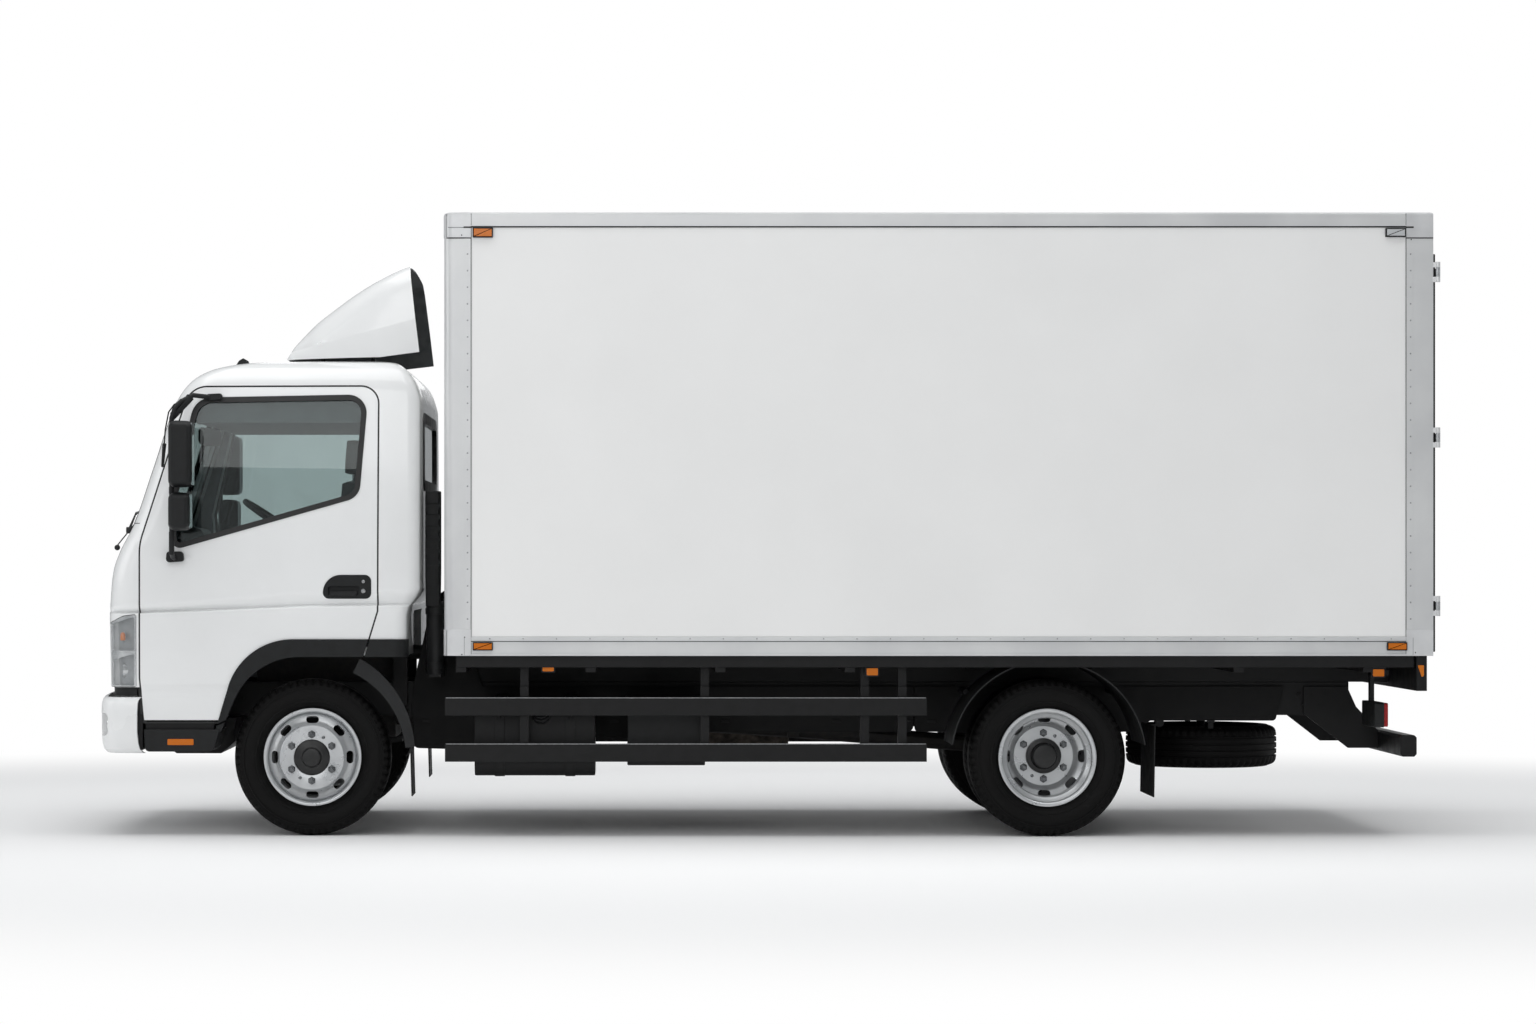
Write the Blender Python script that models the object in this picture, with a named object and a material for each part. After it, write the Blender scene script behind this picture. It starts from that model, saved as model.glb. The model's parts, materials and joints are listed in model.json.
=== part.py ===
# Box truck: ladder chassis, tilting cab over the engine, van body with two rear doors.
# Units are metres. X runs from the nose to the tail, -Y is the truck's left side, +Z is up.
# Stations along X are counted from the front axle and shifted once, by the empty TRUCK.
import math

import bmesh
import bpy
from mathutils import Matrix, Vector

# Driving dimensions of the whole truck
WHEELBASE = 3.53
NOSE_X = -1.078
FIT = 0.0003
MOVING_GAP = 0.007

# Wheels and tyres, size 205/75 R17.5
RIM_RADIUS = 0.222
SIDEWALL = 0.1545
TYRE_RADIUS = RIM_RADIUS + SIDEWALL
TYRE_WIDTH = 0.205
RIM_WIDTH = 0.152
RIM_WALL = 0.008
RIM_FLANGE = RIM_RADIUS + 0.014
RIM_WELL = RIM_RADIUS - 0.026
HAND_HOLES = 8
HAND_HOLE_CIRCLE = RIM_WELL - 0.038
HUB_BORE = 0.086
DISC_FLAT = RIM_WELL - 0.056
DRUM_RADIUS = RIM_WELL - RIM_WALL - 0.063
BRAKE_PLATE = RIM_WELL - 0.046
DISC_FACE = 0.1175
FRONT_HUB_DEPTH = 0.160
REAR_HUB_DEPTH = 0.105
FRONT_TRACK = 1.665
DUAL_SPACING = 0.233
DUAL_MEAN_Y = 0.78
TYRE_STEPS = 24
WHEEL_STEPS = 16

# Steering
KINGPIN_INSET = 0.1125
KINGPIN_Y = FRONT_TRACK / 2 - KINGPIN_INSET
ARM_LENGTH = 0.17
ARM_Y = KINGPIN_Y
TIE_ROD_Z = 0.262
ROD_END = 0.018
EYE_LOW_Z = 0.337
EYE_HIGH_Z = 0.416
FORK_GAP = 0.0045

# Ladder frame
RAIL_OUTER_Y = 0.38
RAIL_FLANGE = 0.06
RAIL_WEB = 0.009
RAIL_BOTTOM_Z = 0.557
RAIL_TOP_Z = 0.721
RAIL_FRONT_X = -0.82
RAIL_REAR_X = 5.085
CROSSMEMBER_X = (-0.74, 1.30, 2.35, 3.05, 3.95, 4.98)

# Cab
CAB_WALL = 0.045
CAB_FLOOR_Z = 0.865
CAB_FLOOR = 0.04
CAB_BOW = 0.07
CAB_CORNER = 0.12
CAB_REAR_CORNER = 0.06
PIVOT_X = -0.88
PIVOT_Z = 0.735
PIVOT_PIN = 0.012
DOOR_AXIS_X = -0.808
DOOR_AXIS_Y = 0.9875
TUNNEL_HALF = 0.36
TUNNEL_TOP = 1.075
HUMP_TOP = 1.12

# Van body
BODY_FRONT_X = 0.641
BODY_REAR_X = 5.354
BODY_HALF = 1.10
BODY_BOTTOM_Z = 0.868
BODY_TOP_Z = 2.982
BODY_FRAME = 0.035
POST_SIDE = 0.13
POST_END = 0.11
BOTTOM_RAIL = 0.092
TOP_RAIL = 0.067
PANEL = 0.03
PANEL_INSET = 0.003
HEADER = 0.19
DOOR_POST = 0.045
REAR_DOOR = 0.035
REAR_DOOR_STAND = 0.02
BODY_AXIS_X = BODY_REAR_X + 0.020
BODY_AXIS_Y = BODY_HALF + 0.012
GUARD_OUT_Y = BODY_HALF - 0.070
GUARD_CENTRE_Z = 0.3765
BEARER_COUNT = 8
LOCK_BAR_STAND = 0.030
HANDLE_STAND = 0.046
TAIL_X = BODY_REAR_X + REAR_DOOR_STAND + HANDLE_STAND

SIDES = (("left", -1), ("right", 1))
TRUCK = None
ORIGINS = {}


def start_clean():
    for old in list(bpy.data.objects):
        bpy.data.objects.remove(old, do_unlink=True)


def material(name, colour, rough, metal=0.0, alpha=1.0):
    mat = bpy.data.materials.get(name) or bpy.data.materials.new(name)
    mat.use_nodes = True
    shader = mat.node_tree.nodes["Principled BSDF"]
    shader.inputs["Base Color"].default_value = (*colour, 1.0)
    shader.inputs["Roughness"].default_value = rough
    shader.inputs["Metallic"].default_value = metal
    shader.inputs["Alpha"].default_value = alpha
    return mat


WHITE_PAINT = ("white paint", (0.86, 0.87, 0.87), 0.25)
PANEL_WHITE = ("white panel", (0.83, 0.83, 0.82), 0.45)
ALUMINIUM = ("anodised aluminium", (0.70, 0.71, 0.72), 0.40, 0.9)
BLACK_PLASTIC = ("black plastic", (0.030, 0.031, 0.033), 0.55)
CHASSIS_PAINT = ("chassis paint", (0.012, 0.012, 0.013), 0.50)
RUBBER = ("tyre rubber", (0.018, 0.018, 0.019), 0.75)
RIM_SILVER = ("rim silver", (0.55, 0.56, 0.57), 0.35, 0.8)
CAB_GLASS = ("cab glass", (0.30, 0.37, 0.37), 0.05, 0.0, 0.4)
LAMP_CLEAR = ("clear lamp", (0.70, 0.71, 0.74), 0.15)
AMBER = ("amber lens", (0.90, 0.27, 0.02), 0.30)
TRIM_GREY = ("cab trim grey", (0.12, 0.13, 0.135), 0.65)
SEAT_CLOTH = ("seat cloth", (0.09, 0.10, 0.11), 0.90)
FLOOR_BROWN = ("body floor", (0.20, 0.13, 0.08), 0.7)
ENGINE_GREY = ("engine casting", (0.10, 0.10, 0.105), 0.55, 0.4)
EXHAUST_STEEL = ("exhaust steel", (0.16, 0.15, 0.14), 0.5, 0.7)
RED_LENS = ("red lens", (0.50, 0.01, 0.01), 0.25)


def pivot(name, at, parent=None):
    """An empty on a joint's axis, for the pieces that move about it."""
    empty = bpy.data.objects.new(name, None)
    bpy.context.scene.collection.objects.link(empty)
    empty.parent = parent or TRUCK
    empty.location = Vector(at) - ORIGINS.get(empty.parent.name, Vector())
    ORIGINS[name] = Vector(at)
    return empty


def keep(name, bm, look=None, on=None, smooth_deg=30.0):
    """Turns a bmesh into a named object on the truck; without a look it is a cutter."""
    holder = on or TRUCK
    bmesh.ops.translate(bm, vec=-ORIGINS.get(holder.name, Vector()), verts=bm.verts)
    bmesh.ops.remove_doubles(bm, verts=bm.verts, dist=1e-6)
    bmesh.ops.recalc_face_normals(bm, faces=bm.faces)
    mesh = bpy.data.meshes.new(name)
    bm.to_mesh(mesh)
    bm.free()
    obj = bpy.data.objects.new(name, mesh)
    bpy.context.scene.collection.objects.link(obj)
    obj.parent = holder
    if look:
        mesh.materials.append(material(*look))
        mesh.shade_smooth()
        mesh.set_sharp_from_angle(angle=math.radians(smooth_deg))
    else:
        obj.hide_render = True
        obj.display_type = "WIRE"
    return obj


def add_boolean(obj, operation, other):
    mod = obj.modifiers.new(operation.lower(), "BOOLEAN")
    mod.operation = operation
    mod.object = other
    mod.solver = "EXACT"
    return mod


def cut(obj, *cutters):
    for cutter in cutters:
        add_boolean(obj, "DIFFERENCE", cutter)


def crop(obj, cutter):
    add_boolean(obj, "INTERSECT", cutter)


def join(obj, rest):
    """Adds the closed pieces of a bmesh, which may cross one another, to an object."""
    add_boolean(obj, "UNION", keep("join_" + obj.name, rest)).use_self = True


def add_box(bm, low, high):
    corners = [Vector((x, y, z)) for x in (low[0], high[0])
               for y in (low[1], high[1]) for z in (low[2], high[2])]
    verts = [bm.verts.new(c) for c in corners]
    for quad in ((0, 1, 3, 2), (4, 6, 7, 5), (0, 4, 5, 1), (2, 3, 7, 6), (0, 2, 6, 4), (1, 5, 7, 3)):
        bm.faces.new([verts[i] for i in quad])


def add_side_box(bm, side, x, y, z):
    """A box on one side of the truck; x, y and z are (from, to), y counted outwards."""
    near, far = sorted((side * y[0], side * y[1]))
    add_box(bm, (x[0], near, z[0]), (x[1], far, z[1]))


def box(name, low, high, look=None, on=None):
    bm = bmesh.new()
    add_box(bm, low, high)
    return keep(name, bm, look, on)


def add_prism(bm, outline, plane, start, end):
    """Extrudes a 2-D outline: plane "xz" goes along Y, "xy" along Z and "yz" along X."""
    place = {
        "xz": lambda a, b, c: (a, c, b),
        "xy": lambda a, b, c: (a, b, c),
        "yz": lambda a, b, c: (c, a, b),
    }[plane]
    first = [bm.verts.new(place(a, b, start)) for a, b in outline]
    last = [bm.verts.new(place(a, b, end)) for a, b in outline]
    bm.faces.new(first)
    bm.faces.new(last[::-1])
    for i in range(len(outline)):
        j = (i + 1) % len(outline)
        bm.faces.new((first[j], first[i], last[i], last[j]))


def prism(name, outline, plane, start, end, look=None, on=None):
    bm = bmesh.new()
    add_prism(bm, outline, plane, start, end)
    return keep(name, bm, look, on)


def add_tube(bm, start, end, radius, steps=12, end_radius=None):
    start, end = Vector(start), Vector(end)
    along = end - start
    turn = along.to_track_quat("Z", "Y").to_matrix().to_4x4()
    bmesh.ops.create_cone(
        bm, cap_ends=True, segments=steps, radius1=radius,
        radius2=radius if end_radius is None else end_radius, depth=along.length,
        matrix=Matrix.Translation((start + end) / 2) @ turn,
    )


def tube(name, start, end, radius, steps=12, look=None, on=None):
    bm = bmesh.new()
    add_tube(bm, start, end, radius, steps)
    return keep(name, bm, look, on)


def add_lathe(bm, profile, centre, steps, axis="Y"):
    """Turns a closed profile of (radius, offset along the axis) rows; radius 0 is a pole."""
    centre = Vector(centre)
    poles = {i: bm.verts.new(centre + Vector((0, o, 0) if axis == "Y" else (0, 0, o)))
             for i, (r, o) in enumerate(profile) if r == 0}
    rings = []
    for k in range(steps):
        angle = math.tau * (k + 0.5) / steps
        c, s = math.cos(angle), math.sin(angle)
        rings.append([poles.get(i) or bm.verts.new(centre + Vector((r * c, o, r * s) if axis == "Y" else (r * c, r * s, o)))
                      for i, (r, o) in enumerate(profile)])
    for k in range(steps):
        here, there = rings[k], rings[(k + 1) % steps]
        for i in range(len(profile)):
            j = (i + 1) % len(profile)
            corners = list(dict.fromkeys((here[i], here[j], there[j], there[i])))
            if len(corners) > 2:
                bm.faces.new(corners)


def add_loft(bm, rings):
    """Skin over closed rings; its quads are bent, so they are split into triangles."""
    loops = [[bm.verts.new(p) for p in ring] for ring in rings]
    faces = []
    for low, high in zip(loops, loops[1:]):
        for i in range(len(low)):
            j = (i + 1) % len(low)
            faces.append(bm.faces.new((low[i], low[j], high[j], high[i])))
    bmesh.ops.triangulate(bm, faces=faces)
    bm.faces.new(loops[0][::-1])
    bm.faces.new(loops[-1])


def rounded(corners, steps=4):
    """Outline from (a, b, fillet radius) corners, each fillet drawn as an arc."""
    outline = []
    for i, (a, b, radius) in enumerate(corners):
        here = Vector((a, b))
        before = Vector(corners[i - 1][:2]) - here
        after = Vector(corners[(i + 1) % len(corners)][:2]) - here
        if radius <= 0:
            outline.append((a, b))
            continue
        half = before.angle(after) / 2
        reach = radius / math.tan(half)
        centre = here + (before.normalized() + after.normalized()).normalized() * radius / math.sin(half)
        first = here + before.normalized() * reach - centre
        last = here + after.normalized() * reach - centre
        sweep = first.angle_signed(last)
        for k in range(steps + 1):
            spoke = first.copy()
            spoke.rotate(Matrix.Rotation(-sweep * k / steps, 2))
            outline.append(tuple(centre + spoke))
    return outline


def grown(outline, distance):
    """Moves every edge of an outline outwards by a distance, inwards if it is negative."""
    area = sum(a[0] * b[1] - b[0] * a[1] for a, b in zip(outline, outline[1:] + outline[:1]))
    side = 1 if area > 0 else -1
    moved = []
    for i, here in enumerate(outline):
        p, q, r = Vector(outline[i - 1]), Vector(here), Vector(outline[(i + 1) % len(outline)])
        n1 = Vector(((q - p).y, -(q - p).x)).normalized() * side
        n2 = Vector(((r - q).y, -(r - q).x)).normalized() * side
        mitre = (n1 + n2) / (1 + n1.dot(n2))
        moved.append(tuple(q + mitre * distance))
    return moved


def mirrored_prism(name, outline, plane, start, end):
    """A cutter with the same prism on both sides of the truck."""
    bm = bmesh.new()
    add_prism(bm, outline, plane, start, end)
    add_prism(bm, outline, plane, -start, -end)
    return keep(name, bm)


# The cab's outer surface: rows of height, front edge at the corner, rear wall, half width.
# The steps near 0.70 and 1.08 are the two pressed swage lines along the doors.
CAB_ROWS = (
    # z, front_x, rear_x, half_y
    (0.520, -0.970, 0.455, 0.953),
    (0.690, -0.972, 0.455, 0.968),
    (0.735, -0.974, 0.455, 0.978),
    (1.040, -0.979, 0.455, 0.985),
    (1.075, -0.979, 0.470, 0.973),
    (1.145, -0.976, 0.518, 0.984),
    (1.277, -0.960, 0.518, 0.985),
    (1.373, -0.926, 0.518, 0.985),
    (1.493, -0.864, 0.518, 0.983),
    (1.757, -0.773, 0.518, 0.975),
    (2.083, -0.662, 0.516, 0.955),
    (2.150, -0.624, 0.502, 0.944),
    (2.208, -0.566, 0.478, 0.918),
    (2.251, -0.480, 0.440, 0.872),
    (2.280, -0.340, 0.395, 0.790),
    (2.294, -0.100, 0.330, 0.640),
)


def cab_at(z):
    """Front, rear and half width of the cab's skin at a height, read between the rows."""
    rows = CAB_ROWS
    for low, high in zip(rows, rows[1:]):
        if z <= high[0]:
            share = (z - low[0]) / (high[0] - low[0])
            return [a + (b - a) * share for a, b in zip(low, high)][1:]
    return list(rows[-1][1:])


def cab_ring(z, inset):
    """One level of the cab: bowed front, round front corners, straight sides, round rear."""
    front, rear, half = cab_at(z)
    front, rear, half = front + inset, rear - inset, half - inset
    corner = CAB_CORNER - inset * 0.5
    rear_corner = CAB_REAR_CORNER - inset * 0.5
    flank = half - corner
    side = [(front - CAB_BOW * (1 - t * t), flank * t) for t in (0.0, 0.5)]
    for k in range(5):
        a = math.pi - math.radians(90) * k / 4
        side.append((front + corner + corner * math.cos(a), flank + corner * math.sin(a)))
    for k in range(3):
        a = math.radians(90 - 45 * k)
        side.append((rear - rear_corner + rear_corner * math.cos(a),
                     half - rear_corner + rear_corner * math.sin(a)))
    side.append((rear, 0.0))
    other = [(x, -y) for x, y in side[-2:0:-1]]
    return [Vector((x, y, z)) for x, y in side + other]


def cab_body(name, inset, low_z=None, high_z=None, look=None, on=None):
    """The cab's outer form between two heights, moved inwards by the inset."""
    levels = [row[0] for row in CAB_ROWS]
    low_z = levels[0] if low_z is None else low_z
    high_z = levels[-1] if high_z is None else high_z
    heights = [low_z] + [z for z in levels if low_z + 0.012 < z < high_z - 0.012] + [high_z]
    bm = bmesh.new()
    add_loft(bm, [cab_ring(z, inset) for z in heights])
    return keep(name, bm, look, on, 24.0)


DOOR_OUTLINE = rounded((
    (-0.806, 0.535, 0.0), (-0.824, 0.760, 0.0), (-0.824, 1.405, 0.30), (-0.585, 2.158, 0.11),
    (0.322, 2.161, 0.085), (0.318, 1.080, 0.0), (0.250, 0.857, 0.0), (-0.45, 0.535, 0.0),
), 3)
WINDOW_OUTLINE = rounded((
    (-0.655, 1.387, 0.03), (-0.672, 1.560, 0.0), (-0.548, 2.092, 0.09),
    (0.258, 2.107, 0.075), (0.218, 1.636, 0.07),
), 4)
# Wheel arch of the cab: the body's own edge, and the inner edge of the black flare
ARCH_END_X = 0.60
ARCH_OUTER = rounded(((-0.495, 0.385, 0.0), (-0.327, 0.941, 0.32), (ARCH_END_X, 0.941, 0.0),
                      (ARCH_END_X, 0.385, 0.0)), 6)
ARCH_INNER = rounded(((-0.486, 0.385, 0.0), (-0.281, 0.860, 0.34), (ARCH_END_X, 0.860, 0.0),
                      (ARCH_END_X, 0.385, 0.0)), 6)
SIDE_IN = 0.885
SIDE_OUT = max(row[3] for row in CAB_ROWS) + 0.215
WINDSCREEN = rounded(((-0.86, 1.515, 0.05), (0.86, 1.515, 0.05), (0.80, 2.075, 0.09),
                      (-0.80, 2.075, 0.09)), 3)
REAR_WINDOW = rounded(((-0.60, 1.69, 0.06), (0.60, 1.69, 0.06), (0.60, 2.02, 0.06),
                       (-0.60, 2.02, 0.06)), 2)
LAMP_LOW_Z = 0.715
LAMP_HIGH_Z = 1.064
LAMP_IN_Y = 0.618
LAMP_REAR_X = -0.838
GRILLE = rounded(((-0.58, 0.755, 0.04), (0.58, 0.755, 0.04), (0.55, 1.00, 0.04),
                  (-0.55, 1.00, 0.04)), 2)
FRONT_PANEL_Z = 0.70
DOOR_HINGE_Z = ((1.085, 1.125), (1.215, 1.270))
GLASS = 0.006
FLARE_STAND = 0.008


def cab_cutters():
    """Shapes that several cab pieces are trimmed with, made once."""
    room = cab_body("cut_room", CAB_WALL, CAB_FLOOR_Z + CAB_FLOOR, CAB_ROWS[-1][0] - CAB_WALL - 0.01)
    cut(room, box("cut_hump", (-0.43, -0.41, 0.80), (0.80, 0.41, HUMP_TOP)))
    front = bmesh.new()
    add_prism(front, GRILLE, "yz", -1.40, -0.70)
    for side in (-1, 1):
        add_side_box(front, side, (-1.30, LAMP_REAR_X), (LAMP_IN_Y, 1.20), (LAMP_LOW_Z, LAMP_HIGH_Z))
    openings = keep("cut_front", front)
    cut(openings, cab_body("cut_front_core", CAB_WALL + 0.005, 0.60, 1.20))
    flare = cab_body("join_flare", -FLARE_STAND, 0.50, 1.00)
    cut(flare, cab_body("cut_flare_back", 0.7 * CAB_WALL, 0.48, 1.02))
    crop(flare, mirrored_prism("crop_flare", grown(ARCH_OUTER, 0.004), "xz", SIDE_IN + 0.02, SIDE_OUT))
    return {
        "room": room,
        "under": cab_body("cut_under", CAB_WALL, 0.30, CAB_FLOOR_Z),
        "rear": box("cut_under_rear", (-0.30, -0.90, 0.30), (0.80, 0.90, CAB_FLOOR_Z)),
        "tunnel": box("cut_tunnel", (-0.40, -TUNNEL_HALF, 0.60), (0.80, TUNNEL_HALF, TUNNEL_TOP)),
        "nose": box("cut_nose", (-1.30, -1.20, 0.30), (-0.795, 1.20, FRONT_PANEL_Z)),
        "sill": box("cut_sill", (-0.85, -1.20, 0.30), (0.10, 1.20, 0.56)),
        "skirt": mirrored_prism("cut_arch", ARCH_OUTER, "xz", SIDE_IN, SIDE_OUT),
        "lip": mirrored_prism("cut_arch_inner", ARCH_INNER, "xz", SIDE_IN - 0.2, SIDE_OUT + 0.1),
        "front": openings, "flare": flare,
    }


def build_cab(cutters, cab):
    shell = cab_body("cab_shell", 0.0, look=WHITE_PAINT, on=cab)
    cut(shell, cutters["skirt"])
    add_boolean(shell, "UNION", cutters["flare"])
    doors = mirrored_prism("cut_doors", grown(DOOR_OUTLINE, MOVING_GAP / 2), "xz", SIDE_IN - MOVING_GAP, SIDE_OUT)
    cut(shell, cutters["room"], cutters["under"], cutters["rear"], cutters["tunnel"], cutters["nose"],
        cutters["lip"], doors, prism("cut_windscreen", WINDSCREEN, "yz", -1.40, -0.30),
        prism("cut_rear_window", REAR_WINDOW, "yz", 0.30, 0.80),
        cutters["sill"], cutters["front"])
    lugs = bmesh.new()
    for side in (-1, 1):
        add_prism(lugs, rounded(((PIVOT_X - 0.03, PIVOT_Z - 0.03, 0.025),
                                 (PIVOT_X + 0.03, PIVOT_Z - 0.03, 0.025),
                                 (PIVOT_X + 0.05, CAB_FLOOR_Z + 0.01, 0.0),
                                 (PIVOT_X - 0.05, CAB_FLOOR_Z + 0.01, 0.0))),
                  "xz", side * (RAIL_OUTER_Y - 0.042), side * (RAIL_OUTER_Y - 0.018))
        for low, high in DOOR_HINGE_Z:
            seat = min(cab_at(low)[2], cab_at(high)[2]) - CAB_WALL - FIT
            swing = DOOR_AXIS_Y - math.hypot(DOOR_AXIS_X + 0.8205, DOOR_AXIS_Y - seat) - 0.001
            add_prism(lugs, [(x, side * y) for x, y in (
                (-0.850, 0.900), (-0.760, 0.900), (-0.760, seat), (DOOR_AXIS_X + 0.018, seat), (DOOR_AXIS_X + 0.016, swing),
                (-0.832, swing), (-0.832, 0.955), (-0.850, 0.955))], "xy", low, high)
    join(shell, lugs)
    bore = (PIVOT_PIN + FIT) / math.cos(math.pi / 12)
    cut(shell, tube("cut_lug_holes", (PIVOT_X, -0.6, PIVOT_Z), (PIVOT_X, 0.6, PIVOT_Z), bore, 12))

    pane_back = cab_body("cut_pane_back", 3 * GLASS, 1.38, 2.22)
    for name, outline, start, end in (("windscreen", WINDSCREEN, -1.35, -0.45),
                                      ("rear_window", REAR_WINDOW, 0.40, 0.80)):
        pane = cab_body(name, GLASS, 1.40, 2.20, CAB_GLASS, cab)
        cut(pane, pane_back)
        crop(pane, prism("crop_" + name, grown(outline, -FIT), "yz", start, end))

    grille = cab_body("grille", 0.004, 0.74, 1.02, BLACK_PLASTIC, cab)
    cut(grille, cab_body("cut_grille_back", CAB_WALL, 0.72, 1.04))
    crop(grille, prism("crop_grille", grown(GRILLE, -FIT), "yz", -1.35, -0.75))
    slots = bmesh.new()
    for k in range(3):
        low = 0.785 + 0.066 * k
        add_box(slots, (-1.40, -0.50, low), (-0.70, 0.50, low + 0.042))
    cut(grille, keep("cut_grille_slots", slots))

    lamp_back = cab_body("cut_lamp_back", CAB_WALL, LAMP_LOW_Z - 0.03, LAMP_HIGH_Z + 0.03)
    for word, side in SIDES:
        lamp = cab_body("headlamp_" + word, 0.002, LAMP_LOW_Z + FIT, LAMP_HIGH_Z - FIT, LAMP_CLEAR, cab)
        cut(lamp, lamp_back)
        corner = bmesh.new()
        add_side_box(corner, side, (-1.35, LAMP_REAR_X - FIT), (LAMP_IN_Y + FIT, 1.2), (0.60, 1.20))
        crop(lamp, keep("crop_lamp_" + word, corner))


def build_cab_doors(cutters, cab):
    """Each door is the cab's own wall inside the shut line, with its window cut."""
    window = mirrored_prism("cut_windows", WINDOW_OUTLINE, "xz", 0.70, SIDE_OUT + 0.1)
    wall_back = cab_body("cut_door_back", CAB_WALL, 0.40, 2.25)
    pane_back = cab_body("cut_door_pane_back", 0.014 + 2 * GLASS, 1.30, 2.20)
    for word, side in SIDES:
        hinge = pivot("door_hinge_" + word, (DOOR_AXIS_X, side * DOOR_AXIS_Y, 1.30), cab)
        near, far = side * SIDE_IN, side * (SIDE_OUT + 0.05)
        door = cab_body("door_" + word, 0.0, look=WHITE_PAINT, on=hinge)
        cut(door, cutters["skirt"])
        add_boolean(door, "UNION", cutters["flare"])
        crop(door, prism("crop_door_" + word, grown(DOOR_OUTLINE, -MOVING_GAP / 2), "xz", near, far))
        cut(door, wall_back, cutters["lip"], window)
        handle = bmesh.new()
        add_side_box(handle, side, (0.060, 0.256), (0.970, 0.996), (1.168, 1.222))
        join(door, handle)

        pane = cab_body("door_glass_" + word, 0.014, 1.34, 2.16, CAB_GLASS, hinge)
        cut(pane, pane_back)
        crop(pane, prism("crop_pane_" + word, grown(WINDOW_OUTLINE, -FIT), "xz", near, far))
        build_mirror(word, side, hinge)


MIRROR_POST_X = -0.690
MIRROR_Y = 1.105
MIRROR_HEADS = ((1.605, 2.000, 0.110), (1.405, 1.590, 0.098))  # low, high, width


def build_mirror(word, side, hinge):
    """Two mirror heads on one vertical tube, carried by a foot and a top arm on the door."""
    skin, top_skin = max(cab_at(1.312)[2], cab_at(1.365)[2]) + FIT, cab_at(2.068)[2] + FIT
    y = side * MIRROR_Y
    post = tube("mirror_" + word, (MIRROR_POST_X, y, 1.335), (MIRROR_POST_X, y, 2.045), 0.011, 8,
                BLACK_PLASTIC, hinge)
    rest = bmesh.new()
    for low, high, wide in MIRROR_HEADS:
        outline = rounded(((MIRROR_POST_X - 0.012, low, 0.02), (MIRROR_POST_X + wide, low, 0.03),
                           (MIRROR_POST_X + wide, high, 0.03), (MIRROR_POST_X - 0.012, high, 0.02)), 1)
        add_prism(rest, outline, "xz", y - side * 0.035, y + side * 0.135)
    add_prism(rest, rounded(((MIRROR_POST_X - 0.020, 1.312, 0.015), (MIRROR_POST_X + 0.065, 1.312, 0.015),
                             (MIRROR_POST_X + 0.065, 1.365, 0.01), (MIRROR_POST_X - 0.020, 1.365, 0.01)), 1),
              "xz", side * skin, y + side * 0.012)
    add_side_box(rest, side, (-0.56, -0.455), (top_skin, top_skin + 0.026), (2.068, 2.118))
    add_tube(rest, (-0.49, side * (top_skin + 0.020), 2.094), (MIRROR_POST_X, y, 2.038), 0.011, 8)
    join(post, rest)


def build_cab_inside(cab):
    """Dashboard with the steering column on it, and the seats on their box."""
    dash = cab_body("dashboard", CAB_WALL + FIT, 0.99, 1.47, TRIM_GREY, cab)
    outline = ((-1.10, 1.00), (-0.62, 1.00), (-0.57, 1.30), (-0.66, 1.43), (-1.10, 1.46))
    crop(dash, prism("crop_dash", outline, "xz", -0.88, 0.88))
    column = bmesh.new()
    hub, along = Vector(WHEEL_HUB), Vector(COLUMN_DIR)
    add_tube(column, hub - along * COLUMN, hub - along * (BOSS_DEPTH + FIT), 0.03, 10)
    add_box(column, (-0.64, hub.y - 0.045, 1.17), (-0.40, hub.y + 0.045, 1.25))
    join(dash, column)

    seats = box("seats", (-0.06, -0.74, HUMP_TOP + 0.007), (0.28, 0.74, 1.165), SEAT_CLOTH, cab)
    rest = bmesh.new()
    for low_y, high_y in ((-0.76, -0.26), (-0.20, 0.76)):
        add_prism(rest, rounded(((-0.16, 1.150, 0.03), (0.32, 1.150, 0.0), (0.385, 1.700, 0.02),
                                 (0.275, 1.700, 0.03), (0.165, 1.290, 0.0), (-0.16, 1.300, 0.04)), 1),
                  "xz", low_y, high_y)
    for low_y, high_y in ((-0.60, -0.40), (-0.08, 0.12), (0.46, 0.66)):
        add_prism(rest, rounded(((0.280, 1.712, 0.02), (0.360, 1.712, 0.02), (0.375, 1.905, 0.03),
                                 (0.300, 1.905, 0.03)), 1), "xz", low_y, high_y)
        for stem in (low_y + 0.06, high_y - 0.06):
            add_tube(rest, (0.325, stem, 1.69), (0.330, stem, 1.722), 0.008, 6)
    for side in (-1, 1):
        add_side_box(rest, side, (-0.05, 0.27), (0.43, 0.73), (CAB_FLOOR_Z + CAB_FLOOR + FIT, 1.140))
    join(seats, rest)


WHEEL_HUB = (-0.20, -0.45, 1.50)
COLUMN_TILT = 34.0
COLUMN_DIR = (math.sin(math.radians(COLUMN_TILT)), 0.0, math.cos(math.radians(COLUMN_TILT)))
COLUMN = 0.692
STEERING_RADIUS = 0.20
BOSS_DEPTH = 0.030


def build_steering_wheel(cab):
    """Rim, hub and two spokes, turned about the column and then tilted onto it."""
    holder = pivot("steering_axis", WHEEL_HUB, cab)
    holder.rotation_euler.y = math.radians(COLUMN_TILT)
    ORIGINS[holder.name] = Vector()
    bm = bmesh.new()
    grip = 0.014
    add_lathe(bm, [(STEERING_RADIUS + grip * math.cos(math.tau * k / 5), grip * math.sin(math.tau * k / 5))
                   for k in range(5)], (0, 0, 0), 18, "Z")
    wheel = keep("steering_wheel", bm, BLACK_PLASTIC, holder)
    rest = bmesh.new()
    add_tube(rest, (0, 0, -BOSS_DEPTH), (0, 0, 0.012), 0.055, 16)
    add_box(rest, (-0.022, -STEERING_RADIUS, -0.010), (0.022, STEERING_RADIUS, 0.006))
    other = keep("join_steering_wheel", rest, None, holder)
    add_boolean(wheel, "UNION", other).use_self = True


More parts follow.
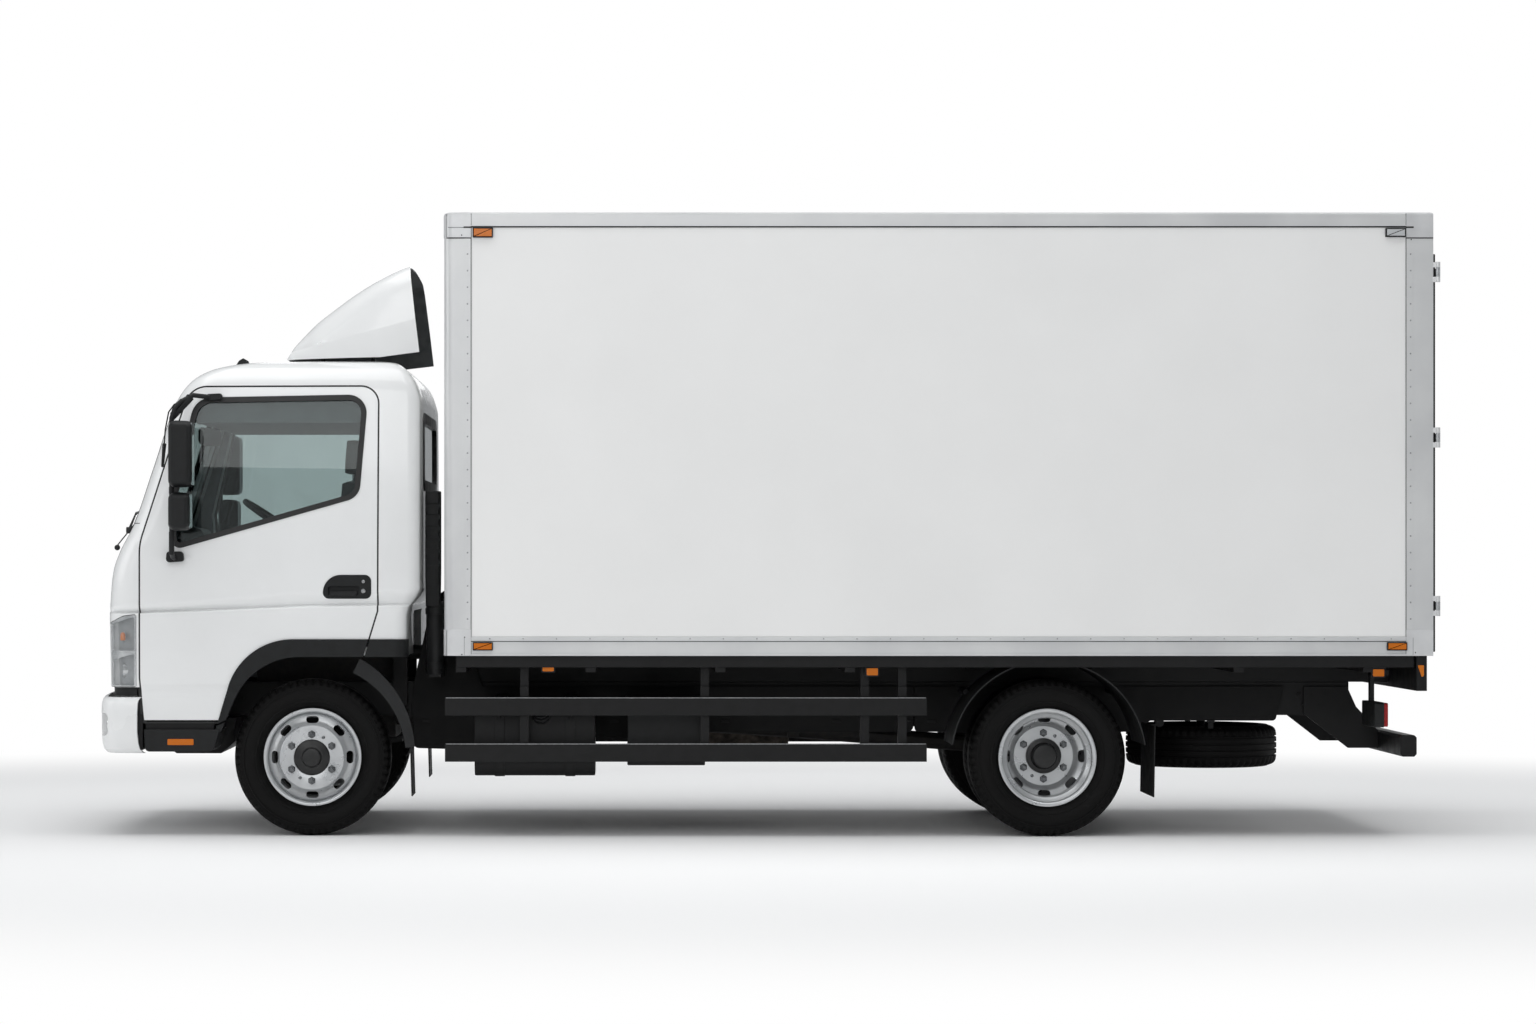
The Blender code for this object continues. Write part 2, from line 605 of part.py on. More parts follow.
FAIRING_ROWS = (
    # x, top_z, half_y
    (-0.098, 2.302, 0.50),
    (0.000, 2.395, 0.58),
    (0.110, 2.478, 0.63),
    (0.240, 2.572, 0.67),
    (0.370, 2.648, 0.70),
    (0.523, 2.693, 0.72),
)


FAIRING_SKIN = 0.012


def fairing_ring(x, top, half, inset, low):
    """One section of the deflector: upright sides, round shoulders, a crowned top."""
    top, half = top - inset, half - inset
    shoulder = min(0.16, (top - 2.29) * 0.8)
    lean = 0.02
    right = [(half, low), (half - lean, top - shoulder)]
    for k in range(1, 4):
        a = math.radians(90) * k / 3
        right.append((half - lean - shoulder + shoulder * math.cos(a),
                      top - shoulder + shoulder * math.sin(a)))
    left = [(-y, z) for y, z in right[::-1]]
    return [Vector((x, y, z)) for y, z in right + left]


def build_fairing(cab):
    """An open shell that follows the roof, with two upright ribs inside."""
    bm = bmesh.new()
    add_loft(bm, [fairing_ring(*row, 0.0, 2.24) for row in FAIRING_ROWS])
    fairing = keep("roof_fairing", bm, WHITE_PAINT, cab)
    hollow = bmesh.new()
    rows = [(x + 0.020, top, half) for x, top, half in FAIRING_ROWS]
    rows[-1] = (rows[-1][0] + 0.2, rows[-1][1], rows[-1][2])
    add_loft(hollow, [fairing_ring(*row, FAIRING_SKIN, 2.20) for row in rows])
    inside = keep("cut_fairing", hollow)
    ribs = bmesh.new()
    for side in (-1, 1):
        add_box(ribs, (0.02, side * 0.44 - 0.01, 2.0), (0.30, side * 0.44 + 0.01, 3.0))
    cut(inside, keep("cut_fairing_ribs", ribs))
    tail = prism("cut_fairing_tail", ((0.326, 2.0), (0.324, 2.3115), (0.60, 2.333), (0.60, 2.0)),
                 "xz", -1.0, 1.0)
    roof = cab_body("cut_roof", -FIT, 2.00, CAB_ROWS[-1][0] + FIT)
    cut(fairing, inside, tail, roof)


def build_frame():
    """Two C-section rails with crossmembers, the cab's pivot forks and its rear rests."""
    bm = bmesh.new()
    flange, web = RAIL_FLANGE, RAIL_WEB
    low, high = RAIL_BOTTOM_Z, RAIL_TOP_Z
    for side in (-1, 1):
        o = side * RAIL_OUTER_Y
        i = side * (RAIL_OUTER_Y - flange)
        w = side * (RAIL_OUTER_Y - web)
        add_prism(bm, ((o, low), (o, high), (i, high), (i, high - web), (w, high - web),
                       (w, low + web), (i, low + web), (i, low)), "yz", RAIL_FRONT_X, RAIL_REAR_X)
    frame = keep("frame", bm, CHASSIS_PAINT)
    rest = bmesh.new()
    reach = RAIL_OUTER_Y - web * 0.5
    for x in CROSSMEMBER_X:
        add_box(rest, (x - 0.04, -reach, low + 0.028), (x + 0.04, reach, high - 0.028))
    fork = rounded(((PIVOT_X - 0.028, PIVOT_Z - 0.13, 0.0), (PIVOT_X + 0.12, PIVOT_Z - 0.13, 0.0),
                    (PIVOT_X + 0.028, PIVOT_Z + 0.028, 0.02), (PIVOT_X - 0.028, PIVOT_Z + 0.028, 0.02)), 1)
    for side in (-1, 1):
        for lug_y in (RAIL_OUTER_Y - 0.058, RAIL_OUTER_Y - 0.001):
            add_prism(rest, fork, "xz", side * (lug_y - 0.006), side * (lug_y + 0.006))
        add_tube(rest, (PIVOT_X, side * (RAIL_OUTER_Y - 0.068), PIVOT_Z),
                 (PIVOT_X, side * (RAIL_OUTER_Y + 0.009), PIVOT_Z), PIVOT_PIN, 10)
        add_side_box(rest, side, (0.36, 0.43), (RAIL_OUTER_Y - 0.008, RAIL_OUTER_Y + 0.05),
                     (low + 0.05, CAB_FLOOR_Z - MOVING_GAP))
    join(frame, rest)


def build_bearers():
    """Two long runners on the rails, cross bearers under the floor and the rear beam."""
    low, high = RAIL_TOP_Z + FIT, BODY_BOTTOM_Z - FIT
    mid = low + 0.075
    bm = bmesh.new()
    for side in (-1, 1):
        y = side * (RAIL_OUTER_Y - RAIL_FLANGE / 2)
        add_box(bm, (BODY_FRONT_X + 0.03, y - 0.028, low), (BODY_REAR_X - 0.04, y + 0.028, mid))
    bearers = keep("body_bearers", bm, CHASSIS_PAINT)
    rest = bmesh.new()
    first, last = BODY_FRONT_X + 0.08, BODY_REAR_X - 0.30
    for k in range(BEARER_COUNT):
        x = first + (last - first) * k / (BEARER_COUNT - 1)
        half = 0.52 if abs(x - WHEELBASE) < 0.55 else BODY_HALF - 0.05
        add_box(rest, (x - 0.025, -half, mid - 0.008), (x + 0.025, half, high))
    reach = BODY_HALF - 0.025
    add_box(rest, (BODY_REAR_X - 0.075, -reach, 0.700), (BODY_REAR_X - 0.025, reach, high))
    join(bearers, rest)


# Side marker lamps: station, height, length, height of the lens
RAIL_MARKERS = (
    (BODY_FRONT_X + 0.186, BODY_BOTTOM_Z + 0.046, 0.092, 0.036),
    (BODY_REAR_X - 0.174, BODY_BOTTOM_Z + 0.046, 0.092, 0.036),
)
PANEL_MARKERS = (
    (BODY_FRONT_X + 0.186, BODY_TOP_Z - TOP_RAIL - 0.031, 0.086, 0.043),
    (BODY_REAR_X - 0.181, BODY_TOP_Z - TOP_RAIL - 0.031, 0.092, 0.038),
)
REAR_HINGE_Z = (BODY_BOTTOM_Z + 0.238, (BODY_BOTTOM_Z + BODY_TOP_Z) / 2 - 0.017, BODY_TOP_Z - 0.286)
HINGE_HALF = 0.048
HINGE_LEAF = 0.026
PIN_RADIUS = 0.0105


def add_markers(bm, side, rows, skin):
    """Marker lamps on one side, each rooted in the skin that carries it."""
    for x, z, length, tall in rows:
        add_side_box(bm, side, (x - length / 2, x + length / 2), (skin - 0.002, BODY_HALF + 0.012),
                     (z - tall / 2, z + tall / 2))


def build_body():
    """Edge frame of the van body with its panels, floor and the fixed hinge halves."""
    front, rear, half = BODY_FRONT_X, BODY_REAR_X, BODY_HALF
    low, high, t = BODY_BOTTOM_Z, BODY_TOP_Z, BODY_FRAME
    plan = rounded(((front, -half, 0.05), (rear, -half, 0.0), (rear, half, 0.0), (front, half, 0.05)), 3)
    bm = bmesh.new()
    add_loft(bm, [[Vector((x, y, z)) for x, y in grown(plan, -inset)]
                  for z, inset in ((low, 0.0), (high - 0.018, 0.0), (high - 0.005, 0.005), (high, 0.018))])
    cage = keep("body_edge_frame", bm, ALUMINIUM)
    cut(cage,
        box("cut_cage", (front + t, -half + t, low + t), (rear - t, half - t, high - t)),
        box("cut_cage_sides", (front + POST_SIDE, -2, low + BOTTOM_RAIL), (rear - POST_SIDE, 2, high - TOP_RAIL)),
        box("cut_cage_front", (front - 1, -half + POST_END, low + BOTTOM_RAIL),
            (front + 1, half - POST_END, high - TOP_RAIL)),
        box("cut_cage_roof", (front + 0.08, -half + 0.08, high - 0.5), (rear - 0.08, half - 0.08, high + 1)),
        box("cut_cage_floor", (front + 0.08, -half + 0.08, low - 1), (rear - 0.08, half - 0.08, low + 0.2)),
        box("cut_doorway", (rear - 1, -half + DOOR_POST, low + 0.012), (rear + 1, half - DOOR_POST, high - HEADER)))
    rest = bmesh.new()
    for side in (-1, 1):
        for z in REAR_HINGE_Z:
            for a, b in ((z - HINGE_HALF, z - HINGE_HALF + HINGE_LEAF), (z + HINGE_HALF - HINGE_LEAF, z + HINGE_HALF)):
                add_tube(rest, (BODY_AXIS_X, side * BODY_AXIS_Y, a), (BODY_AXIS_X, side * BODY_AXIS_Y, b),
                         PIN_RADIUS, 8)
                add_prism(rest, [(x, side * y) for x, y in (
                    (rear - 0.006, half - 0.036), (rear + 0.006, half - 0.036), (BODY_AXIS_X - 0.002, BODY_AXIS_Y - 0.004),
                    (BODY_AXIS_X - 0.004, BODY_AXIS_Y + 0.004), (rear - 0.006, half - 0.004))], "xy", a + 0.001, b - 0.001)
        add_markers(rest, side, RAIL_MARKERS, half)
    join(cage, rest)

    f = FIT
    for word, side in SIDES:
        panel = bmesh.new()
        add_side_box(panel, side, (front + POST_SIDE + f, rear - POST_SIDE - f),
                     (half - PANEL_INSET - PANEL, half - PANEL_INSET), (low + BOTTOM_RAIL + f, high - TOP_RAIL - f))
        wall = keep("body_wall_" + word, panel, PANEL_WHITE)
        lamps = bmesh.new()
        add_markers(lamps, side, PANEL_MARKERS, half - PANEL_INSET)
        join(wall, lamps)
    box("body_front_wall", (front + PANEL_INSET, -half + POST_END + f, low + BOTTOM_RAIL + f),
        (front + PANEL_INSET + PANEL, half - POST_END - f, high - TOP_RAIL - f), PANEL_WHITE)
    box("body_roof", (front + 0.08 + f, -half + 0.08 + f, high - PANEL),
        (rear - 0.08 - f, half - 0.08 - f, high - PANEL_INSET), PANEL_WHITE)
    box("body_floor", (front + 0.08 + f, -half + 0.08 + f, low), (rear - 0.08 - f, half - 0.08 - f, low + PANEL),
        FLOOR_BROWN)


def build_rear_doors():
    """Door leaves with their hinge straps, and a full-height locking bar with its handle."""
    low = BODY_BOTTOM_Z + 0.018
    high = BODY_TOP_Z - HEADER - 0.006
    outer_x = BODY_REAR_X + REAR_DOOR_STAND
    bar_x, bar_at = outer_x + LOCK_BAR_STAND, 0.36
    for word, side in SIDES:
        hinge = pivot("rear_hinge_" + word, (BODY_AXIS_X, side * BODY_AXIS_Y, REAR_HINGE_Z[1]))
        bm = bmesh.new()
        add_side_box(bm, side, (outer_x - REAR_DOOR, outer_x), (0.0035, BODY_HALF - DOOR_POST - 0.007), (low, high))
        leaf = keep("rear_door_" + word, bm, PANEL_WHITE, hinge)
        rest = bmesh.new()
        for z in REAR_HINGE_Z:
            a, b = z - HINGE_HALF + HINGE_LEAF + 0.002, z + HINGE_HALF - HINGE_LEAF - 0.002
            add_side_box(rest, side, (outer_x - 0.002, outer_x + 0.005), (BODY_HALF - 0.20, BODY_AXIS_Y), (a, b))
            add_tube(rest, (BODY_AXIS_X, side * BODY_AXIS_Y, a - 0.002 + FIT), (BODY_AXIS_X, side * BODY_AXIS_Y, b + 0.002 - FIT),
                     PIN_RADIUS, 8)
        bar_y = side * bar_at
        add_tube(rest, (bar_x, bar_y, low - 0.003), (bar_x, bar_y, high + 0.003), 0.0125, 6)
        for z in (low + 0.12, low + 0.62, high - 0.62, high - 0.12):
            add_box(rest, (outer_x - 0.002, bar_y - 0.022, z - 0.022), (bar_x + 0.004, bar_y + 0.022, z + 0.022))
        add_side_box(rest, side, (bar_x - 0.004, outer_x + HANDLE_STAND), (0.05, bar_at), (1.235, 1.262))
        join(leaf, rest)


FLANGE_DEPTH = 0.0085


def tyre_profile(steps):
    """Section of the tyre as (radius, offset): bead, bulged wall, shoulder, flat tread."""
    w, r = TYRE_WIDTH / 2, TYRE_RADIUS / math.cos(math.pi / steps)
    bead = RIM_WIDTH / 2
    seat = bead - FLANGE_DEPTH - FIT
    outer = [(RIM_RADIUS + 0.006, seat), (RIM_FLANGE + 0.008, seat),
             (RIM_RADIUS + 0.072, w), (r - 0.028, w - 0.005), (r, w - 0.030)]
    return outer + [(radius, -offset) for radius, offset in outer[::-1]]


RIM_HALF_SECTION = (
    # radius, offset from the wheel's middle, from the lip down to the drop centre
    (RIM_FLANGE, RIM_WIDTH / 2), (RIM_FLANGE, RIM_WIDTH / 2 - FLANGE_DEPTH), (RIM_RADIUS, RIM_WIDTH / 2 - FLANGE_DEPTH),
    (RIM_WELL, 0.034),
)


def rim_profile():
    outer = list(RIM_HALF_SECTION) + [(r, -o) for r, o in RIM_HALF_SECTION[::-1]]
    edge, thick = RIM_WIDTH / 2, RIM_WALL
    inner = [(RIM_RADIUS - 0.006, -edge), (RIM_WELL - thick, -0.028), (RIM_WELL - thick, 0.028),
             (RIM_RADIUS - 0.006, edge)]
    return outer + inner


def disc_profile():
    """Pressed disc from the drop centre out to its flat mounting face round the hub."""
    face = DISC_FACE
    return [(RIM_WELL - 0.004, 0.022), (RIM_WELL - 0.018, 0.064), (DISC_FLAT, face), (HUB_BORE, face),
            (HUB_BORE, face - 0.010), (DISC_FLAT - 0.006, face - 0.010), (RIM_WELL - 0.029, 0.058),
            (RIM_WELL - 0.008, 0.004)]


def hand_holes(centre, side, out):
    """Cutter for the oval holes that ring the disc; out is +1 for a disc that bulges out."""
    cx, cy, cz = centre
    bm = bmesh.new()
    for k in range(HAND_HOLES):
        a = math.tau * (k + 0.5) / HAND_HOLES
        u, v = Vector((math.cos(a), math.sin(a))), Vector((-math.sin(a), math.cos(a)))
        outline = [(cx + u.x * (HAND_HOLE_CIRCLE + p) + v.x * q, cz + u.y * (HAND_HOLE_CIRCLE + p) + v.y * q)
                   for p, q in rounded(((-0.013, -0.023, 0.009), (0.013, -0.023, 0.009),
                                        (0.013, 0.023, 0.009), (-0.013, 0.023, 0.009)), 1)]
        add_prism(bm, outline, "xz", cy + side * out * 0.030, cy + side * out * 0.130)
    return keep("cut_hand_holes", bm)


def build_wheels(knuckles):
    """Single front wheels that bulge out, and twin rear wheels bolted face to face."""
    z = TYRE_RADIUS
    for word, side in SIDES:
        y = side * FRONT_TRACK / 2
        centre = (0.0, y, z)
        hub = pivot("front_hub_" + word, centre, knuckles[word])
        tyre = bmesh.new()
        add_lathe(tyre, tyre_profile(TYRE_STEPS), centre, TYRE_STEPS)
        keep("tyre_front_" + word, tyre, RUBBER, hub)
        rim = bmesh.new()
        add_lathe(rim, rim_profile(), centre, WHEEL_STEPS)
        wheel = keep("rim_front_" + word, rim, RIM_SILVER, hub)
        rest = bmesh.new()
        face = y + side * DISC_FACE
        add_lathe(rest, [(r, o * side) for r, o in disc_profile()], centre, WHEEL_STEPS)
        add_lathe(rest, [(r, side * o) for r, o in (
            (0, -FRONT_HUB_DEPTH), (DRUM_RADIUS, -FRONT_HUB_DEPTH), (DRUM_RADIUS, -0.004), (HUB_BORE + 0.006, -0.003),
            (HUB_BORE - 0.004, 0.030), (0, 0.030))], (0, face, z), WHEEL_STEPS)
        join(wheel, rest)
        cut(wheel, hand_holes(centre, side, 1))

        hub = pivot("rear_hub_" + word, (WHEELBASE, side * DUAL_MEAN_Y, z))
        mean = side * DUAL_MEAN_Y
        wheels = {}
        for place, way in (("outer", 1), ("inner", -1)):
            centre = (WHEELBASE, mean + side * way * DUAL_SPACING / 2, z)
            tyre = bmesh.new()
            add_lathe(tyre, tyre_profile(TYRE_STEPS), centre, TYRE_STEPS)
            keep("tyre_rear_%s_%s" % (word, place), tyre, RUBBER, hub)
            wheels[place] = centre
        rim = bmesh.new()
        add_lathe(rim, rim_profile(), wheels["outer"], WHEEL_STEPS)
        wheel = keep("rims_rear_" + word, rim, RIM_SILVER, hub)
        rest = bmesh.new()
        add_lathe(rest, rim_profile(), wheels["inner"], WHEEL_STEPS)
        add_lathe(rest, [(r, -o * side) for r, o in disc_profile()], wheels["outer"], WHEEL_STEPS)
        add_lathe(rest, [(r, side * o) for r, o in disc_profile()], wheels["inner"], WHEEL_STEPS)
        add_lathe(rest, [(r, side * o) for r, o in (
            (0, -REAR_HUB_DEPTH), (DRUM_RADIUS, -REAR_HUB_DEPTH), (DRUM_RADIUS, 0.004), (HUB_BORE + 0.006, 0.005),
            (HUB_BORE - 0.002, 0.085), (0, 0.085))], (WHEELBASE, mean, z), WHEEL_STEPS)
        join(wheel, rest)
        cut(wheel, hand_holes(wheels["outer"], side, -1))


SPRING_ROWS = (
    # axle station, spring y, half length, seat height, eye height
    (0.0, 0.35, 0.56, 0.375, 0.490),
    (WHEELBASE, 0.35, 0.62, 0.445, 0.515),
)


def add_springs(bm, station, y, half, seat, eye):
    """Two stepped leaf packs on an axle, with hangers that carry their eyes under the rails."""
    rise, leaf = eye - seat - 0.036, 0.012

    def curve(x):
        return seat + 0.036 + rise * (x / half) ** 2

    steps = [(share * half, count) for share, count in ((1.0, 1), (0.72, 1), (0.72, 2), (0.45, 2), (0.45, 3), (0.0, 3))]
    below = [(x, curve(x) - leaf * count) for x, count in steps]
    above = [(half * k / 3, curve(half * k / 3)) for k in range(-3, 4)]
    outline = below[:-1] + [(-x, z) for x, z in below[::-1]] + above
    for side in (-1, 1):
        add_prism(bm, [(station + x, z) for x, z in outline], "xz", side * y - 0.033, side * y + 0.033)
        add_box(bm, (station - 0.05, side * y - 0.037, seat - 0.03), (station + 0.05, side * y + 0.037, seat + 0.046))
        for end in (-1, 1):
            x = station + end * half
            add_tube(bm, (x, side * y - 0.034, eye + 0.004), (x, side * y + 0.034, eye + 0.004), 0.022, 8)
            add_box(bm, (x - 0.020, side * y - 0.030, eye + 0.006), (x + 0.020, side * y + 0.030, RAIL_BOTTOM_Z - FIT))


def build_front_axle():
    """Dropped I-beam with kingpin eyes between the knuckles' forks, on two leaf springs."""
    bm = bmesh.new()
    drop = [(-KINGPIN_Y + 0.05, 0.345), (-0.50, 0.295), (-0.42, 0.283), (0.42, 0.283), (0.50, 0.295),
            (KINGPIN_Y - 0.05, 0.345)]
    add_prism(bm, [(y, z) for y, z in drop] + [(y, z + 0.070) for y, z in drop[::-1]], "yz", -0.035, 0.035)
    beam = keep("front_axle", bm, CHASSIS_PAINT)
    recess = bmesh.new()
    for side in (-1, 1):
        add_box(recess, (min(side * 0.05, side * 0.011), -0.38, 0.298), (max(side * 0.05, side * 0.011), 0.38, 0.338))
    cut(beam, keep("cut_axle_web", recess))
    rest = bmesh.new()
    for side in (-1, 1):
        add_tube(rest, (0, side * KINGPIN_Y, EYE_LOW_Z), (0, side * KINGPIN_Y, EYE_HIGH_Z), 0.036, 10)
        add_tube(rest, (0, side * KINGPIN_Y, EYE_LOW_Z - FORK_GAP + FIT), (0, side * KINGPIN_Y, EYE_HIGH_Z + FORK_GAP - FIT),
                 0.026, 10)
        add_side_box(rest, side, (-0.030, 0.030), (KINGPIN_Y - 0.08, KINGPIN_Y - 0.02), (0.347, 0.412))
    add_springs(rest, *SPRING_ROWS[0])
    join(beam, rest)


def build_knuckles():
    """Forked knuckles on vertical kingpins, with straight arms to one tie rod."""
    knuckles = {}
    for word, side in SIDES:
        y = side * KINGPIN_Y
        turn = pivot("kingpin_" + word, (0, y, TYRE_RADIUS))
        knuckles[word] = turn
        knuckle = tube("knuckle_" + word, (0, y, 0.270), (0, y, EYE_LOW_Z - FORK_GAP), 0.034, 10, CHASSIS_PAINT, turn)
        rest = bmesh.new()
        add_tube(rest, (0, y, EYE_HIGH_Z + FORK_GAP), (0, y, 0.483), 0.034, 10)
        add_side_box(rest, side, (-0.034, 0.034), (KINGPIN_Y + 0.041, KINGPIN_Y + 0.056), (0.272, 0.481))
        for low, high in ((0.274, 0.330), (0.423, 0.479)):
            add_side_box(rest, side, (-0.028, 0.028), (KINGPIN_Y, KINGPIN_Y + 0.050), (low, high))
        add_tube(rest, (0, y + side * 0.047, TYRE_RADIUS), (0, y + side * 0.058, TYRE_RADIUS), BRAKE_PLATE, 14)
        hub = FRONT_TRACK / 2 + DISC_FACE - FRONT_HUB_DEPTH
        add_tube(rest, (0, y + side * 0.050, TYRE_RADIUS), (0, side * (hub - FIT), TYRE_RADIUS), 0.050, 10)
        arm_end = ARM_LENGTH + 0.016
        add_prism(rest, [(x, side * v) for x, v in (
            (0.0, KINGPIN_Y + 0.028), (arm_end - 0.01, ARM_Y + 0.017), (arm_end, ARM_Y + 0.008), (arm_end, ARM_Y - 0.008),
            (arm_end - 0.01, ARM_Y - 0.017), (0.0, KINGPIN_Y - 0.028))], "xy", 0.286, 0.306)
        add_tube(rest, (ARM_LENGTH, side * ARM_Y, TIE_ROD_Z + ROD_END + FIT), (ARM_LENGTH, side * ARM_Y, 0.290), 0.009, 8)
        join(knuckle, rest)

    joint = pivot("rod_joint", (ARM_LENGTH, -ARM_Y, TIE_ROD_Z), knuckles["left"])
    rod = tube("tie_rod", (ARM_LENGTH, -ARM_Y + 0.005, TIE_ROD_Z), (ARM_LENGTH, ARM_Y - 0.005, TIE_ROD_Z), 0.013, 10,
               CHASSIS_PAINT, joint)
    rest = bmesh.new()
    for side in (-1, 1):
        end = (ARM_LENGTH, side * ARM_Y)
        add_tube(rest, (*end, TIE_ROD_Z - ROD_END), (*end, TIE_ROD_Z + ROD_END), 0.022, 10)
    join(rod, rest)
    return knuckles


def build_rear_axle():
    """Live axle: tube, differential bowl with its pinion nose, brake flanges and springs."""
    x, z = WHEELBASE, TYRE_RADIUS
    seat = DUAL_MEAN_Y - REAR_HUB_DEPTH - FIT
    end = seat - MOVING_GAP
    axle = tube("rear_axle", (x, -seat, z), (x, seat, z), 0.055, 12, CHASSIS_PAINT)
    bowl = bmesh.new()
    bmesh.ops.create_uvsphere(bowl, u_segments=12, v_segments=6, radius=0.165,
                              matrix=Matrix.Translation((x, 0, z)) @ Matrix.Rotation(math.radians(90), 4, "Y"))
    add_tube(bowl, (x - 0.28, 0, z + 0.02), (x, 0, z + 0.02), 0.055, 12, 0.10)
    for side in (-1, 1):
        add_tube(bowl, (x, side * (end - 0.014), z), (x, side * (end - 0.002), z), BRAKE_PLATE, 14)
        add_side_box(bowl, side, (x - 0.05, x + 0.05), (0.314, 0.386), (z, 0.430))
    add_springs(bowl, *SPRING_ROWS[1])
    join(axle, bowl)


ENGINE_REAR_X = 0.36


def build_driveline():
    bm = bmesh.new()
    add_prism(bm, rounded(((-0.24, 0.44, 0.05), (0.24, 0.44, 0.05), (0.26, 1.00, 0.06), (-0.26, 1.00, 0.06)), 2),
              "yz", -0.33, ENGINE_REAR_X)
    engine = keep("engine", bm, ENGINE_GREY)
    feet = bmesh.new()
    for side in (-1, 1):
        add_side_box(feet, side, (-0.05, 0.05), (0.22, RAIL_OUTER_Y - RAIL_WEB - FIT), (0.61, 0.665))
    join(engine, feet)
    line = bmesh.new()
    add_box(line, (ENGINE_REAR_X + FIT, -0.14, 0.50), (ENGINE_REAR_X + 0.03, 0.14, 0.73))
    add_tube(line, (ENGINE_REAR_X + 0.02, 0, 0.60), (0.95, 0, 0.56), 0.115, 14, 0.085)
    shaft = keep("gearbox_and_shaft", line, CHASSIS_PAINT)
    rest = bmesh.new()
    add_tube(rest, (0.90, 0, 0.56), (2.36, 0, 0.468), 0.042, 10)
    add_tube(rest, (2.33, 0, 0.470), (WHEELBASE - 0.285, 0, TYRE_RADIUS + 0.022), 0.042, 10)
    add_box(rest, (2.32, -0.07, 0.43), (2.38, 0.07, RAIL_BOTTOM_Z + 0.0275))
    join(shaft, rest)


def build_tanks():
    out = BODY_HALF - 0.18
    tank = prism("fuel_tank", rounded(((-out, 0.285, 0.07), (-0.50, 0.285, 0.07), (-0.50, 0.640, 0.07),
                                       (-out, 0.640, 0.07)), 3), "yz", 0.78, 1.36, CHASSIS_PAINT)
    rest = bmesh.new()
    for x in (0.90, 1.24):
        add_box(rest, (x - 0.025, -out - 0.01, 0.632), (x + 0.025, -RAIL_OUTER_Y - FIT, 0.665))
        add_box(rest, (x - 0.025, -0.505, 0.40), (x + 0.025, -0.475, 0.64))
    join(tank, rest)
    battery = box("battery_box", (1.515, 0.04 - out, 0.335), (1.890, -0.44, 0.600), BLACK_PLASTIC)
    cover = bmesh.new()
    add_box(cover, (1.505, 0.03 - out, 0.592), (1.900, -0.43, 0.655))
    add_box(cover, (1.600, -0.45, 0.575), (1.800, -RAIL_OUTER_Y - FIT, 0.640))
    join(battery, cover)
    silencer = tube("exhaust", (1.55, 0.62, 0.47), (2.35, 0.62, 0.47), 0.13, 16, EXHAUST_STEEL)
    rest = bmesh.new()
    for x in (1.70, 2.20):
        add_box(rest, (x - 0.02, RAIL_OUTER_Y + FIT, 0.58), (x + 0.02, 0.66, 0.612))
    add_tube(rest, (2.33, 0.62, 0.47), (2.62, 0.62, 0.45), 0.045, 12)
    join(silencer, rest)


INTAKE_X = 0.532
INTAKE_LOW_Z = RAIL_TOP_Z + 0.045
INTAKE_TOP_Z = 1.66


def build_intake():
    """Upright air intake between the cab and the body: filter drum, duct and louvred head."""
    x, y = INTAKE_X + 0.046, -0.62
    intake = tube("air_intake", (x, y, INTAKE_LOW_Z), (x, y, 1.12), 0.046, 16, BLACK_PLASTIC)
    rest = bmesh.new()
    add_tube(rest, (x, y, INTAKE_LOW_Z + 0.03), (x, y, INTAKE_LOW_Z + 0.06), 0.050, 16)
    add_tube(rest, (x, y, 1.06), (x, y, 1.09), 0.050, 16)
    outline = rounded(((INTAKE_X, y - 0.10, 0.012), (INTAKE_X + 0.070, y - 0.10, 0.012),
                       (INTAKE_X + 0.070, y + 0.10, 0.012), (INTAKE_X, y + 0.10, 0.012)), 2)
    add_loft(rest, [[Vector((a, y + (b - y) * wide, z)) for a, b in outline]
                    for z, wide in ((1.10, 0.50), (1.17, 0.62), (1.26, 1.0), (INTAKE_TOP_Z - 0.02, 1.0),
                                    (INTAKE_TOP_Z, 0.88))])
    add_tube(rest, (x, y + 0.02, INTAKE_LOW_Z + 0.10), (x, -0.22, INTAKE_LOW_Z + 0.10), 0.038, 12)
    add_tube(rest, (x, -0.22, INTAKE_LOW_Z + 0.10), (ENGINE_REAR_X + FIT, -0.22, INTAKE_LOW_Z + 0.10), 0.036, 12)
    add_box(rest, (x - 0.028, y - 0.035, INTAKE_LOW_Z - 0.012), (x + 0.028, 0.03 - RAIL_OUTER_Y, INTAKE_LOW_Z + 0.01))
    add_box(rest, (x - 0.028, 0.004 - RAIL_OUTER_Y, RAIL_TOP_Z + FIT), (x + 0.028, 0.03 - RAIL_OUTER_Y, INTAKE_LOW_Z))
    join(intake, rest)
    slots = bmesh.new()
    for k in range(6):
        z = 1.30 + 0.055 * k
        add_box(slots, (INTAKE_X - 0.01, y - 0.20, z), (INTAKE_X + 0.080, y - 0.088, z + 0.026))
    cut(intake, keep("cut_intake_slots", slots))


SPARE_X = 4.41


